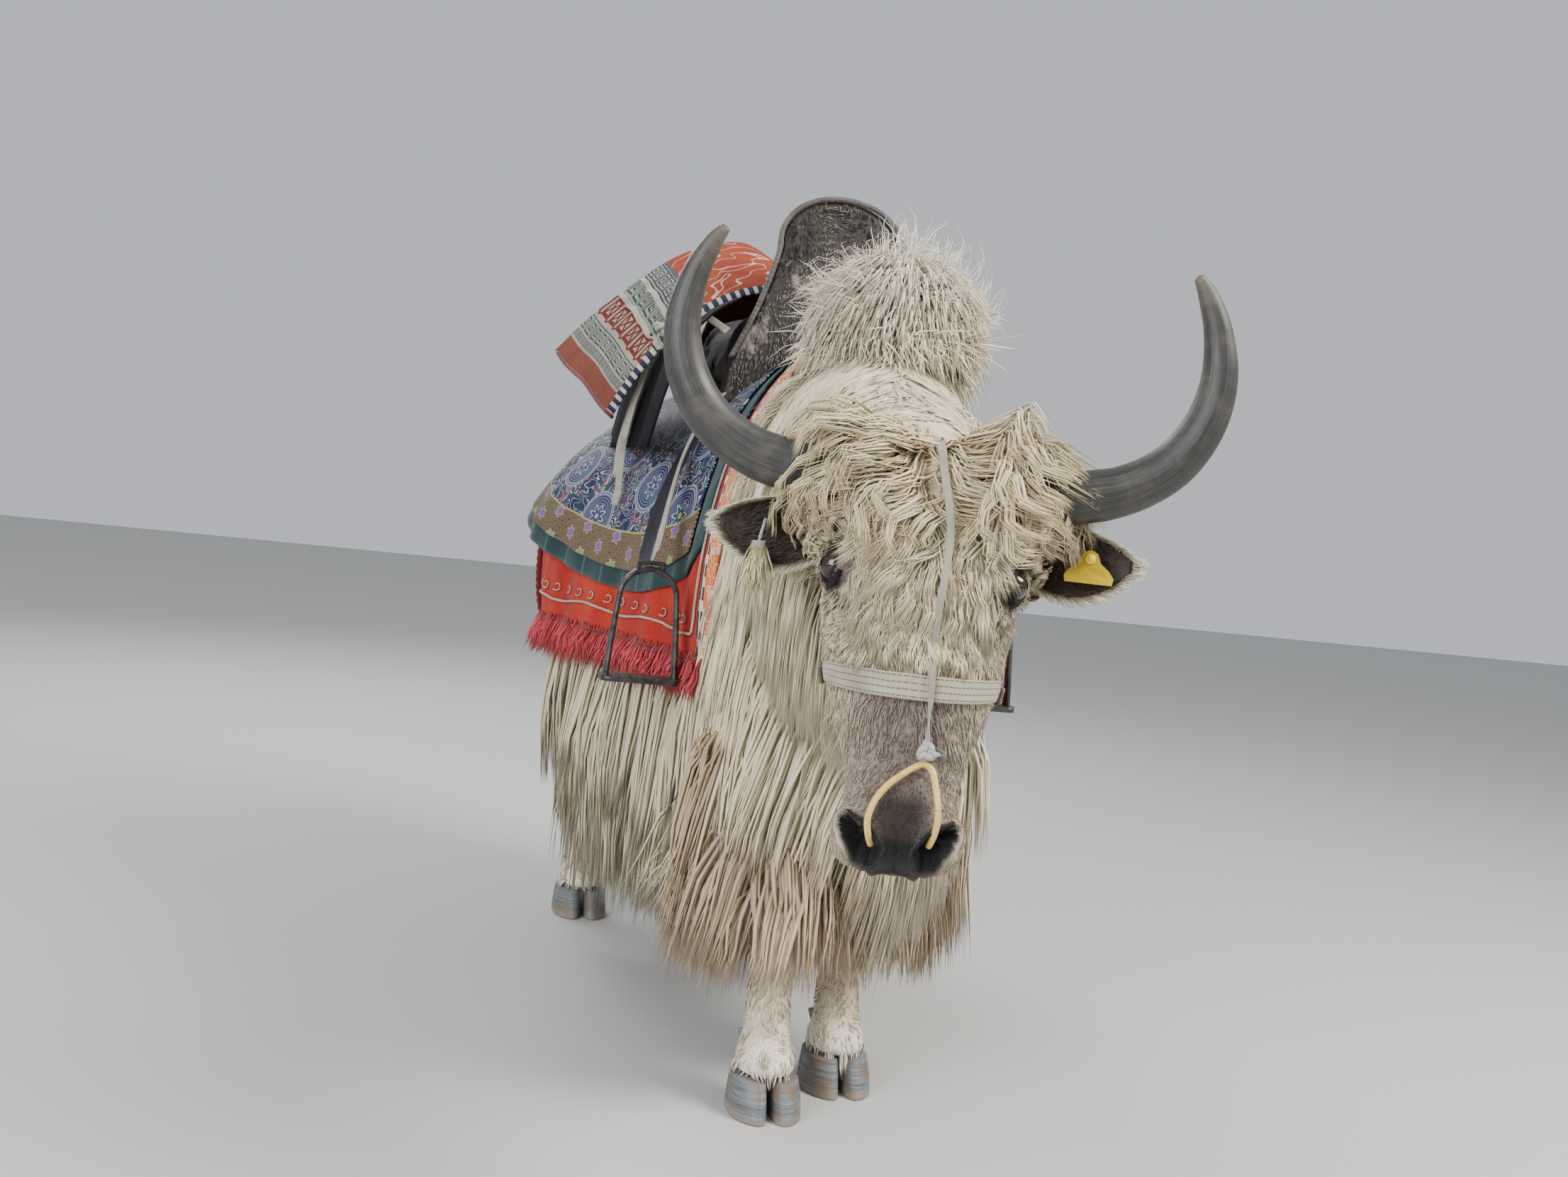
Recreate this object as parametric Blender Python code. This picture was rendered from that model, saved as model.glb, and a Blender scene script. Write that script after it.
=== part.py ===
"""A saddled cream-coloured domestic yak, standing, at life size.

The animal stands on its eight claws with its fore feet close together, and its
head is lowered and turned a little to its own right.  It faces -Y, its left is
+X, and +Z is up.  Every length is in metres.  All places are measured from the
floor midway between the fore feet, and the whole model moves at the end so that
its origin is the middle of the underside of its box.
"""
import math
import random

import bpy
import bmesh
import numpy as np
from mathutils import Matrix, Vector
from mathutils.bvhtree import BVHTree

# Fits and mesh fineness
GAP = 0.0006                # clearance between neighbouring pieces of flesh
HAIR_GAP = 0.0004           # clearance of hair from what it crosses
MOST_SHELL = 1.5            # limit of the corner correction when a copy is swollen
BODY_SIDES = 20             # points round the barrel
BODY_STATIONS = 16          # rings along the barrel
NECK_SIDES = 14
HEAD_SIDES = 20
LIMB_SIDES = 9
LAP = 0.018                 # how far every second lock of a tier lies over its neighbours
LOCK_STEPS = 4              # bends along one lock of hair

# Barrel: place along the body (Y), then top, underside, half-width and widest height
BARREL_TOP = ((-0.16, 0.74), (-0.10, 0.92), (0.00, 1.05), (0.12, 1.10), (0.26, 1.07),
              (0.42, 1.03), (0.62, 1.02), (0.82, 1.04), (0.96, 1.02), (1.06, 0.95), (1.12, 0.86))
BARREL_UNDER = ((-0.16, 0.60), (-0.10, 0.50), (0.00, 0.44), (0.14, 0.42), (0.42, 0.39),
                (0.62, 0.40), (0.82, 0.46), (0.96, 0.55), (1.06, 0.66), (1.12, 0.78))
BARREL_HALF_WIDTH = ((-0.16, 0.055), (-0.10, 0.125), (0.00, 0.165), (0.12, 0.182), (0.20, 0.192),
                     (0.30, 0.218), (0.42, 0.262), (0.55, 0.305), (0.70, 0.326), (0.82, 0.315),
                     (0.96, 0.260), (1.06, 0.170), (1.12, 0.060))
BARREL_WIDEST = ((-0.16, 0.68), (0.12, 0.68), (0.62, 0.66), (0.90, 0.74), (1.12, 0.82))
BARREL_FRONT = -0.16
BARREL_BACK = 1.12
UPPER_POWER = 2.15          # roundness of the section above and below its widest height
LOWER_POWER = 2.3

# Planes that part the barrel into chest, torso and flanks
CHEST_BACK = 0.10
FLANK_FRONT = 0.10
FLANK_FRONT_HALF = 0.140
FLANK_BACK_HALF = 0.205

# Neck: centre, half-height and half-width at each station from shoulder to head
NECK_STATIONS = (
    ((0.000, 0.080, 0.830), 0.245, 0.165),
    ((-0.006, -0.040, 0.840), 0.235, 0.160),
    ((-0.022, -0.160, 0.835), 0.205, 0.145),
    ((-0.046, -0.280, 0.830), 0.172, 0.125),
    ((-0.072, -0.390, 0.835), 0.140, 0.105),
    ((-0.086, -0.450, 0.840), 0.110, 0.085),
)

# Hump over the withers
HUMP_CENTRE = (0.035, 0.095, 1.110)
HUMP_HALF = (0.118, 0.175, 0.128)

# Head: midpoint between the eyes, its turn, and its tilt from upright
EYE_MIDDLE = (-0.103, -0.533, 0.797)
HEAD_TURN = math.radians(18)
HEAD_TILT = math.radians(25)
# Place along the face from the eyes (poll negative, nose positive), then the section
FACE_FRONT = ((-0.175, 0.000), (-0.150, 0.030), (-0.100, 0.052), (-0.040, 0.060), (0.020, 0.055),
              (0.080, 0.043), (0.150, 0.032), (0.220, 0.024), (0.280, 0.023), (0.315, 0.016),
              (0.335, 0.000), (0.345, -0.020))
FACE_BACK = ((-0.175, -0.050), (-0.150, -0.085), (-0.100, -0.125), (-0.040, -0.155),
             (0.020, -0.165), (0.080, -0.145), (0.150, -0.112), (0.220, -0.092), (0.280, -0.088),
             (0.315, -0.084), (0.335, -0.068), (0.345, -0.045))
FACE_HALF = ((-0.175, 0.040), (-0.150, 0.085), (-0.100, 0.118), (-0.040, 0.120), (0.020, 0.110),
             (0.080, 0.098), (0.150, 0.084), (0.220, 0.067), (0.265, 0.061), (0.300, 0.068),
             (0.325, 0.062), (0.345, 0.025))
FACE_POWER = 2.5
JAW_NARROWING = 0.32        # how much narrower the jaw is than the brow
HEAD_STATIONS = (-0.175, -0.162, -0.135, -0.095, -0.050, -0.010, 0.030, 0.070, 0.110,
                 0.150, 0.190, 0.225, 0.255, 0.280, 0.300, 0.318, 0.333, 0.345)

EYE_RADIUS = 0.021
EYE_SIDE = 0.0985           # eyeball centre from the middle of the head
EYE_FORWARD = 0.004
EYE_LOOK = math.radians(62)  # how far the eyes look to the side

# Horns: side and height of the centre line from the eye middle, with its radius
HORN_LINE = ((0.070, 0.104, 0.031), (0.125, 0.104, 0.031), (0.165, 0.108, 0.0300),
             (0.215, 0.122, 0.0280), (0.262, 0.154, 0.0262), (0.292, 0.202, 0.0238),
             (0.302, 0.255, 0.0205), (0.294, 0.307, 0.0160), (0.277, 0.347, 0.0110),
             (0.263, 0.366, 0.0055))
HORN_BEHIND = 0.030         # the horns' plane behind the eyes
HORN_SIDES = 10
HORN_STEPS = 12

# Ears
EAR_ROOT = (0.100, -0.055, 0.052)    # side, behind the eyes, above the eyes
EAR_TIP = (0.238, -0.055, 0.036)
EAR_WIDTH = 0.082
EAR_THICK = 0.005

# Legs: path points (side, along, height) with half-width across and half-depth along
FORE_RIGHT_FOOT = (-0.078, -0.066)
FORE_LEFT_FOOT = (0.058, 0.034)
HIND_RIGHT_FOOT = (-0.190, 0.965)
HIND_LEFT_FOOT = (0.190, 0.925)
ELBOW_SIDE = 0.105
ELBOW_ALONG = 0.045
HOOF_HEIGHT = 0.052
HOOF_LENGTH = 0.112
CLAW_WIDTH = 0.047
CLAW_SPLIT = 0.010

# Saddle cloths: stations along the back, then the lower edge of each layer
CLOTH_STATIONS = (0.125, 0.165, 0.205, 0.28, 0.36, 0.44, 0.52, 0.60, 0.67, 0.73, 0.765)
CLOTH_ROWS = 4              # rows from the spine to the top cloth's edge
BROCADE_LOW = 0.715
BROCADE_RISE_BACK = 0.085
BROCADE_RISE_FRONT = 0.055
PLAID_BELOW = 0.030         # how far the plaid cloth shows below the brocade
FELT_LOW = 0.605
FELT_OFF, FELT_THICK = 0.0085, 0.0060
PLAID_OFF, PLAID_THICK = 0.0165, 0.0040
BROCADE_OFF, BROCADE_THICK = 0.0225, 0.0040
STRAP_OFF = 0.041
CORNER_FLARE = 0.060        # how far the rear lower corners stand out
FRINGE_COUNT = 8
FRINGE_LENGTH = 0.055

# Saddle
POMMEL_ALONG = 0.355
POMMEL_TOP = 1.362
POMMEL_MIDDLE = 0.028       # the pommel leans a little to the left side
POMMEL_HALF = 0.098
POMMEL_FOOT_HALF = 0.180
POMMEL_THICK = 0.046
CANTLE_ALONG = 0.650
CANTLE_TOP = 1.235
SEAT_TOP = 1.165
SEAT_HALF = 0.150

# Stirrups, each hung from a webbing strap
STIRRUP_PLACE = (0.273, 0.175)
STIRRUP_TOP = 0.745
STIRRUP_FOOT = 0.566
STIRRUP_HALF = 0.052
STRAP_HEAD = (0.300, 0.985)  # along and height where the strap leaves the seat
STRAP_HALF, STRAP_THICK = 0.013, 0.003

# Rug folded over the seat, its end flung out over the right side: section side and height
RUG_LINE = ((0.150, 1.150), (0.110, 1.215), (0.040, 1.262), (-0.060, 1.282), (-0.150, 1.250),
            (-0.235, 1.180), (-0.310, 1.092), (-0.365, 1.020))
RUG_STATIONS = (0.42, 0.48, 0.54, 0.60, 0.66, 0.71)
RUG_THICK = 0.022
RUG_FRONT_REACH = 0.87      # how far the flung end reaches at the front and back of the seat
RUG_BACK_REACH = 1.03
RUG_BACK_RISE = 0.070

# Halter
NOSEBAND_ALONG = 0.134
NOSEBAND_HALF = 0.0125
KNOT_PLACE = (0.020, 0.214)
KNOT_RADIUS = 0.012

# Tail
TAIL_PATH = ((0.0, 1.070, 0.945), (0.0, 1.120, 0.950), (0.0, 1.165, 0.900), (0.0, 1.185, 0.800),
             (0.0, 1.185, 0.680), (0.0, 1.180, 0.560), (0.0, 1.175, 0.470))
TAIL_RADII = (0.045, 0.040, 0.034, 0.028, 0.024, 0.018, 0.008)


def material(name, colour, roughness=0.8, metallic=0.0):
    """Principled material for one piece."""
    made = bpy.data.materials.new(name)
    made.use_nodes = True
    shader = made.node_tree.nodes["Principled BSDF"]
    shader.inputs["Base Color"].default_value = (*colour, 1.0)
    shader.inputs["Roughness"].default_value = roughness
    shader.inputs["Metallic"].default_value = metallic
    made.diffuse_color = (*colour, 1.0)
    return made


def curve(knots, place):
    """Smooth curve through (place, value) knots, read at one place or many."""
    xs, ys = np.array(knots, float).T
    slopes = np.gradient(ys, xs)
    place = np.clip(place, xs[0], xs[-1])
    i = np.clip(np.searchsorted(xs, place) - 1, 0, len(xs) - 2)
    span = xs[i + 1] - xs[i]
    t = (place - xs[i]) / span
    return ((1 + 2 * t) * (1 - t) ** 2 * ys[i] + t * (1 - t) ** 2 * span * slopes[i]
            + t * t * (3 - 2 * t) * ys[i + 1] + t * t * (t - 1) * span * slopes[i + 1])


def power(value, exponent):
    """Signed power, for rounded-square sections."""
    return math.copysign(abs(value) ** exponent, value)


def add_object(name, bm, colour=(0.8, 0.78, 0.7), roughness=0.8, metallic=0.0):
    """Object from a bmesh, triangulated, with outward normals and its own material."""
    bmesh.ops.triangulate(bm, faces=bm.faces[:])
    bmesh.ops.recalc_face_normals(bm, faces=bm.faces[:])
    mesh = bpy.data.meshes.new(name)
    bm.to_mesh(mesh)
    bm.free()
    made = bpy.data.objects.new(name, mesh)
    bpy.context.scene.collection.objects.link(made)
    made.data.materials.append(material(name, colour, roughness, metallic))
    return made


def loft(name, rings, closed=False, **finish):
    """Closed body through rings of points; closed joins the last ring to the first."""
    bm = bmesh.new()
    loops = [[bm.verts.new(point) for point in ring] for ring in rings]
    pairs = list(zip(loops, loops[1:]))
    if closed:
        pairs.append((loops[-1], loops[0]))
    for lower, upper in pairs:
        count = len(lower)
        for i in range(count):
            j = (i + 1) % count
            bm.faces.new((lower[i], lower[j], upper[j], upper[i]))
    if not closed:
        bm.faces.new(loops[0][::-1])
        bm.faces.new(loops[-1])
    return add_object(name, bm, **finish)


def replace_mesh(target, mesh):
    """Give an object a new mesh and drop the old one."""
    old = target.data
    kept = [slot for slot in old.materials]
    target.data = mesh
    mesh.materials.clear()
    for slot in kept[:1]:
        mesh.materials.append(slot)
    for face in mesh.polygons:
        face.material_index = 0
    bpy.data.meshes.remove(old)


def combine(target, others, operation):
    """Apply one Boolean of a collection of closed objects, and remove them."""
    group = bpy.data.collections.new("merge")
    bpy.context.scene.collection.children.link(group)
    for other in others:
        group.objects.link(other)
        bpy.context.scene.collection.objects.unlink(other)
    change = target.modifiers.new("merge", 'BOOLEAN')
    change.operation = operation
    change.solver = 'EXACT'
    change.operand_type = 'COLLECTION'
    change.collection = group
    seen = target.evaluated_get(bpy.context.evaluated_depsgraph_get())
    mesh = bpy.data.meshes.new_from_object(seen)
    target.modifiers.clear()
    replace_mesh(target, mesh)
    for other in others:
        data = other.data
        bpy.data.objects.remove(other)
        bpy.data.meshes.remove(data)
    bpy.data.collections.remove(group)
    keep_largest(target)


def keep_largest(target):
    """Keep the largest closed surface of a mesh, all in triangles."""
    bm = bmesh.new()
    bm.from_mesh(target.data)
    bmesh.ops.triangulate(bm, faces=bm.faces[:])
    unseen = set(bm.faces)
    shells = []
    while unseen:
        front = [unseen.pop()]
        shell = list(front)
        while front:
            face = front.pop()
            for edge in face.edges:
                for near in edge.link_faces:
                    if near in unseen:
                        unseen.remove(near)
                        front.append(near)
                        shell.append(near)
        shells.append(shell)
    shells.sort(key=lambda shell: sum(face.calc_area() for face in shell))
    for shell in shells[:-1]:
        bmesh.ops.delete(bm, geom=shell, context='FACES')
    bm.to_mesh(target.data)
    bm.free()


def swollen_copy(source, growth):
    """Copy of an object with its faces moved outwards."""
    bm = bmesh.new()
    bm.from_mesh(source.data)
    bm.normal_update()
    moves = [vert.normal * min(MOST_SHELL, vert.calc_shell_factor()) * growth for vert in bm.verts]
    for vert, move in zip(bm.verts, moves):
        vert.co += move
    mesh = bpy.data.meshes.new("swollen")
    bm.to_mesh(mesh)
    bm.free()
    made = bpy.data.objects.new("swollen", mesh)
    bpy.context.scene.collection.objects.link(made)
    return made


def cut_clear(target, neighbours, growth=GAP):
    """Cut a piece clear of its neighbours by the fitting gap."""
    combine(target, [swollen_copy(item, growth) for item in neighbours], 'DIFFERENCE')


def merge(target, others):
    """Fuse closed objects into a target."""
    combine(target, others, 'UNION')


def trim(target, point, normal):
    """Cut off what lies beyond a plane on its normal's side, and close the cut."""
    bm = bmesh.new()
    bm.from_mesh(target.data)
    cut = bmesh.ops.bisect_plane(bm, geom=bm.verts[:] + bm.edges[:] + bm.faces[:],
                                 plane_co=point, plane_no=normal, clear_outer=True)
    edges = [item for item in cut["geom_cut"] if isinstance(item, bmesh.types.BMEdge)]
    bmesh.ops.contextual_create(bm, geom=edges)
    bmesh.ops.triangulate(bm, faces=bm.faces[:])
    bmesh.ops.recalc_face_normals(bm, faces=bm.faces[:])
    bm.to_mesh(target.data)
    bm.free()


def duplicate(source, name):
    """Copy of an object with its own mesh and material."""
    made = source.copy()
    made.data = source.data.copy()
    made.name = name
    bpy.context.scene.collection.objects.link(made)
    return made


def barrel_point(along, angle, offset=0.0):
    """Point on the barrel: angle runs from the spine (0) over the left side round the belly."""
    top = float(curve(BARREL_TOP, along))
    under = float(curve(BARREL_UNDER, along))
    half = float(curve(BARREL_HALF_WIDTH, along))
    widest = float(curve(BARREL_WIDEST, along))
    c = math.cos(angle)
    s = math.sin(angle)
    exponent = 2 / (UPPER_POWER if c > 0 else LOWER_POWER)
    rise = (top - widest + offset) if c > 0 else (widest - under + offset)
    return Vector(((half + offset) * power(s, exponent), along, widest + rise * power(c, exponent)))


def barrel_angle(along, height):
    """Angle at which the barrel's surface has this height."""
    top = float(curve(BARREL_TOP, along))
    under = float(curve(BARREL_UNDER, along))
    widest = float(curve(BARREL_WIDEST, along))
    if height > widest:
        return math.acos(min(1.0, (height - widest) / (top - widest)) ** (UPPER_POWER / 2))
    return math.pi - math.acos(min(1.0, (widest - height) / (widest - under)) ** (LOWER_POWER / 2))


def barrel_stations():
    """Places of the barrel's rings, closer together at its two ends."""
    middle = (BARREL_FRONT + BARREL_BACK) / 2
    reach = (BARREL_BACK - BARREL_FRONT) / 2
    turns = np.linspace(-math.pi / 2, math.pi / 2, BODY_STATIONS)
    return [middle + reach * (0.35 * math.sin(a) + 0.65 * a / (math.pi / 2)) for a in turns]


def make_barrel():
    """Whole barrel, before it is parted."""
    rings = []
    for along in barrel_stations():
        rings.append([barrel_point(along, 2 * math.pi * i / BODY_SIDES) for i in range(BODY_SIDES)])
    return loft("torso", rings, colour=(0.80, 0.76, 0.66))


def part_barrel(barrel):
    """Part the barrel into chest, torso and two flanks with thin flat cuts."""
    half_gap = GAP / 2
    chest = duplicate(barrel, "chest")
    trim(chest, (0, CHEST_BACK - half_gap, 0), (0, 1, 0))
    trim(barrel, (0, CHEST_BACK + half_gap, 0), (0, -1, 0))
    flanks = []
    run = BARREL_BACK - FLANK_FRONT
    lean = math.atan2(FLANK_BACK_HALF - FLANK_FRONT_HALF, run)
    for side, name in ((-1, "flank_right"), (1, "flank_left")):
        flank = duplicate(barrel, name)
        normal = Vector((side * math.cos(lean), -math.sin(lean), 0))
        point = Vector((side * FLANK_FRONT_HALF, FLANK_FRONT, 0))
        trim(flank, point + normal * half_gap, -normal)
        trim(barrel, point - normal * half_gap, normal)
        flanks.append(flank)
    return chest, flanks


def make_neck():
    """Neck from inside the chest to inside the back of the head."""
    rings = []
    for i, (centre, tall, wide) in enumerate(NECK_STATIONS):
        before = Vector(NECK_STATIONS[max(0, i - 1)][0])
        after = Vector(NECK_STATIONS[min(len(NECK_STATIONS) - 1, i + 1)][0])
        ahead = (after - before).normalized()
        side = ahead.cross(Vector((0, 0, 1))).normalized()
        upward = side.cross(ahead)
        ring = []
        for k in range(NECK_SIDES):
            angle = 2 * math.pi * k / NECK_SIDES
            ring.append(Vector(centre) + side * wide * power(math.sin(angle), 0.9)
                        + upward * tall * power(math.cos(angle), 0.95))
        rings.append(ring)
    return loft("neck", rings, colour=(0.82, 0.78, 0.68))


def make_hump():
    """Low mound of muscle over the withers, under its long hair."""
    rings = []
    rows = 7
    for i in range(rows):
        lift = math.radians(-50 + 136 * i / (rows - 1))
        ring = []
        for k in range(16):
            angle = 2 * math.pi * k / 16
            ring.append(Vector(HUMP_CENTRE) + Vector((
                HUMP_HALF[0] * math.cos(lift) * math.cos(angle),
                HUMP_HALF[1] * math.cos(lift) * math.sin(angle),
                HUMP_HALF[2] * math.sin(lift))))
        rings.append(ring)
    return loft("hump", rings, colour=(0.86, 0.82, 0.70))


def head_frame():
    """Matrix from head places (side to its left, along the face, out of the face) to the world."""
    ahead = Vector((-math.sin(HEAD_TURN), -math.cos(HEAD_TURN), 0))
    side = Vector((math.cos(HEAD_TURN), -math.sin(HEAD_TURN), 0))
    face = ahead * math.sin(HEAD_TILT) + Vector((0, 0, -math.cos(HEAD_TILT)))
    out = ahead * math.cos(HEAD_TILT) + Vector((0, 0, math.sin(HEAD_TILT)))
    frame = Matrix((side, face, out)).transposed().to_4x4()
    frame.translation = Vector(EYE_MIDDLE)
    return frame


HEAD = head_frame()
UPRIGHT = Matrix.Translation(EYE_MIDDLE) @ Matrix.Rotation(-HEAD_TURN, 4, 'Z')


def face_point(along, angle, offset=0.0):
    """Point on the head in head places: angle 0 is the middle of the brow, then its left side."""
    front = float(curve(FACE_FRONT, along)) + offset
    back = float(curve(FACE_BACK, along)) - offset
    half = float(curve(FACE_HALF, along)) + offset
    middle = (front * 0.45 + back * 0.55)
    c = math.cos(angle)
    s = math.sin(angle)
    depth = (front - middle) if c > 0 else (middle - back)
    narrow = 1 - JAW_NARROWING * max(0.0, -c) ** 1.5
    return Vector((half * narrow * power(s, 2 / FACE_POWER), along,
                   middle + depth * power(c, 2 / FACE_POWER)))


def tube(name, points, radii, sides=6, flat=None, **finish):
    """Closed tube through points; flat squeezes its section along one direction."""
    rings = []
    points = [Vector(point) for point in points]
    for i, point in enumerate(points):
        ahead = (points[min(i + 1, len(points) - 1)] - points[max(i - 1, 0)]).normalized()
        reference = Vector(flat) if flat is not None else Vector((0, 0, 1))
        if abs(ahead.dot(reference)) > 0.9:
            reference = Vector((1, 0, 0))
        side = ahead.cross(reference).normalized()
        other = side.cross(ahead)
        radius = radii[i] if hasattr(radii, "__len__") else radii
        across, deep = radius if hasattr(radius, "__len__") else (radius, radius)
        rings.append([point + side * across * math.cos(2 * math.pi * k / sides)
                      + other * deep * math.sin(2 * math.pi * k / sides) for k in range(sides)])
    return loft(name, rings, **finish)


def eye_centre(side):
    """World place of an eyeball's centre."""
    return HEAD @ Vector((side * EYE_SIDE, 0.0, EYE_FORWARD))


def make_eyeball(name, side, growth=0.0):
    """Round eyeball."""
    bm = bmesh.new()
    bmesh.ops.create_icosphere(bm, subdivisions=2, radius=EYE_RADIUS + growth)
    bmesh.ops.translate(bm, verts=bm.verts[:], vec=eye_centre(side))
    return add_object(name, bm, colour=(0.02, 0.015, 0.012), roughness=0.15)


def lid_ring(side):
    """Almond ring of the two lids round the front of an eyeball."""
    look = Vector((side * math.sin(EYE_LOOK), 0.0, math.cos(EYE_LOOK)))
    along = Vector((0.0, 1.0, 0.0))
    across = look.cross(along)
    centre = Vector((side * EYE_SIDE, 0.0, EYE_FORWARD))
    rings = []
    steps = 12
    for i in range(steps):
        turn = 2 * math.pi * i / steps
        spoke = across * (1.16 * math.cos(turn)) + along * (0.80 * math.sin(turn))
        middle = centre + look * 0.0105 + spoke * 0.0195
        ring = []
        for k in range(5):
            lap = 2 * math.pi * k / 5
            ring.append(HEAD @ (middle + spoke.normalized() * 0.0062 * math.cos(lap)
                                + look * 0.0058 * math.sin(lap)))
        rings.append(ring)
    return loft("lids", rings, closed=True)


def nostril_cutter(side):
    """Comma-shaped nostril: a round inner part that runs out to a slit at the side."""
    places = ((0.030, 0.318, 0.004), (0.040, 0.312, 0.010), (0.051, 0.301, 0.008),
              (0.060, 0.288, 0.000))
    radii = ((0.0085, 0.0105), (0.0105, 0.0130), (0.0085, 0.0120), (0.0035, 0.0080))
    points = [HEAD @ Vector((side * across, along, out)) for across, along, out in places]
    return tube("nostril", points, radii, sides=7, flat=HEAD.to_3x3() @ Vector((0, 0, 1)))


def mouth_cutter():
    """Thin groove of the mouth line from one corner round the front to the other."""
    path = []
    steps = 12
    for i in range(steps + 1):
        swing = -1 + 2 * i / steps
        along = 0.338 - 0.088 * abs(swing) ** 1.6
        depth = -0.040 - 0.022 * abs(swing)
        across = float(curve(FACE_HALF, along)) * math.sin(swing * math.pi / 2) * 0.97
        path.append(HEAD @ Vector((across, along, depth)))
    return tube("mouth", path, 0.0045, sides=4)


def make_head():
    """Head with sockets, lids, nostrils and mouth line."""
    rings = []
    for along in HEAD_STATIONS:
        rings.append([HEAD @ face_point(along, 2 * math.pi * i / HEAD_SIDES)
                      for i in range(HEAD_SIDES)])
    head = loft("head", rings, colour=(0.78, 0.72, 0.62))
    merge(head, [lid_ring(-1), lid_ring(1)])
    cutters = [make_eyeball("socket", side, GAP * 2) for side in (-1, 1)]
    cutters += [nostril_cutter(-1), nostril_cutter(1), mouth_cutter()]
    combine(head, cutters, 'DIFFERENCE')
    return head


def make_horn(name, side):
    """Smooth horn that leaves the side of the brow, then sweeps up and in."""
    places = []
    radii = []
    knots = np.linspace(0, 1, len(HORN_LINE))
    for i in range(HORN_STEPS + 1):
        t = i / HORN_STEPS
        across = float(curve(list(zip(knots, [item[0] for item in HORN_LINE])), t))
        height = float(curve(list(zip(knots, [item[1] for item in HORN_LINE])), t))
        radius = float(curve(list(zip(knots, [item[2] for item in HORN_LINE])), t))
        places.append(UPRIGHT @ Vector((side * across, HORN_BEHIND - 0.02 * t, height)))
        radii.append(radius)
    return tube(name, places, radii, sides=HORN_SIDES, flat=(0, 1, 0),
                colour=(0.16, 0.16, 0.16), roughness=0.45)


def make_ear(name, side):
    """Ear held out sideways: a cup open to the front with a thin wall."""
    root = Vector((side * EAR_ROOT[0], -EAR_ROOT[1], EAR_ROOT[2]))
    tip = Vector((side * EAR_TIP[0], -EAR_TIP[1], EAR_TIP[2]))
    axis = (tip - root)
    rings = []
    steps = 9
    for i in range(steps + 1):
        t = i / steps
        half = EAR_WIDTH / 2 * max(0.08, math.sin(math.pi * (0.16 + 0.80 * t)) ** 0.75)
        depth = 0.030 * (1 - t) ** 0.7 + 0.004
        centre = root + axis * t + Vector((0, 0, -0.012 * math.sin(math.pi * t)))
        outer = []
        inner = []
        for k in range(6):
            a = math.pi * k / 5
            outer.append(centre + Vector((0, depth * math.sin(a), half * math.cos(a))))
        for k in range(1, 5):
            a = math.pi * (5 - k) / 5
            outer_wall = max(half - EAR_THICK, half * 0.4)
            inner.append(centre + Vector((0, (depth - EAR_THICK) * math.sin(a), outer_wall * math.cos(a))))
        rings.append([UPRIGHT @ point for point in outer + inner])
    return loft(name, rings, colour=(0.75, 0.70, 0.60))


def limb(name, stations, **finish):
    """Leg through (side, along, height, half-width, half-depth) stations, lowest first."""
    rings = []
    for across, along, height, wide, deep in stations:
        rings.append([Vector((across + wide * math.cos(2 * math.pi * k / LIMB_SIDES),
                              along + deep * math.sin(2 * math.pi * k / LIMB_SIDES), height))
                      for k in range(LIMB_SIDES)])
    return loft(name, rings, **finish)


def fore_leg(name, foot, side):
    """Fore leg: pastern, cannon, knee, forearm and elbow."""
    x, y = foot
    base = HOOF_HEIGHT + GAP
    elbow_x = side * ELBOW_SIDE
    stations = (
        (x, y + 0.008, base, 0.047, 0.048),
        (x, y + 0.012, base + 0.022, 0.049, 0.050),
        (x, y + 0.024, base + 0.055, 0.037, 0.038),
        (x * 1.00, y + 0.030, base + 0.120, 0.034, 0.036),
        (x * 1.01, y + 0.030, base + 0.190, 0.037, 0.040),
        (x * 1.02, y + 0.026, base + 0.235, 0.046, 0.048),
        (x * 1.03, y + 0.030, base + 0.280, 0.046, 0.050),
        (x * 0.6 + elbow_x * 0.4, y * 0.6 + 0.4 * ELBOW_ALONG + 0.02, base + 0.350, 0.054, 0.066),
        (elbow_x, ELBOW_ALONG + 0.01, base + 0.440, 0.066, 0.092),
        (elbow_x, ELBOW_ALONG + 0.01, base + 0.530, 0.060, 0.095),
    )
    return limb(name, stations, colour=(0.62, 0.54, 0.42))


def hind_leg(name, foot):
    """Hind leg: pastern, cannon, hock, gaskin and thigh."""
    x, y = foot
    base = HOOF_HEIGHT + GAP
    inward = x * 0.86
    stations = (
        (x, y + 0.006, base, 0.045, 0.048),
        (x, y + 0.010, base + 0.022, 0.047, 0.050),
        (x, y + 0.030, base + 0.060, 0.034, 0.038),
        (x, y + 0.046, base + 0.150, 0.032, 0.037),
        (x, y + 0.062, base + 0.240, 0.035, 0.046),
        (x * 0.98, y + 0.072, base + 0.300, 0.038, 0.060),
        (x * 0.96, y + 0.040, base + 0.370, 0.046, 0.070),
        (x * 0.92, y - 0.010, base + 0.450, 0.058, 0.095),
        (inward, y - 0.050, base + 0.540, 0.070, 0.125),
        (inward, y - 0.060, base + 0.640, 0.062, 0.115),
    )
    return limb(name, stations, colour=(0.66, 0.58, 0.46))


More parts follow.
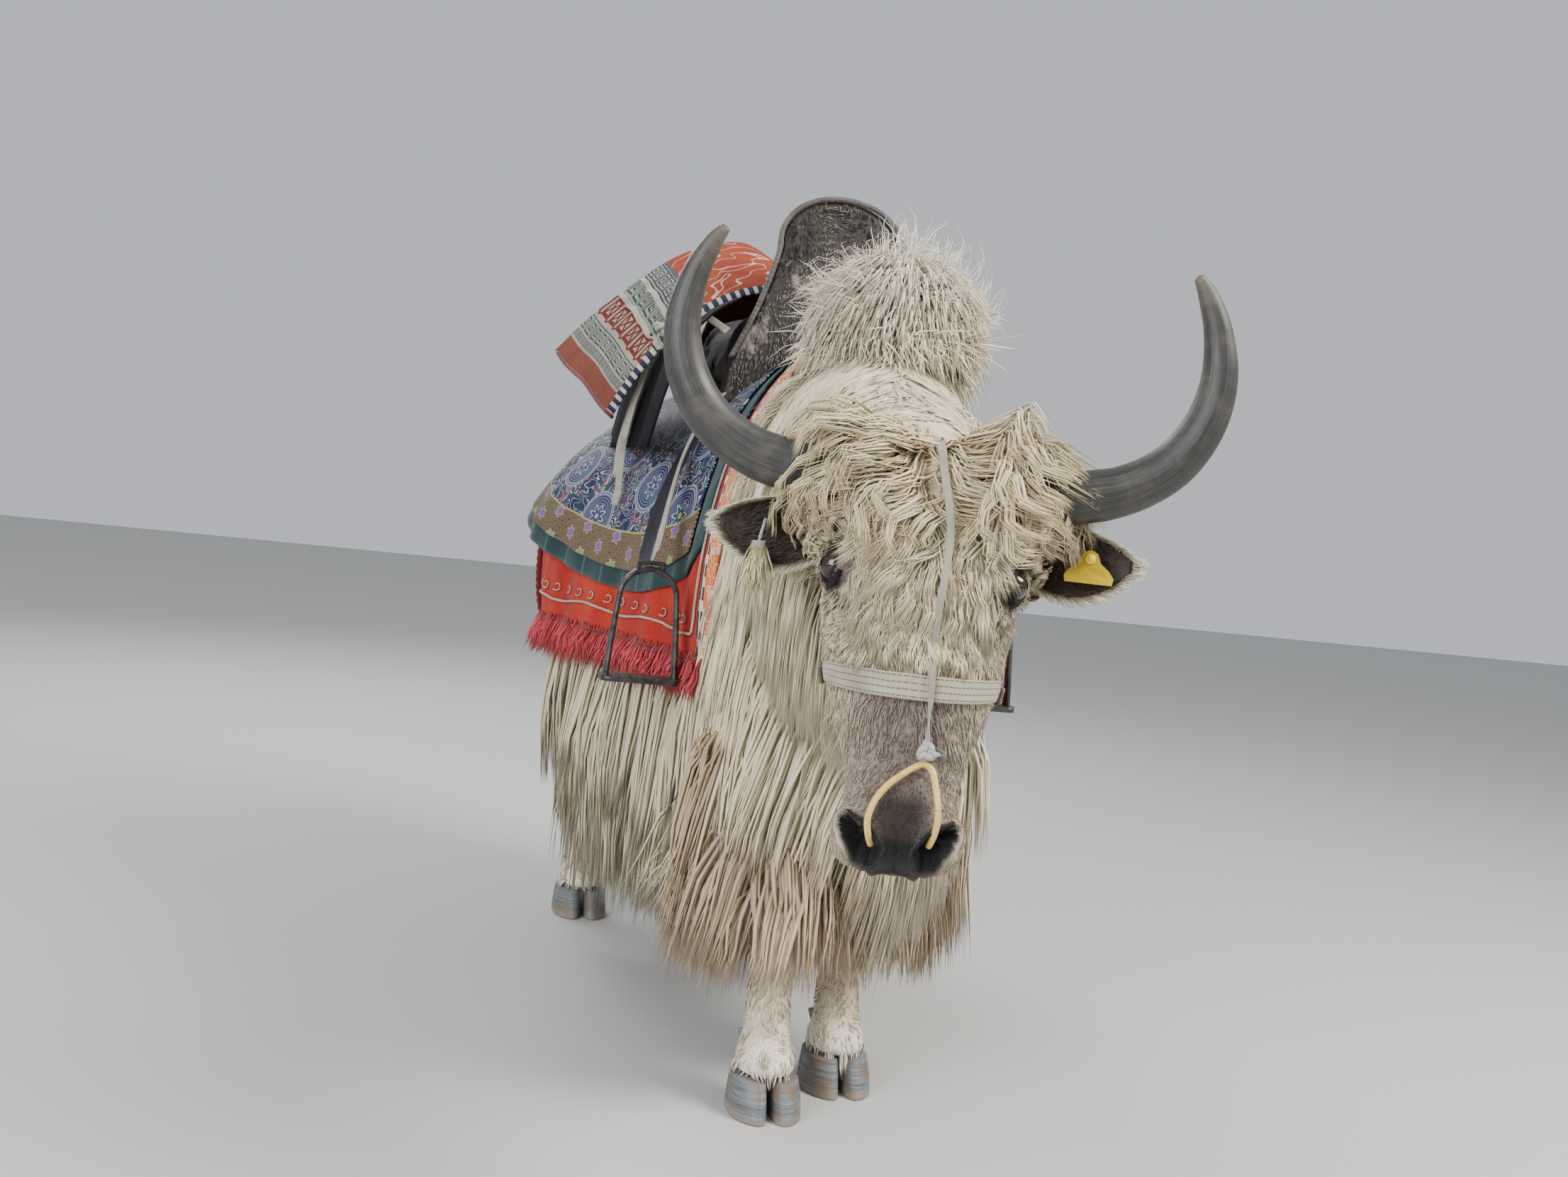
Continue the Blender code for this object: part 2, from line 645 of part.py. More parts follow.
def make_claw(name, foot, side):
    """One claw of a cloven hoof, flat underneath, its toe curving in to the split."""
    x, y = foot
    rings = []
    for height, scale, shift in ((0.0, 1.0, 0.0), (0.012, 1.0, 0.002), (0.034, 0.95, 0.008),
                                 (HOOF_HEIGHT, 0.90, 0.012)):
        ring = []
        inner = x + side * CLAW_SPLIT / 2
        length = HOOF_LENGTH * scale
        wide = CLAW_WIDTH * scale
        heel = y + HOOF_LENGTH * 0.45
        toe = heel - length + shift
        outline = ((0.10, 0.0), (0.62, 0.03), (0.98, 0.28), (1.0, 0.58), (0.82, 0.83), (0.42, 1.0),
                   (0.12, 0.97), (0.0, 0.72), (0.0, 0.20))
        for across, forward in outline:
            ring.append(Vector((inner + side * wide * across, heel + (toe - heel) * forward, height)))
        rings.append(ring)
    return loft(name, rings, colour=(0.30, 0.32, 0.34), roughness=0.6)


def make_tail():
    """Tail stem under its long bush."""
    return tube("tail", TAIL_PATH, TAIL_RADII, sides=8, colour=(0.84, 0.80, 0.68))


def surface(tree, start, direction):
    """Point and outward direction where a ray from inside last leaves a body."""
    direction = Vector(direction).normalized()
    place, normal, _, _ = tree.ray_cast(Vector(start) + direction * 1.5, -direction)
    if normal.dot(direction) < 0:
        normal = -normal
    return place, normal


def body_tree(source):
    """Search tree over a body's surface."""
    bm = bmesh.new()
    bm.from_mesh(source.data)
    tree = BVHTree.FromBMesh(bm)
    bm.free()
    return tree


def hair_path(root, out, fall, length, lift, sway=0.0, sunk=0.014):
    """Centre line of a lock: out of the skin, then along its fall, with a sideways bend."""
    out = Vector(out).normalized()
    fall = Vector(fall).normalized()
    side = fall.cross(out).normalized()
    points = []
    for i in range(LOCK_STEPS + 1):
        t = i / LOCK_STEPS
        rise = -sunk + (lift + sunk) * math.sin(min(1.0, t * 1.6) * math.pi / 2) ** 0.8
        points.append(Vector(root) + out * rise + fall * length * t
                      + side * sway * math.sin(math.pi * t * 1.3))
    return points, out


def lock(points, out, width, thick):
    """Flat tapered lock: flat inside, ridged outside, drawn to one point at the tip."""
    bm = bmesh.new()
    loops = []
    last = len(points) - 1
    for i, point in enumerate(points[:-1]):
        t = i / last
        ahead = (points[i + 1] - points[max(0, i - 1)]).normalized()
        side = ahead.cross(out).normalized()
        face = side.cross(ahead)
        wide = width * (0.72 + 0.9 * t - 1.45 * t * t) / 2
        deep = thick * (1.0 - 0.6 * t)
        loops.append([bm.verts.new(point - side * wide), bm.verts.new(point + side * wide),
                      bm.verts.new(point + face * deep)])
    tip = bm.verts.new(points[-1])
    for lower, upper in zip(loops, loops[1:]):
        for k in range(3):
            j = (k + 1) % 3
            bm.faces.new((lower[k], lower[j], upper[j], upper[k]))
    bm.faces.new(loops[0][::-1])
    for k in range(3):
        bm.faces.new((loops[-1][k], loops[-1][(k + 1) % 3], tip))
    return add_object("lock", bm)


def dress(target, tiers):
    """Fuse tiers of hair onto a node; each tier is (paths, width, thickness)."""
    pieces = []
    for paths, width, thick in tiers:
        for points, out in paths:
            pieces.append(lock(points, out, width, thick))
    merge(target, pieces)


def chest_tiers(tree, rng):
    """Three tiers that hang round the front and sides of the chest, clear of the fore legs."""
    tiers = []
    for height, count, reach, length, lift in ((0.74, 8, 84, 0.27, 0.026), (0.60, 9, 92, 0.27, 0.050),
                                               (0.49, 10, 96, 0.32, 0.040)):
        paths = []
        for i in range(count):
            turn = math.radians(-reach + 2 * reach * i / (count - 1))
            aim = Vector((math.sin(turn), -math.cos(turn), 0))
            root, out = surface(tree, (0, CHEST_BACK - 0.03, height), aim)
            aim = (aim + 0.4 * Vector((out.x, out.y, 0))).normalized()
            beside = abs(math.sin(turn))
            run = length * (0.72 + 0.30 * beside) * rng.uniform(0.94, 1.08)
            fall = Vector((0.28 * aim.x, 0.10 * aim.y, -1))
            paths.append(hair_path(root, aim, fall, run, lift + LAP * (i % 2)))
        tiers.append((paths, 0.088, 0.015))
    return tiers


def flank_tiers(tree, side, rng):
    """Skirt below the saddle cloths and the longer fall over the haunch."""
    tiers = []
    rows = ((0.540, 0.15, 0.80, 8, 0.24, 0.040), (0.465, 0.13, 0.76, 8, 0.30, 0.034))
    for height, front, back, count, length, lift in rows:
        paths = []
        for i in range(count):
            along = front + (back - front) * i / (count - 1)
            root_height = max(height, float(curve(BARREL_UNDER, along)) + 0.06)
            root, out = surface(tree, (side * 0.03, along, root_height), (side, 0, 0))
            aim = Vector((side, 0.25 * (along - 0.6), 0)).normalized()
            fall = Vector((side * 0.06, 0.14 + 0.03 * rng.uniform(-1, 1), -1))
            low = 0.100 + 0.075 * (1 - along) + 0.02 * rng.uniform(-1, 1)
            run = (root.z - low) * (1.0 if height < 0.5 else 0.72)
            paths.append(hair_path(root, aim, fall, run, lift + LAP * (i % 2)))
        tiers.append((paths, 0.115, 0.015))
    for height, front, back, count, length, lift in ((0.66, 0.86, 1.03, 3, 0.50, 0.040),
                                                     (0.84, 0.83, 1.02, 4, 0.30, 0.024)):
        paths = []
        for i in range(count):
            along = front + (back - front) * i / (count - 1)
            root, out = surface(tree, (side * 0.03, along - 0.1, height), (side, 0.5, 0))
            fall = Vector((side * 0.10, 0.12, -1))
            fall -= out * fall.dot(out) * 0.8
            paths.append(hair_path(root, out, fall, length * rng.uniform(0.9, 1.1),
                                   lift + LAP * (i % 2)))
        tiers.append((paths, 0.095, 0.014))
    return tiers


def rump_tiers(tree, rng):
    """Hair beside the tail, over the buttocks."""
    tiers = []
    for height, count, length in ((0.86, 2, 0.20), (0.72, 2, 0.22)):
        for side in (-1, 1):
            paths = []
            for i in range(count):
                turn = math.radians(42 + 18 * i)
                aim = Vector((side * math.sin(turn), math.cos(turn), -0.1))
                root, out = surface(tree, (0, 0.98, height), aim)
                fall = Vector((side * 0.05, 0.05, -1))
                paths.append(hair_path(root, Vector((out.x, out.y, 0)), fall,
                                       length * rng.uniform(0.9, 1.1), 0.026))
            tiers.append((paths, 0.066, 0.014))
    return tiers


def tail_tiers(rng):
    """Bush of the tail, in rings down its stem."""
    tiers = []
    for place, count, length in ((0.34, 4, 0.27), (0.58, 5, 0.28), (0.84, 5, 0.32)):
        at = place * (len(TAIL_PATH) - 1)
        i = min(int(at), len(TAIL_PATH) - 2)
        centre = Vector(TAIL_PATH[i]).lerp(Vector(TAIL_PATH[i + 1]), at - i)
        paths = []
        for k in range(count):
            turn = 2 * math.pi * (k + 0.5 * (count % 2)) / count
            aim = Vector((math.sin(turn), -math.cos(turn) * 0.6 + 0.25, 0)).normalized()
            fall = Vector((0.10 * aim.x, 0.06 * aim.y + 0.02, -1))
            paths.append(hair_path(centre + aim * 0.012, aim, fall, length * rng.uniform(0.92, 1.06),
                                   0.036, sunk=0.008))
        tiers.append((paths, 0.056, 0.016))
    return tiers


def hump_tiers(tree, rng):
    """Fluffy coat of the hump, parted along its top and falling to each side."""
    tiers = []
    for lift_angle, count, length, lift in ((60, 5, 0.100, 0.026), (28, 7, 0.105, 0.026),
                                            (2, 7, 0.105, 0.022)):
        paths = []
        for k in range(count):
            turn = math.radians(-155 + 310 * k / (count - 1))
            pitch = math.radians(lift_angle)
            aim = Vector((math.sin(turn) * math.cos(pitch), -math.cos(turn) * math.cos(pitch),
                          math.sin(pitch)))
            root, out = surface(tree, HUMP_CENTRE, aim)
            level = Vector((aim.x, aim.y * 0.8, 0)).normalized()
            fall = level + Vector((0, 0, 0.05 - 1.5 * math.cos(pitch)))
            paths.append(hair_path(root, (out + Vector((0, 0, 0.4))).normalized(), fall,
                                   length * rng.uniform(0.9, 1.12), lift + LAP * 0.5 * (k % 2)))
        tiers.append((paths, 0.105, 0.020))
    return tiers


def neck_tiers(tree, rng):
    """Mane along the crest, hair down the sides of the neck, and the long throat hair."""
    tiers = []
    start = Vector(NECK_STATIONS[1][0])
    end = Vector(NECK_STATIONS[4][0])
    for side in (-1, 1):
        for angle, length, lift in ((28, 0.17, 0.022), (66, 0.19, 0.024), (104, 0.21, 0.026)):
            paths = []
            count = 2 if angle < 40 else 3
            for i in range(count):
                centre = start.lerp(end, 0.10 + 0.76 * i / (count - 1))
                turn = math.radians(angle)
                aim = Vector((side * math.sin(turn), 0, math.cos(turn)))
                root, out = surface(tree, centre, aim)
                fall = Vector((side * 0.25, 0.22, -1))
                fall -= out * fall.dot(out) * 0.85
                paths.append(hair_path(root, out, fall, length * rng.uniform(0.9, 1.1),
                                       lift + LAP * 0.6 * (i % 2)))
            tiers.append((paths, 0.100, 0.013))
    paths = []
    for i in range(3):
        centre = start.lerp(end, 0.25 + 0.30 * i)
        root, out = surface(tree, centre, (0, 0, -1))
        paths.append(hair_path(root, Vector((0, -0.9, 0.3)), Vector((0, 0.10, -1)),
                               0.15 * rng.uniform(0.9, 1.1), 0.02))
    tiers.append((paths, 0.06, 0.02))
    return tiers


def forelock_tiers(rng):
    """Curly poll hair in rounded clumps, and the straighter fringe that falls to the mid face."""
    tiers = []
    rows = ((-0.160, 5, 60, 0.090, 0.058, 0.90, 0.066, 0.030),
            (-0.105, 5, 64, 0.090, 0.034, 0.40, 0.066, 0.022),
            (-0.045, 5, 40, 0.115, 0.014, 0.25, 0.058, 0.015))
    world = HEAD.to_3x3()
    for along, count, reach, length, lift, lean, width, thick in rows:
        paths = []
        for i in range(count):
            angle = math.radians(-reach + 2 * reach * i / (count - 1))
            root = face_point(along, angle)
            near = face_point(along, angle, 0.01)
            out = (near - root).normalized() - Vector((0, lean, 0))
            fall = Vector((0.20 * math.sin(angle), 1.0, 0))
            paths.append(hair_path(HEAD @ root, world @ out, world @ fall,
                                   length * rng.uniform(0.9, 1.1), lift + LAP * 0.6 * (i % 2),
                                   rng.uniform(-0.006, 0.006), sunk=0.010))
        tiers.append((paths, width, thick))
    return tiers


def cloth_low(along):
    """Height of the brocade cloth's lower edge."""
    if along > 0.40:
        return BROCADE_LOW + BROCADE_RISE_BACK * ((along - 0.40) / 0.34) ** 2
    return BROCADE_LOW + BROCADE_RISE_FRONT * ((0.40 - along) / 0.20) ** 2


def cloth_rows(along, layer):
    """Angles of a cloth's rows on one side, from the spine down to its lower edge."""
    edge = barrel_angle(along, cloth_low(along))
    rows = [edge * i / CLOTH_ROWS for i in range(CLOTH_ROWS + 1)]
    if layer > 0:
        rows.append(barrel_angle(along, cloth_low(along) - PLAID_BELOW))
    if layer > 1:
        low = barrel_angle(along, FELT_LOW)
        rows += [(rows[-1] + low) / 2, low]
    return rows


def cloth_point(along, angle, offset, flare):
    """Point of a cloth over the barrel, its rear lower corners standing out."""
    place = barrel_point(along, angle, offset)
    back = max(0.0, min(1.0, (along - 0.46) / 0.27))
    drop = max(0.0, min(1.0, (1.00 - place.z) / 0.22))
    out = Vector((math.copysign(1.0, place.x), 0.25, 0))
    return place + out * flare * back * back * (3 - 2 * back) * drop


def make_cloth(name, layer, stations, offset, thick, flare, **finish):
    """Saddle cloth over the back: one sheet from its right edge over the spine to its left."""
    rings = []
    for along in stations:
        half = cloth_rows(along, layer)
        angles = [-angle for angle in half[:0:-1]] + half
        inner = [cloth_point(along, angle, offset, flare) for angle in angles]
        outer = [cloth_point(along, angle, offset + thick, flare) for angle in angles]
        rings.append(inner + outer[::-1])
    bm = bmesh.new()
    loops = [[bm.verts.new(point) for point in ring] for ring in rings]
    count = len(loops[0])
    half_count = count // 2
    for lower, upper in zip(loops, loops[1:]):
        for i in range(count):
            j = (i + 1) % count
            if i < half_count:
                bm.faces.new((lower[i], lower[j], upper[j]))
                bm.faces.new((lower[i], upper[j], upper[i]))
            else:
                bm.faces.new((lower[i], lower[j], upper[i]))
                bm.faces.new((lower[j], upper[j], upper[i]))
    for loop, flip in ((loops[0], True), (loops[-1], False)):
        for i in range(half_count - 1):
            quad = (loop[i], loop[i + 1], loop[count - 2 - i], loop[count - 1 - i])
            bm.faces.new(quad[::-1] if flip else quad)
    return add_object(name, bm, **finish)


def fringe_pieces(rng):
    """Shaggy fringe along the felt's lower edges."""
    pieces = []
    for side in (-1, 1):
        for i in range(FRINGE_COUNT):
            along = 0.20 + 0.545 * i / (FRINGE_COUNT - 1)
            angle = side * barrel_angle(along, FELT_LOW)
            root = cloth_point(along, angle, FELT_OFF + FELT_THICK * 0.5, CORNER_FLARE * 0.4)
            sway = Vector((0, rng.uniform(-0.012, 0.014), 0))
            tip = root + Vector((side * 0.012, 0, -FRINGE_LENGTH * rng.uniform(0.8, 1.2))) + sway
            top = root + Vector((0, 0, 0.010))
            middle = root.lerp(tip, 0.4) + Vector((side * 0.006, 0, 0))
            pieces.append(tube("fringe", (top, middle, tip),
                               ((0.032, 0.0022), (0.036, 0.0040), (0.006, 0.0015)), sides=3,
                               flat=(1, 0, 0)))
    return pieces


def board(name, outline, along, thick, lean=0.0, **finish):
    """Upright board across the back: an outline of (side, height) points, leaning back."""
    rings = []
    low = min(height for _, height in outline)
    for shift in (-thick / 2, -thick / 2 + 0.006, thick / 2 - 0.006, thick / 2):
        inset = 0.006 if abs(shift) == thick / 2 else 0.0
        middle = Vector((0, 0, sum(height for _, height in outline) / len(outline)))
        ring = []
        for across, height in outline:
            point = Vector((across, along + shift + (height - low) * lean, height))
            toward = (middle - Vector((across, 0, height)))
            ring.append(point + Vector((toward.x, 0, toward.z)).normalized() * inset)
        rings.append(ring)
    return loft(name, rings, **finish)


def make_pommel():
    """High arched wooden pommel."""
    outline = []
    for i in range(13):
        turn = math.pi * i / 12
        outline.append((POMMEL_MIDDLE + POMMEL_HALF * math.cos(turn),
                        POMMEL_TOP - 0.105 + 0.105 * math.sin(turn) ** 0.8))
    outline += [(-POMMEL_FOOT_HALF, 1.060), (-POMMEL_FOOT_HALF + 0.02, 0.985), (-0.09, 1.0),
                (0.09, 1.0), (POMMEL_FOOT_HALF - 0.02, 0.985), (POMMEL_FOOT_HALF, 1.060)]
    return board("pommel", outline, POMMEL_ALONG, POMMEL_THICK, 0.10,
                 colour=(0.16, 0.14, 0.12))


def make_cantle():
    """Lower arched board at the back of the seat."""
    outline = []
    for i in range(9):
        turn = math.pi * i / 8
        outline.append((0.125 * math.cos(turn), CANTLE_TOP - 0.07 + 0.07 * math.sin(turn)))
    outline += [(-0.165, 1.05), (-0.14, 0.99), (0.14, 0.99), (0.165, 1.05)]
    return board("cantle", outline, CANTLE_ALONG, 0.034, 0.20, colour=(0.20, 0.14, 0.09))


def make_seat():
    """Padded seat over the side bars of the saddle, between pommel and cantle."""
    rings = []
    start = POMMEL_ALONG + POMMEL_THICK / 2 + 0.030
    end = CANTLE_ALONG - 0.018
    for i in range(4):
        t = i / 3
        along = start + (end - start) * t
        top = SEAT_TOP + 0.020 * (2 * t - 1) ** 2
        section = ((-SEAT_HALF, 0.97), (-SEAT_HALF - 0.012, 1.04), (-SEAT_HALF + 0.03, top - 0.03),
                   (-0.06, top), (0.06, top), (SEAT_HALF - 0.03, top - 0.03),
                   (SEAT_HALF + 0.012, 1.04), (SEAT_HALF, 0.97))
        rings.append([Vector((across, along, height)) for across, height in section])
    return loft("seat", rings, colour=(0.10, 0.08, 0.08))


def make_rug():
    """Folded rug over the seat, hanging out past the right side."""
    rings = []
    for i, along in enumerate(RUG_STATIONS):
        t = i / (len(RUG_STATIONS) - 1)
        upper = []
        under = []
        for k, (across, height) in enumerate(RUG_LINE):
            before = Vector(RUG_LINE[max(0, k - 1)])
            after = Vector(RUG_LINE[min(len(RUG_LINE) - 1, k + 1)])
            run = (after - before).normalized()
            up = Vector((run.y, -run.x)) * -1
            if up.y < 0:
                up = -up
            wave = 0.010 * math.sin(3.0 * t * math.pi + k * 0.5)
            push = max(0.0, (k - 3) / 4)
            reach = RUG_FRONT_REACH + (RUG_BACK_REACH - RUG_FRONT_REACH) * t
            spread = 1 + push * (reach - 1)
            centre = Vector((across * spread if across < 0 else across, along, height + wave * push))
            centre.z += RUG_BACK_RISE * push * (t - 0.5)
            lift = Vector((up.x, 0, up.y)) * RUG_THICK / 2
            upper.append(centre + lift)
            under.append(centre - lift)
        rings.append(upper + under[::-1])
    return loft("rug", rings, colour=(0.62, 0.20, 0.10))


def stirrup_path(side):
    """Middle line of the stirrup's bow, from one foot over the top to the other."""
    x, y = STIRRUP_PLACE
    points = []
    for i in range(11):
        turn = math.pi * i / 10
        drop = 0.10 if i in (0, 10) else 0.0
        rise = math.sin(turn) ** 0.85
        points.append(Vector((side * x + STIRRUP_HALF * math.cos(turn) * (1.0 if 0 < i < 10 else 1.02),
                              y, STIRRUP_TOP - 0.072 + 0.062 * rise - drop + 0.0)))
    return points


def make_stirrup(name, side):
    """Tall iron stirrup with a flat tread and a strap loop on top."""
    x, y = STIRRUP_PLACE
    path = stirrup_path(side)
    bow = tube(name, path, [(0.0050, 0.0085)] * len(path), sides=6, flat=(0, 1, 0),
               colour=(0.10, 0.10, 0.10), roughness=0.5, metallic=0.8)
    tread = []
    for height, grow in ((STIRRUP_FOOT, 0.0), (STIRRUP_FOOT + 0.010, 0.0)):
        ring = []
        for k in range(10):
            turn = 2 * math.pi * k / 10
            ring.append(Vector((side * x + (STIRRUP_HALF + 0.010) * power(math.cos(turn), 0.6),
                                y + 0.026 * power(math.sin(turn), 0.6), height)))
        tread.append(ring)
    plate = loft("tread", tread)
    loop = [Vector((side * x + 0.019 * math.cos(a), y, STIRRUP_TOP - 0.004 + 0.010 * math.sin(a)))
            for a in (math.pi * k / 6 * 1.0 for k in range(7))]
    ring = tube("loop", loop, [(0.0040, 0.0060)] * len(loop), sides=5, flat=(0, 1, 0))
    merge(bow, [plate, ring])
    return bow


def make_strap(name, side):
    """Webbing strap from under the seat over the cloths down to the stirrup."""
    rings = []
    head_along, head_height = STRAP_HEAD
    x, y = STIRRUP_PLACE
    foot_height = STIRRUP_TOP + 0.012
    steps = 7
    for i in range(steps + 1):
        t = i / steps
        along = head_along + (y - head_along) * t ** 1.5
        angle = side * barrel_angle(along, head_height + (foot_height - head_height) * t)
        ring = []
        for rise, beside in ((0.0, -1), (STRAP_THICK, -1), (STRAP_THICK, 1), (0.0, 1)):
            place = barrel_point(along, angle, STRAP_OFF + rise)
            hang = Vector((side * (x + rise), along, place.z))
            place = place.lerp(hang, t * t)
            place.z += (foot_height - place.z) * t ** 6
            place.y += beside * STRAP_HALF
            ring.append(place)
        rings.append(ring)
    return loft(name, rings, colour=(0.50, 0.49, 0.44))


def make_noseband():
    """Band round the face above the muzzle."""
    rings = []
    for i in range(HEAD_SIDES):
        angle = 2 * math.pi * i / HEAD_SIDES
        ring = []
        for shift, off in ((-1, 0.0016), (1, 0.0016), (1, 0.0046), (-1, 0.0046)):
            along = NOSEBAND_ALONG + shift * NOSEBAND_HALF
            ring.append(HEAD @ face_point(along, angle, off))
        rings.append(ring)
    return loft("noseband", rings, closed=True, colour=(0.62, 0.58, 0.48))


def make_face_strap():
    """Thin strap from the poll down the middle of the face to the knot."""
    rings = []
    start = -0.162
    end = KNOT_PLACE[1] - 0.014
    steps = 12
    for i in range(steps + 1):
        t = i / steps
        along = start + (end - start) * t
        over = 0.0060 * math.exp(-((along - NOSEBAND_ALONG) / 0.030) ** 4)
        low = face_point(along, 0.0, 0.0022 + over)
        top = face_point(along, 0.0, 0.0046 + over)
        middle = KNOT_PLACE[0] * t
        half = 0.0065 - 0.0025 * t
        rings.append([HEAD @ (low + Vector((middle - half, 0, 0))),
                      HEAD @ (low + Vector((middle + half, 0, 0))),
                      HEAD @ (top + Vector((middle + half, 0, 0))),
                      HEAD @ (top + Vector((middle - half, 0, 0)))])
    return loft("face_strap", rings, colour=(0.66, 0.60, 0.46))


def make_knot():
    """Knot of cloth at the end of the face strap."""
    bm = bmesh.new()
    bmesh.ops.create_icosphere(bm, subdivisions=1, radius=KNOT_RADIUS)
    side, along = KNOT_PLACE
    centre = face_point(along, 0.0, KNOT_RADIUS + 0.0012) + Vector((side, 0, 0))
    bmesh.ops.translate(bm, verts=bm.verts[:], vec=HEAD @ centre)
    return add_object("knot", bm, colour=(0.55, 0.50, 0.42))


def make_nose_loop():
    """Wooden loop from the knot through both nostrils."""
    places = ((-0.038, 0.314, 0.018), (-0.036, 0.292, 0.030), (-0.020, 0.262, 0.034),
              (0.004, 0.236, 0.034), (0.018, 0.2315, 0.034), (0.030, 0.244, 0.034),
              (0.036, 0.272, 0.034), (0.038, 0.294, 0.030), (0.038, 0.314, 0.018))
    return tube("nose_loop", [HEAD @ Vector(place) for place in places], 0.0036, sides=6,
                flat=HEAD.to_3x3() @ Vector((0, 0, 1)), colour=(0.72, 0.52, 0.22), roughness=0.5)


def make_ear_tag():
    """Blank bell-shaped plastic tag in the left ear."""
    outline = ((-0.027, -0.018), (0.027, -0.018), (0.028, -0.006), (0.014, 0.004), (0.008, 0.020),
               (-0.008, 0.020), (-0.014, 0.004), (-0.028, -0.006))
    rings = []
    for deep in (0.0400, 0.0425):
        rings.append([UPRIGHT @ Vector((0.196 + across, deep, 0.010 + height))
                      for across, height in outline])
    return loft("ear_tag", rings, colour=(0.85, 0.70, 0.05), roughness=0.4)


def make_tassel():
    """Yarn tassel hung from the right ear."""
    places = ((-0.188, 0.034, 0.030), (-0.192, 0.034, 0.012), (-0.197, 0.034, -0.008),
              (-0.200, 0.034, -0.036))
    radii = ((0.004, 0.004), (0.010, 0.007), (0.014, 0.009), (0.017, 0.009))
    return tube("ear_tassel", [UPRIGHT @ Vector(place) for place in places], radii, sides=6,
                flat=(0, 1, 0), colour=(0.80, 0.74, 0.58))


def clear_scene():
    """Start from an empty scene."""
    for item in list(bpy.data.objects):
        bpy.data.objects.remove(item)


def settle():
    """Move every piece so that the origin is the middle of the underside of the whole."""
    bpy.context.view_layer.update()
    corners = [np.array([vert.co[:] for vert in item.data.vertices]) for item in bpy.data.objects]
    low = np.min([item.min(axis=0) for item in corners], axis=0)
    high = np.max([item.max(axis=0) for item in corners], axis=0)
    move = Vector((-(low[0] + high[0]) / 2, -(low[1] + high[1]) / 2, -low[2]))
    for item in bpy.data.objects:
        item.data.transform(Matrix.Translation(move))
    print("origin moved by", tuple(round(value, 4) for value in move))
    print("size", tuple(round(float(value), 3) for value in high - low))


def make_tack():
    """Saddle, cloths, rug and stirrups; gives back the pieces that hair must clear."""
    felt = make_cloth("felt_pad", 2, CLOTH_STATIONS, FELT_OFF, FELT_THICK, CORNER_FLARE * 0.4,
                      colour=(0.66, 0.08, 0.04))
    merge(felt, fringe_pieces(random.Random(11)))
    plaid = make_cloth("plaid_cloth", 1, CLOTH_STATIONS[1:-1], PLAID_OFF, PLAID_THICK,
                       CORNER_FLARE, colour=(0.03, 0.14, 0.15))
    brocade = make_cloth("brocade_cloth", 0, CLOTH_STATIONS[2:-1], BROCADE_OFF, BROCADE_THICK,
                         CORNER_FLARE, colour=(0.07, 0.10, 0.32))
    pommel = make_pommel()
    seat = make_seat()
    cantle = make_cantle()
    for item in (pommel, seat, cantle):
        cut_clear(item, [brocade])
    cut_clear(seat, [pommel])
    cut_clear(cantle, [seat])
    rug = make_rug()
    cut_clear(rug, [pommel])
    cut_clear(rug, [seat])
    cut_clear(rug, [cantle])
    for side, word in ((-1, "right"), (1, "left")):
        make_stirrup("stirrup_" + word, side)
        strap = make_strap("stirrup_strap_" + word, side)
        cut_clear(strap, [pommel])
    return [felt, plaid, brocade], [pommel]


def core_of(source):
    """Copy of a piece of flesh before its hair, to cut its neighbours' hair."""
    return duplicate(source, source.name + "_core")


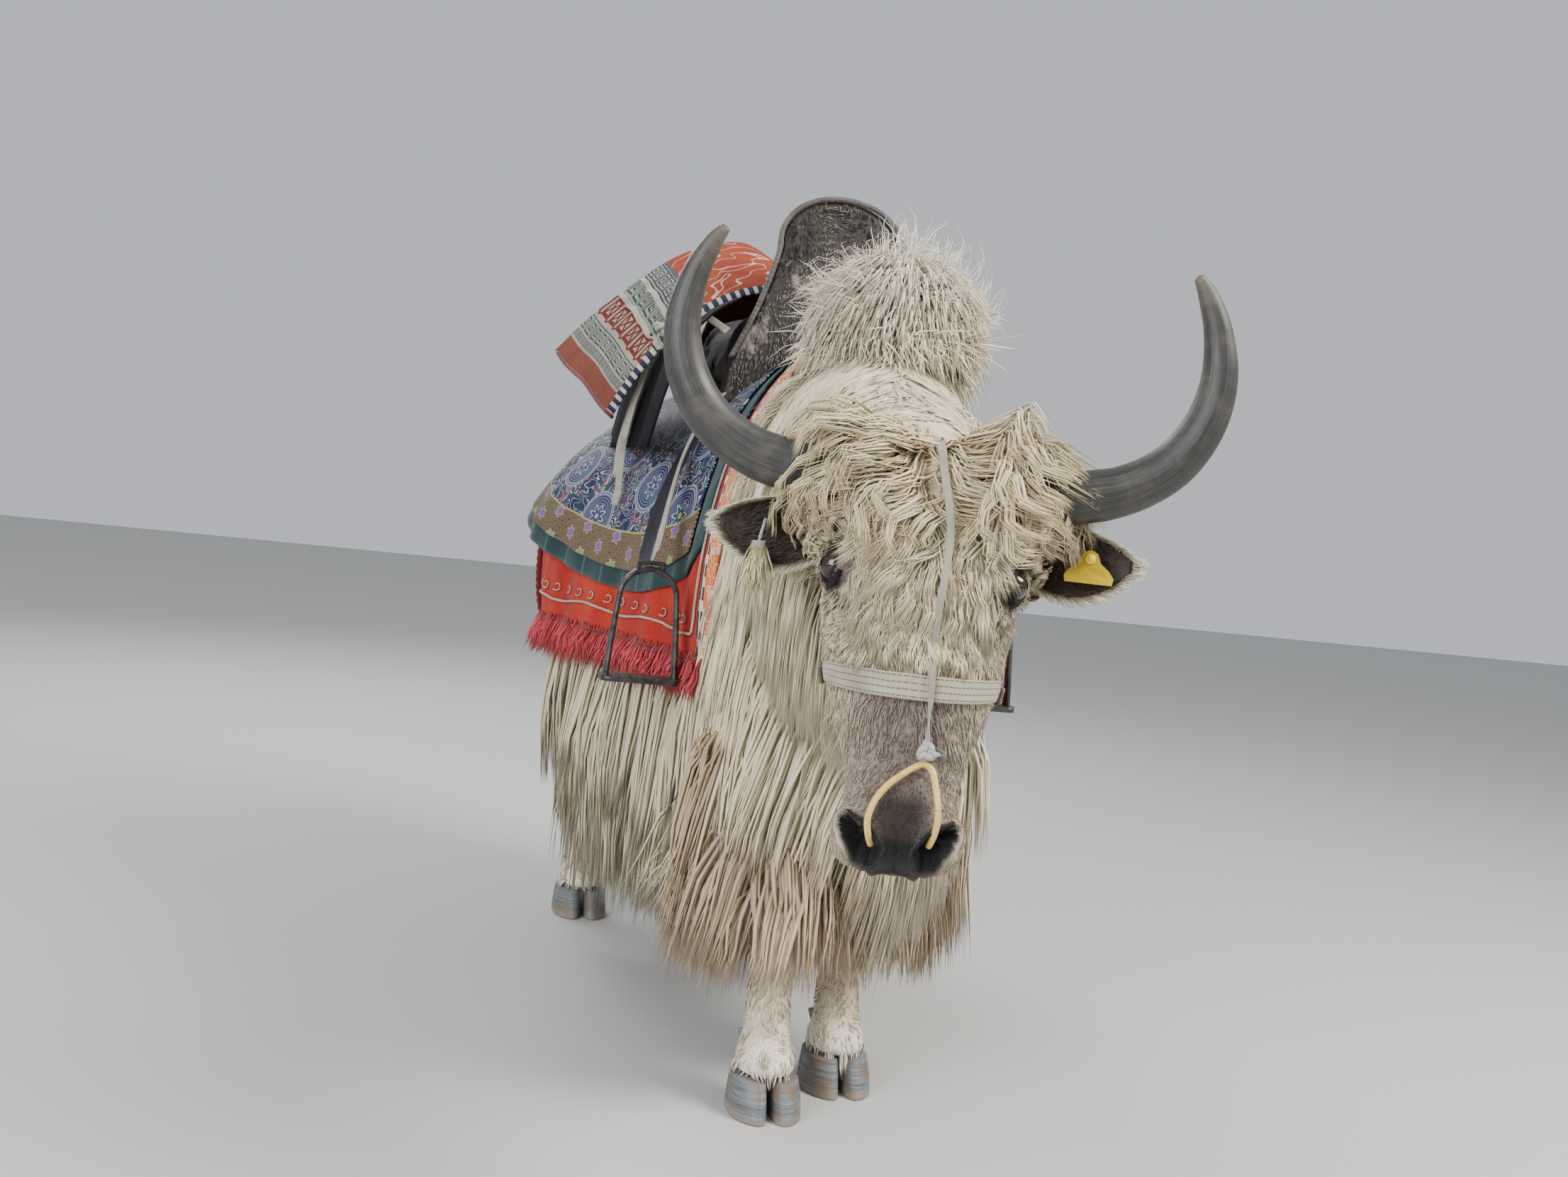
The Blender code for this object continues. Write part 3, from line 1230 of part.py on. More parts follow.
def main():
    """Build the whole animal and what it wears."""
    clear_scene()
    rng = random.Random(7)
    torso = make_barrel()
    barrel = duplicate(torso, "barrel_guide")
    tree = body_tree(barrel)
    chest, flanks = part_barrel(torso)
    head = make_head()
    skull = duplicate(head, "skull_guide")
    neck = make_neck()
    neck_guide = duplicate(neck, "neck_guide")
    cut_clear(neck, [skull])
    cut_clear(neck, [barrel])
    hump = make_hump()
    hump_guide = duplicate(hump, "hump_guide")
    cut_clear(hump, [barrel])
    cut_clear(hump, [neck_guide])
    cloths, boards = make_tack()
    halter = [make_face_strap(), make_noseband(), make_knot(), make_nose_loop()]
    horns = []
    ears = []
    for side, word in ((-1, "right"), (1, "left")):
        make_eyeball("eye_" + word, side)
        horn = make_horn("horn_" + word, side)
        ear = make_ear("ear_" + word, side)
        cut_clear(ear, [skull])
        cut_clear(ear, [horn])
        cut_clear(horn, [skull])
        horns.append(horn)
        ears.append(ear)
    make_ear_tag()
    make_tassel()
    legs = []
    feet = (("fore_right", FORE_RIGHT_FOOT, -1), ("fore_left", FORE_LEFT_FOOT, 1),
            ("hind_right", HIND_RIGHT_FOOT, -1), ("hind_left", HIND_LEFT_FOOT, 1))
    for word, foot, side in feet:
        if word.startswith("fore"):
            leg = fore_leg("leg_" + word, foot, side)
        else:
            leg = hind_leg("leg_" + word, foot)
        cut_clear(leg, [barrel])
        legs.append(leg)
        make_claw("claw_" + word + "_outer", foot, side)
        make_claw("claw_" + word + "_inner", foot, -side)
    tail = make_tail()
    cut_clear(tail, [barrel])
    cores = {item.name: core_of(item) for item in (torso, chest, *flanks, neck, hump, tail, *legs)}

    def dress_clear(target, tiers, names, more=()):
        """Dress a node, then cut its hair clear of its neighbours."""
        dress(target, tiers)
        cut_clear(target, [cores[name] for name in names] + list(more), HAIR_GAP)

    dress_clear(chest, chest_tiers(tree, rng),
                ("torso", "flank_right", "flank_left", "neck", "leg_fore_right", "leg_fore_left"))
    for flank, side, word in zip(flanks, (-1, 1), ("right", "left")):
        dress_clear(flank, flank_tiers(tree, side, rng),
                    ("torso", "chest", "leg_hind_" + word, "leg_fore_" + word))
    dress_clear(torso, rump_tiers(tree, rng),
                ("flank_right", "flank_left", "tail", "leg_hind_right", "leg_hind_left"))
    dress_clear(tail, tail_tiers(rng), ("torso",))
    dress_clear(hump, hump_tiers(body_tree(hump_guide), rng),
                ("torso", "chest", "flank_right", "flank_left", "neck"), cloths + boards)
    dress_clear(neck, neck_tiers(body_tree(neck_guide), rng),
                ("torso", "chest", "hump", "flank_right", "flank_left"), [skull, chest])
    dress(head, forelock_tiers(rng))
    cut_clear(head, horns + ears + halter[:1], HAIR_GAP)
    for item in [barrel, skull, neck_guide, hump_guide, *cores.values()]:
        bpy.data.objects.remove(item)
    settle()


main()
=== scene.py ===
# %% [markdown]
# # A saddled domestic yak
# The animal stands on its hooves with its head low and turned a little to its own right.
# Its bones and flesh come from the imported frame. This script gives it a skin, a coat,
# and the woven, carved and forged things that it wears. All lengths are in metres.

# %% Load the frame and keep its box
import math
from bisect import bisect_left
from functools import lru_cache

import bmesh
import bpy
import numpy as np
from mathutils import Matrix, Vector, noise
from mathutils.bvhtree import BVHTree
from mathutils.kdtree import KDTree


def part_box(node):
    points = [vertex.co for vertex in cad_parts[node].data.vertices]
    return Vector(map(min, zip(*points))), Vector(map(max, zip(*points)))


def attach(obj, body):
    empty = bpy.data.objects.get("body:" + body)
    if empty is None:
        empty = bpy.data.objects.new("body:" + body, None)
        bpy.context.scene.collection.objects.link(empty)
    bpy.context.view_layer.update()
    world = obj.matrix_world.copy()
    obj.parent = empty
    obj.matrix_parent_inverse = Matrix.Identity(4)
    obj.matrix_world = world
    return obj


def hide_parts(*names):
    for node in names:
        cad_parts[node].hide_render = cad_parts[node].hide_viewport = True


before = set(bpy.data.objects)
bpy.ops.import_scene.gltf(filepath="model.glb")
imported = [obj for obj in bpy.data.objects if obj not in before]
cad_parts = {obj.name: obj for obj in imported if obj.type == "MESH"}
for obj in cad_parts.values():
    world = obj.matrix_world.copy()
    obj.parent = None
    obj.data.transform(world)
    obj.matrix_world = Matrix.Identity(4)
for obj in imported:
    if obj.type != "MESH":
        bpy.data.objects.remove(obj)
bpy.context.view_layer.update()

scene = bpy.context.scene

# %% [markdown]
# Every measure of the body is taken from the floor midway between the fore hooves, as a
# sculptor would set an armature. The frame's own origin is the middle of its box, so one
# shift joins the two, and it is read off a piece that both of them know: the right eye.

# %% Place of the armature in the frame
EYE_MIDDLE = Vector((-0.103, -0.533, 0.797))
HEAD_TURN, HEAD_TILT = math.radians(18), math.radians(25)
EYE_SIDE, EYE_FORWARD, EYE_RADIUS = 0.0985, 0.004, 0.021


def head_matrix():
    """Head places (to its left, down the face, out of the face) to armature places."""
    ahead = Vector((-math.sin(HEAD_TURN), -math.cos(HEAD_TURN), 0))
    side = Vector((math.cos(HEAD_TURN), -math.sin(HEAD_TURN), 0))
    face = ahead * math.sin(HEAD_TILT) + Vector((0, 0, -math.cos(HEAD_TILT)))
    out = ahead * math.cos(HEAD_TILT) + Vector((0, 0, math.sin(HEAD_TILT)))
    made = Matrix((side, face, out)).transposed().to_4x4()
    made.translation = EYE_MIDDLE
    return made


HEAD = head_matrix()
HEAD_INVERSE = HEAD.inverted()
UPRIGHT = Matrix.Translation(EYE_MIDDLE) @ Matrix.Rotation(-HEAD_TURN, 4, 'Z')
eye_low, eye_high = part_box("eye_right")
SHIFT = (eye_low + eye_high) / 2 - HEAD @ Vector((-EYE_SIDE, 0.0, EYE_FORWARD))
print("armature shift", [round(v, 4) for v in SHIFT])

# %% [markdown]
# The camera stands low in front of the animal's right shoulder, as the photographer did,
# with the frame tipped a few degrees. A plain pale floor and large soft lamps let the
# materials speak for themselves.

# %% Camera
FRAME_WIDTH = 2212
CAMERA_PLACE = Vector((-0.761, -2.304, 0.873))
CAMERA_TURN, CAMERA_PITCH, CAMERA_ROLL = (math.radians(v) for v in (15.711, 3.236, 6.437))
FOCAL_PIXELS = 2371
SENSOR = 36.0


def make_camera():
    """Camera at the photographer's place."""
    ahead = Vector((math.sin(CAMERA_TURN) * math.cos(CAMERA_PITCH),
                    math.cos(CAMERA_TURN) * math.cos(CAMERA_PITCH), -math.sin(CAMERA_PITCH)))
    level = Vector((math.cos(CAMERA_TURN), -math.sin(CAMERA_TURN), 0))
    above = level.cross(ahead)
    right = level * math.cos(CAMERA_ROLL) + above * math.sin(CAMERA_ROLL)
    up = above * math.cos(CAMERA_ROLL) - level * math.sin(CAMERA_ROLL)
    lens = bpy.data.cameras.new("camera")
    lens.sensor_width = SENSOR
    lens.lens = FOCAL_PIXELS / FRAME_WIDTH * SENSOR
    camera = bpy.data.objects.new("camera", lens)
    scene.collection.objects.link(camera)
    place = Matrix((right, up, -ahead)).transposed().to_4x4()
    place.translation = CAMERA_PLACE + SHIFT
    camera.matrix_world = place
    scene.camera = camera
    return camera


camera = make_camera()
print("lens", round(camera.data.lens, 2), "mm")

# %% [markdown]
# Most pieces here start as a flat grid that is bent into place: a horn is a grid rolled
# into a tapering tube, a saddle cloth is a grid laid over the back. Keeping the grid's own
# two directions as a UV map lets a weave or a grain follow the surface.

# %% Bend a grid into a surface
def bent_grid(bm, columns, rows, place, size=(1.0, 1.0), closed=False):
    """Grid bent by place(u, v), u and v from 0 to 1; its UV map is in metres of size."""
    made = bmesh.ops.create_grid(bm, x_segments=columns, y_segments=rows, size=0.5)
    layer = bm.loops.layers.uv.get("weave") or bm.loops.layers.uv.new("weave")
    flat = {vert: (vert.co.x + 0.5, vert.co.y + 0.5) for vert in made["verts"]}
    for vert, (u, v) in flat.items():
        for loop in vert.link_loops:
            loop[layer].uv = (u * size[0], v * size[1])
        vert.co = place(u, v)
    if closed:
        bmesh.ops.remove_doubles(bm, verts=made["verts"], dist=1e-6)
    return [vert for vert in made["verts"] if vert.is_valid]


def close_ends(bm):
    """Fill the open ends of a tube with fans that meet in their middle."""
    open_edges = [edge for edge in bm.edges if edge.is_boundary]
    if not open_edges:
        return
    filled = bmesh.ops.holes_fill(bm, edges=open_edges, sides=0)
    bmesh.ops.poke(bm, faces=filled["faces"])


def finish_piece(name, bm, finish, nodes=(), smooth=True, turn_out=True):
    """Object from a bmesh in armature places: it rides on the body and may replace nodes."""
    bmesh.ops.translate(bm, verts=bm.verts[:], vec=SHIFT)
    if turn_out:
        bmesh.ops.recalc_face_normals(bm, faces=bm.faces[:])
    mesh = bpy.data.meshes.new(name)
    bm.to_mesh(mesh)
    bm.free()
    mesh.polygons.foreach_set("use_smooth", [smooth] * len(mesh.polygons))
    piece = bpy.data.objects.new(name, mesh)
    scene.collection.objects.link(piece)
    piece.data.materials.append(finish)
    declare(piece, nodes)
    print(name, len(mesh.polygons), "faces")
    return piece


def declare(piece, nodes=()):
    """Let a finished piece ride on the body and hide the nodes that it stands for."""
    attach(piece, "root")
    if nodes:
        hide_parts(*nodes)

# %% Smooth measures between knots
@lru_cache(maxsize=None)
def slopes_of(knots):
    """Places, values and slopes of a list of knots, worked out once."""
    xs, ys = np.array(knots, float).T
    return xs.tolist(), ys.tolist(), np.gradient(ys, xs).tolist()


def curve(knots, place):
    """Smooth curve through (place, value) knots, read at one place."""
    xs, ys, slopes = slopes_of(tuple(knots))
    place = min(max(place, xs[0]), xs[-1])
    i = min(max(bisect_left(xs, place) - 1, 0), len(xs) - 2)
    span = xs[i + 1] - xs[i]
    t = (place - xs[i]) / span
    return ((1 + 2 * t) * (1 - t) ** 2 * ys[i] + t * (1 - t) ** 2 * span * slopes[i]
            + t * t * (3 - 2 * t) * ys[i + 1] + t * t * (t - 1) * span * slopes[i + 1])


def power(value, exponent):
    """Signed power, for rounded-square sections."""
    return math.copysign(abs(value) ** exponent, value)


def smooth_step(value, low, high):
    """0 below low, 1 above high, smooth between."""
    t = np.clip((value - low) / (high - low), 0.0, 1.0)
    return t * t * (3 - 2 * t)

# %% [markdown]
# ## Body
# Under the hair a yak is deep-chested, with a high hump of muscle over the shoulders and
# short legs. The barrel is one long rounded section whose top, underside and width change
# along it.

# %% Barrel and neck measures
BARREL_TOP = ((-0.16, 0.74), (-0.10, 0.92), (0.00, 1.05), (0.12, 1.10), (0.26, 1.07),
              (0.42, 1.03), (0.62, 1.02), (0.82, 1.04), (0.96, 1.02), (1.06, 0.95), (1.12, 0.86))
BARREL_UNDER = ((-0.16, 0.60), (-0.10, 0.50), (0.00, 0.44), (0.14, 0.42), (0.42, 0.39),
                (0.62, 0.40), (0.82, 0.46), (0.96, 0.55), (1.06, 0.66), (1.12, 0.78))
BARREL_HALF = ((-0.16, 0.055), (-0.10, 0.125), (0.00, 0.165), (0.12, 0.182), (0.20, 0.192),
               (0.30, 0.218), (0.42, 0.262), (0.55, 0.305), (0.70, 0.326), (0.82, 0.315),
               (0.96, 0.260), (1.06, 0.170), (1.12, 0.060))
BARREL_WIDEST = ((-0.16, 0.68), (0.12, 0.68), (0.62, 0.66), (0.90, 0.74), (1.12, 0.82))
BARREL_ENDS = (-0.16, 1.12)
UPPER_POWER, LOWER_POWER = 2.15, 2.3
NECK_STATIONS = (((0.000, 0.080, 0.830), 0.245, 0.165), ((-0.006, -0.040, 0.840), 0.235, 0.160),
                 ((-0.022, -0.160, 0.835), 0.205, 0.145), ((-0.046, -0.280, 0.830), 0.172, 0.125),
                 ((-0.072, -0.390, 0.835), 0.140, 0.105), ((-0.086, -0.450, 0.840), 0.110, 0.085))
HUMP_CENTRE = Vector((0.035, 0.095, 1.110))
HUMP_HALF = Vector((0.118, 0.175, 0.128))


def barrel_point(along, angle, offset=0.0):
    """Point on the barrel; angle 0 is the spine and pi the belly."""
    top, under = curve(BARREL_TOP, along), curve(BARREL_UNDER, along)
    half, widest = curve(BARREL_HALF, along), curve(BARREL_WIDEST, along)
    c, s = math.cos(angle), math.sin(angle)
    exponent = 2 / (UPPER_POWER if c > 0 else LOWER_POWER)
    rise = (top - widest + offset) if c > 0 else (widest - under + offset)
    return Vector(((half + offset) * power(s, exponent), along, widest + rise * power(c, exponent)))


def barrel_angle(along, height):
    """Angle at which the barrel's surface has this height."""
    top, under = curve(BARREL_TOP, along), curve(BARREL_UNDER, along)
    widest = curve(BARREL_WIDEST, along)
    if height > widest:
        return math.acos(min(1.0, (height - widest) / (top - widest)) ** (UPPER_POWER / 2))
    return math.pi - math.acos(min(1.0, (widest - height) / (widest - under)) ** (LOWER_POWER / 2))


def neck_point(u, t):
    """Point on the neck: u round it from the crest, t from shoulder to head."""
    knots = np.linspace(0, 1, len(NECK_STATIONS)).tolist()
    centre = Vector([curve(list(zip(knots, [s[0][k] for s in NECK_STATIONS])), t)
                     for k in range(3)])
    tall = curve(list(zip(knots, [s[1] for s in NECK_STATIONS])), t)
    wide = curve(list(zip(knots, [s[2] for s in NECK_STATIONS])), t)
    angle = 2 * math.pi * u
    return centre + Vector((-wide * power(math.sin(angle), 0.9), 0.0,
                            tall * power(math.cos(angle), 0.95)))


print("barrel", round(BARREL_ENDS[1] - BARREL_ENDS[0], 2), "m long")

# %% [markdown]
# The skull is a long tapering form whose section is a rounded square, wide at the brow and
# narrow at the jaw. It is measured in its own places: side, along the face from the eyes,
# and out of the face, so that eyes, nose and halter can be set on it wherever it turns.

# %% Head measures
FACE_FRONT = ((-0.175, 0.000), (-0.150, 0.030), (-0.100, 0.052), (-0.040, 0.060), (0.020, 0.055),
              (0.080, 0.043), (0.150, 0.032), (0.220, 0.024), (0.276, 0.023), (0.308, 0.015),
              (0.323, 0.000), (0.330, -0.020))
FACE_BACK = ((-0.175, -0.050), (-0.150, -0.085), (-0.100, -0.125), (-0.040, -0.155),
             (0.020, -0.165), (0.080, -0.145), (0.150, -0.112), (0.220, -0.092), (0.276, -0.088),
             (0.308, -0.084), (0.323, -0.068), (0.330, -0.045))
FACE_HALF = ((-0.175, 0.040), (-0.150, 0.085), (-0.100, 0.118), (-0.040, 0.120), (0.020, 0.110),
             (0.080, 0.098), (0.150, 0.084), (0.220, 0.067), (0.262, 0.063), (0.294, 0.074),
             (0.316, 0.066), (0.330, 0.028))
FACE_ENDS = (-0.175, 0.330)
FACE_POWER, JAW_NARROWING = 2.5, 0.32


def face_point(along, angle, offset=0.0):
    """Head place on the face: angle 0 is the middle of the brow, then its left side."""
    front = curve(FACE_FRONT, along) + offset
    back = curve(FACE_BACK, along) - offset
    half = curve(FACE_HALF, along) + offset
    middle = front * 0.45 + back * 0.55
    c, s = math.cos(angle), math.sin(angle)
    depth = (front - middle) if c > 0 else (middle - back)
    narrow = 1 - JAW_NARROWING * max(0.0, -c) ** 1.5
    return Vector((half * narrow * power(s, 2 / FACE_POWER), along,
                   middle + depth * power(c, 2 / FACE_POWER)))


# %% Leg measures
HOOF_HEIGHT = 0.052
FEET = {"fore_right": (-0.078, -0.066), "fore_left": (0.058, 0.034),
        "hind_right": (-0.190, 0.965), "hind_left": (0.190, 0.925)}


def leg_stations(word):
    """Side, along, height, half-width and half-depth up one leg."""
    x, y = FEET[word]
    side = -1 if word.endswith("right") else 1
    base = HOOF_HEIGHT
    if word.startswith("fore"):
        elbow = side * 0.105
        return ((x, y + 0.008, base, 0.043, 0.044), (x, y + 0.012, base + 0.022, 0.045, 0.046),
                (x, y + 0.024, base + 0.055, 0.034, 0.035), (x, y + 0.030, base + 0.120, 0.031, 0.033),
                (x * 1.01, y + 0.030, base + 0.190, 0.034, 0.037),
                (x * 1.02, y + 0.026, base + 0.235, 0.043, 0.045),
                (x * 1.03, y + 0.030, base + 0.280, 0.043, 0.047),
                (x * 0.6 + elbow * 0.4, y * 0.6 + 0.038, base + 0.350, 0.051, 0.063),
                (elbow, 0.055, base + 0.440, 0.063, 0.089), (elbow, 0.055, base + 0.530, 0.057, 0.092))
    inward = x * 0.86
    return ((x, y + 0.006, base, 0.041, 0.044), (x, y + 0.010, base + 0.022, 0.043, 0.046),
            (x, y + 0.030, base + 0.060, 0.031, 0.035), (x, y + 0.046, base + 0.150, 0.029, 0.034),
            (x, y + 0.062, base + 0.240, 0.032, 0.043), (x * 0.98, y + 0.072, base + 0.300, 0.035, 0.057),
            (x * 0.96, y + 0.040, base + 0.370, 0.043, 0.067), (x * 0.92, y - 0.010, base + 0.450, 0.055, 0.092),
            (inward, y - 0.050, base + 0.540, 0.067, 0.122), (inward, y - 0.060, base + 0.640, 0.059, 0.112))


def leg_point(word, u, t):
    """Point on a leg: u round it, t from the hoof up."""
    stations = leg_stations(word)
    knots = np.linspace(0, 1, len(stations)).tolist()
    x, y, z, wide, deep = (curve(list(zip(knots, [s[k] for s in stations])), t)
                           for k in range(5))
    angle = 2 * math.pi * u
    return Vector((x + wide * math.cos(angle), y + deep * math.sin(angle), z))


TAIL_PATH = ((0.0, 1.070, 0.945), (0.0, 1.120, 0.950), (0.0, 1.165, 0.900), (0.0, 1.185, 0.800),
             (0.0, 1.185, 0.680), (0.0, 1.180, 0.560), (0.0, 1.175, 0.470))
TAIL_RADII = (0.040, 0.036, 0.030, 0.024, 0.020, 0.015, 0.006)

# %% [markdown]
# ## Skin
# One skin has no seam between neck, barrel and limbs. Each form is first bent from its own
# grid. A voxel remesh then melts them together like wax, and smoothing rounds the joins.
# The skin lies inside the frame's flesh by the depth of the dense undercoat, because the
# long hair of the solids is grown again here, finer.

# %% Forms melted into one skin
SKIN_INSET = 0.007
SKIN_VOXEL = 0.0085


def tube_point(path, radii, u, t, flat=None):
    """Point on a tube through a path: u round it, t along it."""
    knots = np.linspace(0, 1, len(path)).tolist()
    read = lambda k, at: curve(list(zip(knots, [p[k] for p in path])), at)
    centre = Vector([read(k, t) for k in range(3)])
    ahead = Vector([read(k, min(1, t + 0.01)) - read(k, max(0, t - 0.01)) for k in range(3)])
    ahead.normalize()
    side = ahead.cross(Vector(flat) if flat else Vector((1, 0, 0))).normalized()
    other = ahead.cross(side)
    radius = curve(list(zip(knots, radii)), t)
    angle = 2 * math.pi * u
    return centre + (side * math.cos(angle) + other * math.sin(angle)) * radius


def add_form(bm, label, labels, columns, rows, place):
    """One closed form; its grid points are remembered with the form's name."""
    verts = bent_grid(bm, columns, rows, place, closed=True)
    close_ends(bm)
    labels += [(vert.co.copy(), label) for vert in verts]


def barrel_form(u, v):
    low, high = BARREL_ENDS
    along = (low + high) / 2 - (high - low) / 2 * math.cos(math.pi * v)
    return barrel_point(along, 2 * math.pi * u, -SKIN_INSET)


def head_form(u, v):
    low, high = FACE_ENDS
    along = (low + high) / 2 - (high - low) / 2 * math.cos(math.pi * (0.02 + 0.97 * v))
    return HEAD @ face_point(along, 2 * math.pi * u, -0.003)


def hump_form(u, v):
    lift, turn = math.radians(-60 + 148 * v), 2 * math.pi * u
    return HUMP_CENTRE + Vector(((HUMP_HALF.x - 0.02) * math.cos(lift) * math.cos(turn),
                                 (HUMP_HALF.y - 0.02) * math.cos(lift) * math.sin(turn),
                                 (HUMP_HALF.z - 0.02) * math.sin(lift)))


def melt_forms():
    """Skin mesh in armature places, with the list of labelled guide points."""
    bm = bmesh.new()
    labels = []
    add_form(bm, "barrel", labels, 40, 60, barrel_form)
    add_form(bm, "head", labels, 48, 64, head_form)
    add_form(bm, "neck", labels, 28, 24, neck_point)
    add_form(bm, "hump", labels, 28, 14, hump_form)
    for word in FEET:
        add_form(bm, "leg", labels, 20, 40, lambda u, v, word=word: leg_point(word, u, v))
    add_form(bm, "tail", labels, 14, 24, lambda u, v: tube_point(TAIL_PATH, TAIL_RADII, u, v))
    bmesh.ops.recalc_face_normals(bm, faces=bm.faces[:])
    mesh = bpy.data.meshes.new("forms")
    bm.to_mesh(mesh)
    bm.free()
    lump = bpy.data.objects.new("forms", mesh)
    scene.collection.objects.link(lump)
    melt = lump.modifiers.new("melt", 'REMESH')
    melt.mode = 'VOXEL'
    melt.voxel_size = SKIN_VOXEL
    seen = lump.evaluated_get(bpy.context.evaluated_depsgraph_get())
    melted = bpy.data.meshes.new_from_object(seen)
    bpy.data.objects.remove(lump)
    bm = bmesh.new()
    bm.from_mesh(melted)
    for _ in range(6):
        bmesh.ops.smooth_vert(bm, verts=bm.verts[:], factor=0.5, use_axis_x=True,
                              use_axis_y=True, use_axis_z=True)
    return bm, labels


skin, form_points = melt_forms()
print("skin has", len(skin.faces), "faces from", len(form_points), "guide points")

# %% [markdown]
# The muzzle and the eyes carry the expression, so the skin is made finer there before it
# is sculpted. Each feature is a soft push along the surface: comma-shaped nostrils with
# raised rims, the split of the upper lip, the line of the mouth, the brow over each eye
# and the hollow where the eyeball sits.

# %% Finer skin on the head
NOSTRIL_PATH = ((0.027, 0.317), (0.036, 0.311), (0.046, 0.300), (0.0540, 0.290), (0.0565, 0.284))
NOSTRIL_RADII = (0.0105, 0.0145, 0.0130, 0.0092, 0.0062)


def refine(bm, wanted):
    """Split the edges of the faces whose head place is wanted."""
    chosen = [face for face in bm.faces if wanted(HEAD_INVERSE @ face.calc_center_median())]
    edges = list({edge for face in chosen for edge in face.edges})
    bmesh.ops.subdivide_edges(bm, edges=edges, cuts=1, use_grid_fill=True, smooth=0.35)


def near_eye(place, reach):
    return (Vector((abs(place.x), place.y, place.z)) - Vector((EYE_SIDE, 0, 0.01))).length < reach


on_head = lambda p: -0.2 < p.y < 0.36 and abs(p.x) < 0.15 and -0.2 < p.z < 0.1
refine(skin, lambda p: on_head(p) and (p.y > 0.10 or near_eye(p, 0.06)))
refine(skin, lambda p: on_head(p) and ((p.y > 0.245 and p.z > -0.11) or near_eye(p, 0.042)))
bmesh.ops.triangulate(skin, faces=[face for face in skin.faces if len(face.verts) > 4])
print("refined to", len(skin.faces), "faces")

# %% Sculpt the head


def path_distance(place, path, radii):
    """Distance of a 2-D place to a path, and the path's radius at its nearest point."""
    best = (1e9, 1.0)
    for (a, ra), (b, rb) in zip(zip(path, radii), zip(path[1:], radii[1:])):
        a, b = Vector(a), Vector(b)
        t = max(0.0, min(1.0, (place - a).dot(b - a) / (b - a).length_squared))
        best = min(best, ((place - a.lerp(b, t)).length, ra + (rb - ra) * t))
    return best


def mouth_distance(place):
    """Distance of a head place to the line of the mouth."""
    swing = max(-1.0, min(1.0, place.x / 0.062))
    swing = math.asin(max(-1, min(1, swing))) / (math.pi / 2)
    along = 0.326 - 0.080 * abs(swing) ** 1.6
    deep = -0.042 - 0.020 * abs(swing)
    return math.hypot(place.y - along, place.z - deep)


def sculpt_move(place, out):
    """Push of the skin at a head place; out is the skin's own direction there."""
    side = abs(place.x)
    push = 0.0
    if place.y > 0.22 and place.z > -0.05:
        away, radius = path_distance(Vector((side, place.y)), NOSTRIL_PATH, NOSTRIL_RADII)
        push -= 0.026 * float(smooth_step(1 - away / radius, -0.05, 0.50))
        push += 0.0040 * math.exp(-((away - radius) / 0.0050) ** 2)
        push += 0.006 * math.exp(-((side - 0.044) / 0.02) ** 2 - ((place.y - 0.292) / 0.028) ** 2)
        push -= 0.0022 * math.exp(-(side / 0.0022) ** 2) * float(smooth_step(place.y, 0.297, 0.315))
    if place.y > 0.22:
        away = mouth_distance(place)
        push -= 0.0065 * math.exp(-(away / 0.0036) ** 2)
        push += 0.0030 * math.exp(-((away - 0.010) / 0.007) ** 2)
    # brow ridge, tear trough and the long bone of the cheek
    push += 0.007 * math.exp(-((side - 0.085) / 0.022) ** 2 - ((place.y + 0.030) / 0.017) ** 2)
    push -= 0.006 * math.exp(-((side - 0.070) / 0.014) ** 2 - ((place.y - 0.045) / 0.030) ** 2)
    push += 0.005 * math.exp(-((place.z + 0.040) / 0.022) ** 2) * float(
        smooth_step(place.y, 0.0, 0.04) * smooth_step(-place.y, -0.16, -0.10))
    return out * push


EYE_LOOK, EYE_SUNK = math.radians(62), 0.0045
LID_ACROSS, LID_ALONG = 0.0182, 0.0190


def eye_axes(side):
    """Centre, look, across and along directions of an eye, in head places."""
    look = Vector((side * math.sin(EYE_LOOK), 0.0, math.cos(EYE_LOOK)))
    along = Vector((0.0, 1.0, 0.0))
    return Vector((side * EYE_SIDE, 0.0, EYE_FORWARD)) - look * EYE_SUNK, look, look.cross(along), along


def open_socket(place):
    """Skin pulled in behind the eyeball inside the almond, held over it as lids outside."""
    side = 1 if place.x > 0 else -1
    centre, look, across, along = eye_axes(side)
    ray = place - centre
    if ray.length > 0.05 or ray.dot(look) < 0:
        return place
    ring = math.hypot(ray.dot(across) / LID_ACROSS, ray.dot(along) / LID_ALONG)
    flat = ray - look * ray.dot(look)
    inside = 1 - float(smooth_step(ring, 0.98, 1.12))
    held = 1 - float(smooth_step(ring, 1.5, 2.3))
    over = max(ray.dot(look), 0.0128 + 0.003 * (1.6 - min(ring, 1.6)))
    deep = ray.dot(look) * (1 - held) + over * held
    deep = deep * (1 - inside) + (-0.002) * inside
    return centre + flat + look * deep


def sculpt_head(bm):
    bm.normal_update()
    turn = HEAD_INVERSE.to_3x3()
    for vert in bm.verts:
        place = HEAD_INVERSE @ vert.co
        if on_head(place) and vert.co.y < -0.38:
            place += sculpt_move(place, turn @ vert.normal)
            if near_eye(place, 0.06):
                place = open_socket(place)
            vert.co = HEAD @ place


sculpt_head(skin)
eye_ring = [v for v in skin.verts if near_eye(HEAD_INVERSE @ v.co, 0.055)
            and not near_eye(HEAD_INVERSE @ v.co, 0.030)]
bmesh.ops.smooth_vert(skin, verts=eye_ring, factor=0.4, use_axis_x=True, use_axis_y=True,
                      use_axis_z=True)
print("sculpted", len(skin.verts), "points")

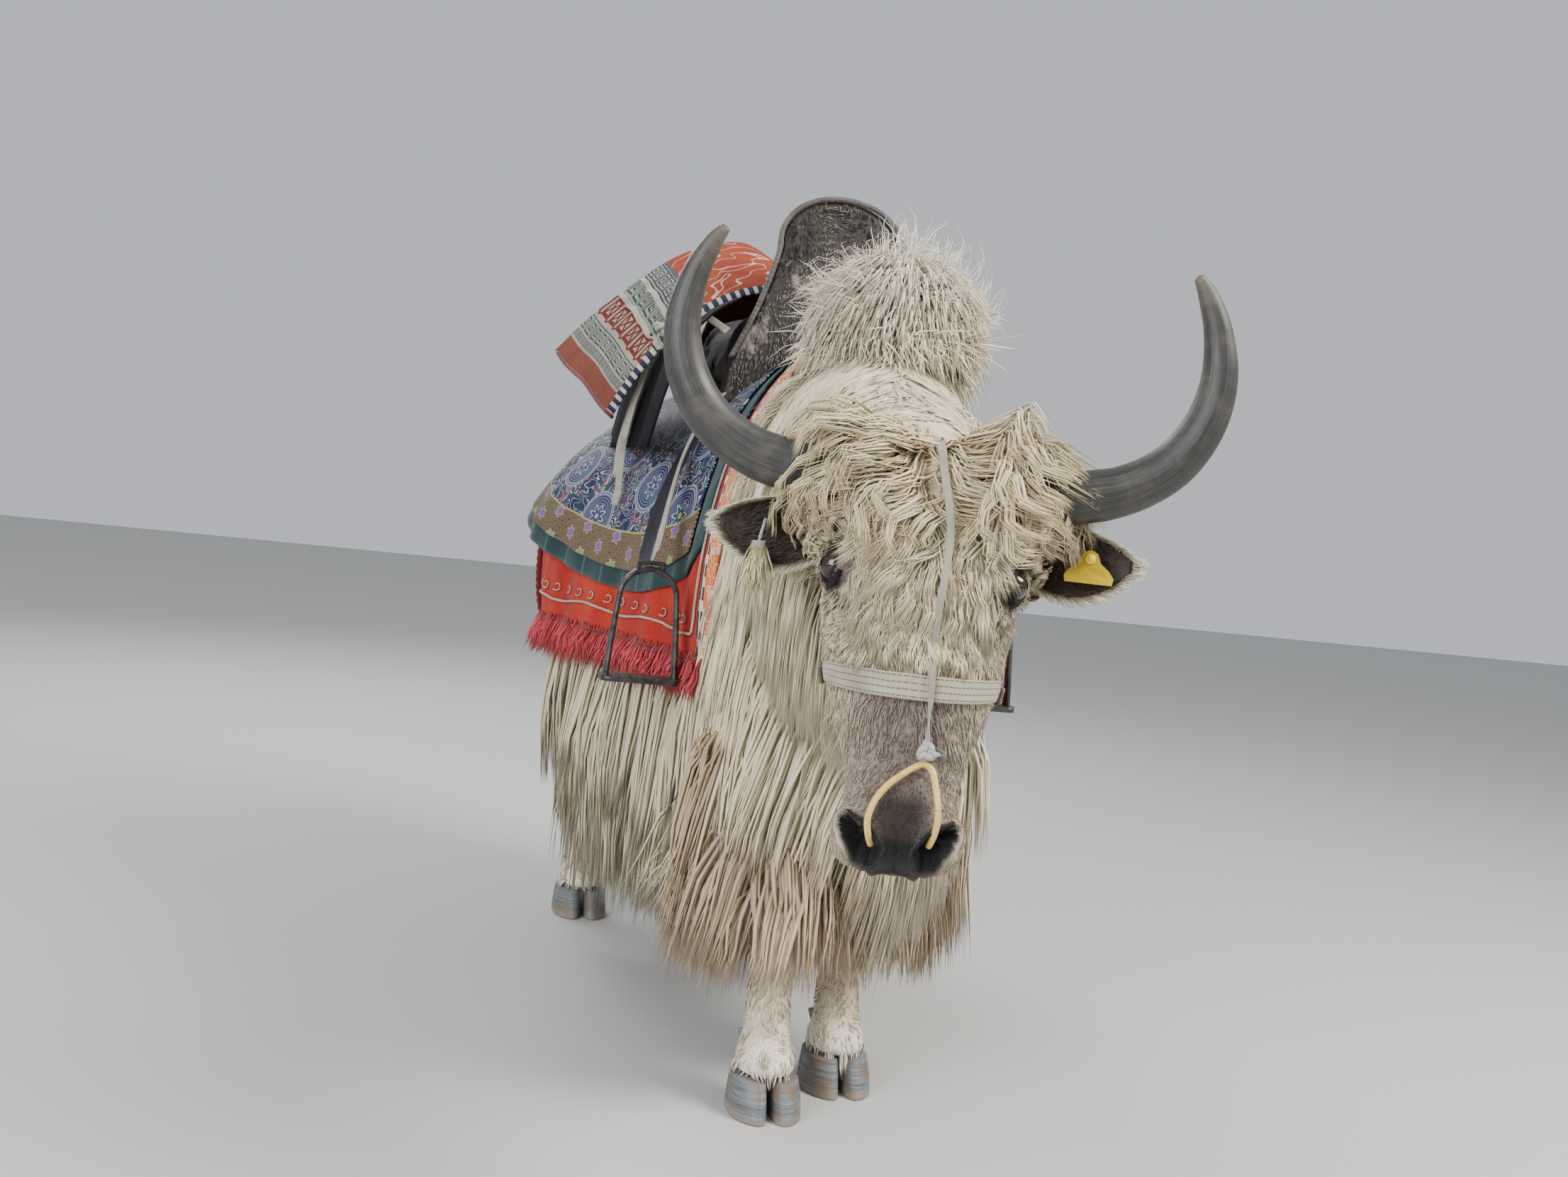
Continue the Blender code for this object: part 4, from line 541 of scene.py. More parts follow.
# %% [markdown]
# ## Markings
# Skin and coat share one set of markings, so where the hair parts, the right colour shows.
# The animal is cream, with yellower curls on the poll, a fawn shade round the eyes, a
# grey-brown nose, and lower legs the colour of weak tea. The markings are worked out from
# the place on the body and kept as a colour on each point.

# %% Colours of the animal
CREAM, WHITE, STRAW = (0.80, 0.72, 0.54), (0.87, 0.83, 0.72), (0.84, 0.71, 0.42)
FAWN, MUZZLE, BARE = (0.47, 0.385, 0.305), (0.185, 0.146, 0.128), (0.026, 0.019, 0.017)
TEA, GREY_BEIGE, EAR_DARK = (0.47, 0.34, 0.21), (0.64, 0.57, 0.44), (0.040, 0.026, 0.021)


def blend(colour, other, share):
    """Mix two colours by a share for each point."""
    return colour + (np.asarray(other) - colour) * np.asarray(share)[:, None]


def ripple(places, scale, seed):
    """Smooth random value from -1 to 1 for each place; scale is the size of its patches."""
    draw = np.random.default_rng(seed)
    waves = draw.normal(size=(7, 3)) / scale
    phases = draw.uniform(0, 2 * math.pi, 7)
    return np.sin(places @ waves.T + phases).sum(axis=1) / 4.2


HEAD_ARRAY = np.array(HEAD_INVERSE)


def in_head(places):
    """Head places of many armature places."""
    return places @ HEAD_ARRAY[:3, :3].T + HEAD_ARRAY[:3, 3]


def nostril_reach(side, along):
    """Distance of head places to the nostril's path, in shares of its radius there."""
    best = np.full(len(side), 9.0)
    ends = list(zip(np.array(NOSTRIL_PATH), NOSTRIL_RADII))
    for (a, wide), (b, other) in zip(ends, ends[1:]):
        ray = np.column_stack([side, along]) - a
        t = np.clip(ray @ (b - a) / ((b - a) @ (b - a)), 0, 1)
        away = np.linalg.norm(ray - t[:, None] * (b - a), axis=1)
        best = np.minimum(best, away / (wide + (other - wide) * t))
    return best


def markings(places, kinds):
    """Colour of the hair at each place; kinds names the form that each belongs to."""
    colour = np.tile(np.array(CREAM), (len(places), 1))
    x, y, z = places.T
    patch = ripple(places, 0.10, 3)
    colour = blend(colour, WHITE, 0.35 * smooth_step(patch, -0.2, 0.8))
    colour = blend(colour, GREY_BEIGE, 0.55 * smooth_step(y, 0.0, 0.3) * (z < 0.95))
    hump = (kinds == "hump")
    colour = blend(colour, (0.97, 0.91, 0.78), 0.8 * hump)
    legs = (kinds == "leg")
    colour = blend(colour, TEA, legs * (0.30 + 0.45 * smooth_step(z, 0.10, 0.30)))
    colour = blend(colour, WHITE, legs * 0.75 * smooth_step(-z, -0.115, -0.075))
    head = (kinds == "head")
    s, a, o = in_head(places).T
    side = abs(s)
    colour = blend(colour, STRAW, head * 0.52 * smooth_step(-a, -0.02, 0.10))
    temple = np.exp(-((side - 0.085) / 0.035) ** 2 - ((a - 0.02) / 0.07) ** 2)
    colour = blend(colour, FAWN, head * 0.85 * temple)
    front = smooth_step(o, -0.075, -0.02)
    nose = smooth_step(a, 0.112, 0.150) * front
    colour = blend(colour, FAWN, head * nose * 0.8)
    colour = blend(colour, MUZZLE, head * nose * np.exp(-(s / 0.060) ** 4) * 0.9)
    rim = smooth_step(a, 0.285, 0.325) * smooth_step(side, 0.045, 0.062)
    colour = blend(colour, GREY_BEIGE, head * rim * 0.5)
    pad = np.exp(-((s / 0.035) ** 4)) * smooth_step(a, 0.243, 0.272) * smooth_step(o, -0.060, -0.045)
    low_lip = np.exp(-((s / 0.046) ** 4)) * smooth_step(a, 0.300, 0.312) * smooth_step(o, -0.050, -0.030)
    colour = blend(colour, BARE, head * pad * 0.95)
    colour = blend(colour, (0.006, 0.005, 0.005), head * low_lip * 0.97)
    away = nostril_reach(side, a)
    low = head * (o > -0.07)
    # Dark skin round each nostril, and near black painted shade inside its opening.
    colour = blend(colour, (0.040, 0.036, 0.036), low * (1 - smooth_step(away, 1.10, 1.40)) * 0.85)
    colour = blend(colour, (0.0025, 0.0022, 0.0022), low * (1 - smooth_step(away, 0.95, 1.18)))
    eye = np.linalg.norm(np.column_stack([side - EYE_SIDE, a, o - 0.008]), axis=1)
    colour = blend(colour, (0.075, 0.060, 0.054), head * 0.85 * (1 - smooth_step(eye, 0.024, 0.033)))
    return np.clip(colour * (1 + 0.05 * ripple(places, 0.03, 5))[:, None], 0.01, 0.95)


def form_kinds(places):
    """Name of the form nearest to each place."""
    tree = KDTree(len(form_points))
    for i, (place, _) in enumerate(form_points):
        tree.insert(place, i)
    tree.balance()
    return np.array([form_points[tree.find(place)[1]][1] for place in places])


def colour_points(mesh, name, colours):
    """Keep a colour on each point of a mesh."""
    kept = mesh.color_attributes.new(name, 'FLOAT_COLOR', 'POINT')
    kept.data.foreach_set("color", np.column_stack([colours, np.ones(len(colours))]).ravel())

# %% [markdown]
# A small helper writes shader graphs: each node is made with its settings and its links in
# one line, so that a finish reads from top to bottom like a recipe.

# %% Helper for finishes
class Finish:
    """One material and its nodes."""

    def __init__(self, name, **settings):
        self.material = bpy.data.materials.new(name)
        self.material.use_nodes = True
        self.tree = self.material.node_tree
        self.shader = self.tree.nodes["Principled BSDF"]
        for key, value in settings.items():
            self.shader.inputs[key.replace("_", " ")].default_value = value

    def node(self, kind, inputs=(), **settings):
        made = self.tree.nodes.new("ShaderNode" + kind)
        for key, value in settings.items():
            setattr(made, key, value)
        for key, value in dict(inputs).items():
            self.feed(made.inputs[key], value)
        return made

    def feed(self, socket, value):
        """Link an output to a socket, or set the socket's own value."""
        if isinstance(value, bpy.types.NodeSocket):
            self.tree.links.new(value, socket)
        elif isinstance(value, bpy.types.Node):
            self.tree.links.new(value.outputs[0], socket)
        else:
            if socket.type == 'RGBA' and len(value) == 3:
                value = (*value, 1.0)
            socket.default_value = value

    def noise(self, where, scale, detail=3.0, **inputs):
        return self.node("TexNoise", {"Vector": where, "Scale": scale, "Detail": detail, **inputs})

    def math(self, operation, a, b=0.0, c=0.0, clamp=False):
        return self.node("Math", {0: a, 1: b, 2: c}, operation=operation, use_clamp=clamp)

    def ramp(self, value, *stops):
        """Colour ramp through (place, colour) stops."""
        made = self.node("ValToRGB", {0: value})
        band = made.color_ramp
        while len(band.elements) < len(stops):
            band.elements.new(0.5)
        for element, (place, colour) in zip(band.elements, stops):
            element.position = place
            element.color = (*colour, 1.0) if len(colour) == 3 else colour
        return made

    def grey(self, value, low, high, out_low=0.0, out_high=1.0):
        return self.node("MapRange", {0: value, 1: low, 2: high, 3: out_low, 4: out_high},
                         clamp=True)

    def mix(self, share, first, second, blend_type='MIX'):
        made = self.tree.nodes.new("ShaderNodeMix")
        made.data_type = 'RGBA'
        made.blend_type = blend_type
        for index, value in ((0, share), (6, first), (7, second)):
            self.feed(made.inputs[index], value)
        return made.outputs[2]

    def attribute(self, name):
        return self.node("Attribute", attribute_name=name, attribute_type='GEOMETRY')

    def places(self):
        return self.node("TexCoord").outputs["Object"]

    def uv(self, name):
        return self.node("UVMap", uv_map=name).outputs[0]

    def stretch(self, where, scale, turn=(0, 0, 0)):
        return self.node("Mapping", {"Vector": where, "Scale": scale, "Rotation": turn}).outputs[0]

    def colour(self, value):
        self.feed(self.shader.inputs["Base Color"], value)

    def rough(self, value):
        self.feed(self.shader.inputs["Roughness"], value)

    def bump(self, height, depth, strength=1.0):
        made = self.node("Bump", {"Height": height, "Distance": depth, "Strength": strength})
        self.feed(self.shader.inputs["Normal"], made.outputs[0])
        return made


def coat_finish(name, roughness=0.62, **settings):
    """Hair: the marking's colour, darker at the root as painted shade, with fine streaks along each tuft."""
    made = Finish(name, Roughness=roughness, Specular_IOR_Level=0.25, Sheen_Weight=0.18,
                  Sheen_Roughness=0.5, **settings)
    strand = made.uv("strand")
    streak = made.noise(made.stretch(strand, (260.0, 9.0, 1.0)), 1.0, 3.0, Roughness=0.6)
    reach = made.attribute("reach").outputs["Fac"]
    tone = made.attribute("tone").outputs["Fac"]
    marked = made.attribute("marking").outputs["Color"]
    # Painted shade: the colour is darkened towards the root, where the coat is deep.
    deep = made.mix(1.0, marked, (0.66, 0.57, 0.43), 'MULTIPLY')
    with_painted_shade = made.mix(made.grey(reach, 0.0, 0.45), deep, marked)
    tipped = made.mix(made.grey(reach, 0.45, 1.0, 0.0, 0.40), with_painted_shade,
                      made.mix(1.0, marked, (1.04, 0.94, 0.72), 'MULTIPLY'))
    toned = made.mix(1.0, tipped, made.ramp(tone, (0.0, (0.76, 0.72, 0.65)), (0.5, (0.97, 0.97, 0.97)),
                                            (1.0, (1.12, 1.12, 1.14))).outputs[0], 'MULTIPLY')
    dark = made.mix(1.0, toned, (0.72, 0.67, 0.58), 'MULTIPLY')
    made.colour(made.mix(made.grey(streak.outputs[0], 0.34, 0.60), dark, toned))
    made.bump(streak.outputs[0], 0.0012, 0.7)
    return made.material


def skin_finish():
    """Short flat fur: fine streaks down the lie of the coat over the marking."""
    made = Finish("short_fur_skin", Roughness=0.66, Specular_IOR_Level=0.20, Sheen_Weight=0.03,
                  Sheen_Roughness=0.5)
    where = made.places()
    fine = made.noise(made.stretch(where, (420.0, 420.0, 90.0)), 1.0, 3.0)
    broad = made.noise(where, 30.0, 4.0)
    marked = made.attribute("marking").outputs["Color"]
    dark = made.mix(1.0, marked, (0.62, 0.58, 0.54), 'MULTIPLY')
    coloured = made.mix(made.grey(fine.outputs[0], 0.32, 0.62), dark, marked)
    shade = made.grey(broad.outputs[0], 0.3, 0.7, 0.86, 1.08)
    made.colour(made.mix(1.0, coloured, shade.outputs[0], 'MULTIPLY'))
    bare = made.attribute("bare").outputs["Fac"]
    grain = made.node("TexVoronoi", {"Vector": where, "Scale": 330.0}, feature='DISTANCE_TO_EDGE')
    pores = made.grey(grain.outputs[0], 0.0, 0.12)
    height = made.mix(bare, fine.outputs[0], pores.outputs[0])
    made.rough(made.grey(bare, 0.0, 1.0, 0.68, 0.52))
    made.bump(height, 0.0009, 0.75)
    return made.material


coat = coat_finish("long_coat")
fur_skin = skin_finish()
print("finishes", [m.name for m in bpy.data.materials])

# %% Finish the skin
def arrays_of(bm):
    """Triangle corners, point places and point directions of a bmesh."""
    bmesh.ops.triangulate(bm, faces=bm.faces[:])
    bm.normal_update()
    bm.verts.ensure_lookup_table()
    bm.verts.index_update()
    corners = np.array([[vert.index for vert in face.verts] for face in bm.faces])
    places = np.array([vert.co[:] for vert in bm.verts])
    outs = np.array([vert.normal[:] for vert in bm.verts])
    return corners, places, outs


skin_corners, skin_places, skin_outs = arrays_of(skin)
skin_kinds = form_kinds(skin_places)
skin_tree = BVHTree.FromBMesh(skin)
skin_nodes = ("torso", "chest", "flank_left", "flank_right", "neck", "hump", "head", "tail",
              "leg_fore_left", "leg_fore_right", "leg_hind_left", "leg_hind_right")
skin_piece = finish_piece("skin", skin, fur_skin, skin_nodes, turn_out=False)
colour_points(skin_piece.data, "marking", markings(skin_places, skin_kinds))
head_places = in_head(skin_places)
bare = ((skin_kinds == "head") * np.exp(-((head_places[:, 0] / 0.044) ** 4))
        * smooth_step(head_places[:, 1], 0.245, 0.272) * smooth_step(head_places[:, 2], -0.06, -0.045))
skin_piece.data.attributes.new("bare", 'FLOAT', 'POINT').data.foreach_set("value", bare)
print({kind: int((skin_kinds == kind).sum()) for kind in set(skin_kinds)})

# %% [markdown]
# ## Coat
# The long hair is what makes a yak. Each tuft is a thin closed blade of three sides that
# leaves the skin, bends along the lie of the coat and hangs. Tens of thousands are grown at
# once from arrays. A tuft first follows its own path, then leans towards a leading tuft
# near it, so the coat parts into locks of several sizes as real hair does. What lies under
# the saddle cloths is left out, because nobody will see it.

# %% Where the saddle cloths lie
BROCADE_LOW, FELT_LOW = 0.715, 0.605
CLOTH_FRONT, CLOTH_BACK = 0.125, 0.765
HUMP_CLEAR = 1.145


def cloth_low(along):
    """Height of the brocade cloth's lower edge."""
    if along > 0.40:
        return BROCADE_LOW + 0.085 * ((along - 0.40) / 0.34) ** 2
    return BROCADE_LOW + 0.055 * ((0.40 - along) / 0.20) ** 2


def under_cloth(places):
    x, y, z = places.T
    over_hump = (y < 0.30) & (z > HUMP_CLEAR)
    return (y > CLOTH_FRONT + 0.03) & (y < CLOTH_BACK - 0.02) & (z > FELT_LOW + 0.015) & ~over_hump


# %% Roots, paths and blades
skin_triangles = skin_places[skin_corners]
skin_centres = skin_triangles.mean(axis=1)
skin_areas = np.linalg.norm(np.cross(skin_triangles[:, 1] - skin_triangles[:, 0],
                                     skin_triangles[:, 2] - skin_triangles[:, 0]), axis=1) / 2
triangle_kinds = skin_kinds[skin_corners[:, 0]]
DOWN = np.array((0.0, 0.0, -1.0))


def unit(vectors):
    return vectors / np.maximum(np.linalg.norm(vectors, axis=-1, keepdims=True), 1e-9)


def roots_on_skin(count, weight, seed):
    """Random roots, closer together where weight is higher, with the skin's direction."""
    draw = np.random.default_rng(seed)
    share = skin_areas * weight
    chosen = draw.choice(len(share), count, p=share / share.sum())
    a, b = draw.random((2, count, 1))
    a, b = np.where(a + b > 1, 1 - a, a), np.where(a + b > 1, 1 - b, b)
    corners = skin_corners[chosen]
    mixed = lambda values: (values[corners[:, 0]] * (1 - a - b) + values[corners[:, 1]] * a
                            + values[corners[:, 2]] * b)
    return mixed(skin_places), unit(mixed(skin_outs)), triangle_kinds[chosen]


def grow_paths(roots, outs, flow, length, rise, droop, steps, curl=0.0, turns=1.0, seed=0):
    """Path of each tuft: out of the skin, along the flow, then down by its own weight."""
    draw = np.random.default_rng(seed)
    count = len(roots)
    t = np.linspace(0, 1, steps + 1)
    middle = (t[1:] + t[:-1]) / 2
    flow = unit(flow - outs * (flow * outs).sum(1, keepdims=True) * 0.9)
    hang = np.clip(np.asarray(droop)[..., None] * middle ** 0.7, 0, 1) * np.ones((count, 1))
    heading = unit(flow[:, None, :] * (1 - hang[..., None]) + DOWN * hang[..., None])
    run = np.cumsum(heading * (np.asarray(length)[:, None, None] / steps), axis=1)
    path = np.concatenate([np.zeros((count, 1, 3)), run], axis=1) + roots[:, None, :]
    lifted = np.sin(np.minimum(1, t * 1.7) * math.pi / 2) ** 0.8
    path += outs[:, None, :] * (np.asarray(rise)[:, None] * lifted - 0.004 * (1 - t))[..., None]
    side = unit(np.cross(flow, outs))
    phase = ripple(roots, 0.05, seed + 1) * 4 + draw.uniform(-0.5, 0.5, count)
    wave = phase[:, None] + 2 * math.pi * np.asarray(turns) * t[None, :]
    swell = np.asarray(curl)[..., None] * np.minimum(1, t * 1.8) * np.ones((count, 1))
    path += side[:, None, :] * (np.sin(wave) * swell)[..., None]
    path += outs[:, None, :] * (np.cos(wave) * swell * 0.55)[..., None]
    return path


def gather(path, roots, every, pull, keep, seed=0):
    """Lean each tuft towards the nearest leading tuft, more and more to its tip."""
    leaders = np.arange(0, len(roots), every)
    tree = KDTree(len(leaders))
    for place, index in enumerate(leaders):
        tree.insert(roots[index], place)
    tree.balance()
    own = leaders[np.array([tree.find(root)[1] for root in roots])]
    t = np.linspace(0, 1, path.shape[1])
    share = (pull * np.minimum(1, t * 1.5) ** 0.9)[None, :, None]
    beside = (roots - roots[own])[:, None, :] * (1 - (1 - keep) * t[None, :, None])
    led = path[own] + beside
    return path * (1 - share) + led * share, own


def stay_out(path, tree, clear):
    """Push path points out of a body; hair closer to the tip is held further off."""
    count, points, _ = path.shape
    for k in range(1, points):
        gap = clear * min(1.0, k / 2)
        for i in range(count):
            place, normal, _, away = tree.find_nearest(path[i, k], 0.15)
            if place is None:
                continue
            deep = (Vector(path[i, k]) - place).dot(normal)
            if deep < gap:
                path[i, k] = place + normal * gap
    return path


BLADE = np.array((0.55, 0.95, 1.0, 0.94, 0.80, 0.60, 0.36, 0.0))


def blades(path, outs, width, thick, twist, seed):
    """Points of three-sided blades along the paths, shape (tufts, rings, 3 corners, 3)."""
    draw = np.random.default_rng(seed)
    count, rings, _ = path.shape
    ahead = unit(np.gradient(path, axis=1))
    side = unit(np.cross(ahead, outs[:, None, :]))
    face = np.cross(side, ahead)
    turn = draw.normal(0, twist, (count, 1, 1))
    across = side * np.cos(turn) + face * np.sin(turn)
    up = face * np.cos(turn) - side * np.sin(turn)
    t = np.linspace(0, 1, rings)
    shape = np.interp(t, np.linspace(0, 1, len(BLADE)), BLADE)
    wide = (width[:, None] * shape)[..., None] / 2
    deep = (thick[:, None] * shape)[..., None]
    return np.stack([path - across * wide, path + across * wide, path + up * deep], axis=2)


# %% One piece of coat
def unwrap(places, centre, axis, low, high):
    """Cylinder unwrap of the skin's own shape round an axis: turn and place along it."""
    axis = Vector(axis).normalized()
    first = axis.orthogonal().normalized()
    second = axis.cross(first)
    ray = places - np.asarray(centre)
    turn = np.arctan2(ray @ np.array(second), ray @ np.array(first)) / (2 * math.pi) + 0.5
    run = (ray @ np.array(axis) - low) / (high - low)
    return np.column_stack([np.clip(turn, 0, 0.997), np.clip(run, 0, 0.997)])


def coat_piece(name, roots, corners, colours, tone, lengths, spread, finish):
    """Mesh of closed blades, with colours, strand map and bake map."""
    count, rings, _, _ = corners.shape
    each = (rings - 1) * 3 + 1
    points = np.concatenate([corners[:, :-1].reshape(count, -1, 3),
                             corners[:, -1, 2][:, None, :]], axis=1)
    sides = []
    for ring in range(rings - 2):
        for k in range(3):
            j = (k + 1) % 3
            sides.append((ring * 3 + k, ring * 3 + j, ring * 3 + 3 + j, ring * 3 + 3 + k))
    last = (rings - 2) * 3
    ends = [(last + k, last + (k + 1) % 3, each - 1) for k in range(3)] + [(2, 1, 0)]
    order = np.concatenate([np.array(sides).ravel(), np.array(ends).ravel()])
    sizes = np.array([4] * len(sides) + [3] * len(ends))
    loops = (order[None, :] + (np.arange(count) * each)[:, None]).ravel()
    mesh = bpy.data.meshes.new(name)
    mesh.vertices.add(count * each)
    mesh.vertices.foreach_set("co", (points + np.array(SHIFT)).ravel())
    mesh.loops.add(len(loops))
    mesh.loops.foreach_set("vertex_index", loops.astype(np.int32))
    mesh.polygons.add(count * len(sizes))
    starts = np.concatenate([[0], np.cumsum(np.tile(sizes, count))[:-1]])
    mesh.polygons.foreach_set("loop_start", starts.astype(np.int32))
    mesh.polygons.foreach_set("use_smooth", [True] * (count * len(sizes)))
    mesh.update(calc_edges=True)
    place = np.array([min(i // 3, rings - 1) for i in range(each - 1)] + [rings - 1]) / (rings - 1)
    beside = np.array([(0.0, 1.0, 0.5)[i % 3] for i in range(each - 1)] + [0.5])
    shift = np.random.default_rng(len(name)).random(count)
    wide = np.linalg.norm(corners[:, 1, 0] - corners[:, 1, 1], axis=1)
    strand = np.stack([shift[:, None] * 7 + beside[None, :] * wide[:, None],
                       shift[:, None] * 3 + place[None, :] * lengths[:, None]], axis=2)
    baked = spread[:, None, :] + np.stack([beside, place], axis=1)[None] * 0.003
    for title, values in (("strand", strand), ("OFBake", baked)):
        layer = mesh.uv_layers.new(name=title)
        layer.data.foreach_set("uv", values.reshape(-1, 2)[loops].astype(np.float32).ravel())
    colour_points(mesh, "marking", np.repeat(colours, each, axis=0))
    for title, values in (("reach", np.tile(place, count)), ("tone", np.repeat(tone, each))):
        mesh.attributes.new(title, 'FLOAT', 'POINT').data.foreach_set("value", values)
    piece = bpy.data.objects.new(name, mesh)
    scene.collection.objects.link(piece)
    mesh.materials.append(finish)
    declare(piece)
    print(name, count, "tufts,", sum(len(p.vertices) - 2 for p in mesh.polygons), "triangles")
    return piece


def lock_tone(roots, own, seed):
    """Tone of each tuft: its lock's shade with a little of its own."""
    draw = np.random.default_rng(seed)
    lock = draw.random(len(roots))[own]
    return np.clip(0.5 + 0.50 * (lock - 0.5) + draw.normal(0, 0.10, len(roots)), 0, 1)

# %% [markdown]
# ### Poll and face
# The poll has springy curls in two lobes that part where the face strap lies. Below them
# longer wavy hair falls over the brow to the middle of the face, and towards the nose the
# fur becomes so short that only the lie of it shows.

# %% Curls of the poll and hair of the face
HEAD_TURN_ARRAY = np.array(HEAD.to_3x3())
HEAD_CENTRE = np.array(EYE_MIDDLE)


def from_head(vectors):
    return np.asarray(vectors) @ HEAD_TURN_ARRAY.T


def head_weight(where):
    """Weight of the skin's triangles by a rule on head places."""
    s, a, o = in_head(skin_centres).T
    keep = (triangle_kinds == "head") | ((triangle_kinds == "neck") & (a < 0.02) & (o > -0.14))
    for side in (-1, 1):
        eye = np.linalg.norm(in_head(skin_centres) - np.array((side * EYE_SIDE, 0, 0.012)), axis=1)
        keep &= eye > 0.0285
    return np.where(keep, where(abs(s), a, o), 0.0)


def head_flow(places):
    """Lie of the face hair: away from the parting, then down the face."""
    s, a, o = in_head(places).T
    spread = np.sign(s) * (0.15 + 0.55 * smooth_step(-a, -0.03, 0.12)) + s * 2.0
    return from_head(np.column_stack([spread, np.ones(len(s)), np.minimum(0, o + 0.05) * 3]))


def grow_head(name, count, weight, length_of, rise_of, width, steps, curl, turns, every, pull,
              droop, seed, twist=0.5, keep=0.35, rough=0.25, calm=1.0):
    draw = np.random.default_rng(seed)
    roots, outs, kinds = roots_on_skin(count, head_weight(weight), seed)
    s, a, o = in_head(roots).T
    lengths = length_of(abs(s), a, o) * draw.uniform(0.75, 1.2, count)
    rise = rise_of(abs(s), a, o) * draw.uniform(0.35, 1.15, count)
    gap = np.hypot(abs(s) - EYE_SIDE, a) - 0.021
    above = (a < 0.0) & (abs(s) > 0.055)
    lengths = np.where(above, np.minimum(lengths, np.maximum(gap, 0.007)), lengths)
    rise = np.where(above, np.minimum(rise, np.maximum(gap * 0.5, 0.002)), rise)
    flow = head_flow(roots) + draw.normal(0, rough, (count, 3))
    path = grow_paths(roots, outs, flow, lengths, rise, droop * np.ones(count), steps,
                      curl * np.ones(count), turns, seed)
    path, own = gather(path, roots, every, pull, keep)
    path = stay_out(path, skin_tree, 0.002)
    wide = width * draw.uniform(0.6, 1.3, count)
    corners = blades(path, outs, wide, wide * 0.28, twist, seed)
    spread = unwrap(roots, HEAD_CENTRE, from_head((0, 1, 0)), -0.20, 0.36)
    return coat_piece(name, roots, corners, markings(roots, kinds),
                      0.5 + calm * (lock_tone(roots, own, seed) - 0.5), lengths, spread, coat)


EAR_OPEN = lambda s, a: 1 - 0.5 * smooth_step(s, 0.085, 0.110) * smooth_step(a, -0.120, -0.085)
BROW_OPEN = lambda s, a: 1 - 0.72 * smooth_step(s, 0.055, 0.085) * smooth_step(a, -0.085, -0.055)
for side, word in ((-1, "right"), (1, "left")):
    grow_head("poll_curls_" + word, 2450,
              lambda s, a, o: (a < -0.045) * (a > -0.158) * (o > -0.12) * (1.0 + 1.2 * (o > -0.05))
              * (np.sign(in_head(skin_centres)[:, 0]) == side),
              lambda s, a, o: (0.088 + 0.026 * smooth_step(-a, 0.06, 0.12)) * EAR_OPEN(s, a),
              lambda s, a, o: (0.034 + 0.048 * smooth_step(-a, 0.06, 0.13)) * (0.45 + 0.55 * smooth_step(s, 0.006, 0.04)) * EAR_OPEN(s, a),
              0.0033, 6, 0.0145, 1.35, 18, 0.78, 0.24, 11 + side, twist=0.4, keep=0.5)
grow_head("poll_wisps", 240, lambda s, a, o: (np.hypot(s - 0.075, a + 0.135) < 0.022) * 1.0,
          lambda s, a, o: 0.095 + 0 * s, lambda s, a, o: 0.075 + 0 * s, 0.0020, 5, 0.004, 0.6, 40, 0.75, 0.0, 19,
          rough=0.2)
grow_head("brow_hair", 6700, lambda s, a, o: ((a > -0.065) & (a < 0.085) & (o > -0.03)) * 1.0,
          lambda s, a, o: (0.075 - 0.25 * np.clip(a, 0, 0.1)) * BROW_OPEN(s, a),
          lambda s, a, o: (0.019 - 0.11 * np.clip(a, 0, 0.1)) * BROW_OPEN(s, a),
          0.0026, 3, 0.0050, 0.9, 14, 0.72, 0.15, 21, keep=0.5, twist=0.35, calm=0.7)
grow_head("cheek_hair", 5600,
          lambda s, a, o: ((a > -0.10) & (a < 0.20) & ((o <= -0.03) | (a > 0.07))) *
          (1.0 - 0.55 * (a > 0.16)),
          lambda s, a, o: 0.016 + 0.045 * smooth_step(-o, 0.06, 0.14) + 0.010 * smooth_step(a, 0.03, 0.08),
          lambda s, a, o: 0.003 + 0.012 * smooth_step(-o, 0.05, 0.12), 0.0026, 3, 0.0012, 0.6, 9,
          0.45, 0.30, 22)
grow_head("muzzle_fur", 7000, lambda s, a, o: ((a > 0.145) & (a < 0.34)) *
          (1 - np.exp(-((s / 0.040) ** 4)) * (a > 0.258) * (o > -0.055)) *
          (1 - (s < 0.052) * (a > 0.296)) *
          (nostril_reach(s, a) > 1.55),
          lambda s, a, o: 0.0085 + 0.012 * smooth_step(-o, 0.05, 0.10),
          lambda s, a, o: 0.0008 + 0.003 * smooth_step(-o, 0.05, 0.10), 0.0016, 2, 0.0, 0.5, 7,
          0.3, 0.15, 23, twist=0.3, calm=0.35)

# %% [markdown]
# ### Body hair
# Over the shoulders and chest the coat falls in two long sleeves that part between the
# fore legs. Along the flank and thigh it hangs as a skirt almost to the ground. The hump
# is fluffy and parts along its top. Neck hair is softer, and legs are covered in short
# dense fur that ends in a pale tuft over each hoof.

# %% Shell of the cloths, to hold hair off them
def cloth_point(along, angle, offset, flare):
    """Point of a cloth over the barrel, its rear lower corners standing out."""
    place = barrel_point(along, angle, offset)
    back = max(0.0, min(1.0, (along - 0.46) / 0.27))
    drop = max(0.0, min(1.0, (1.00 - place.z) / 0.22))
    return place + Vector((math.copysign(1.0, place.x), 0.25, 0)) * (
        flare * back * back * (3 - 2 * back) * drop)


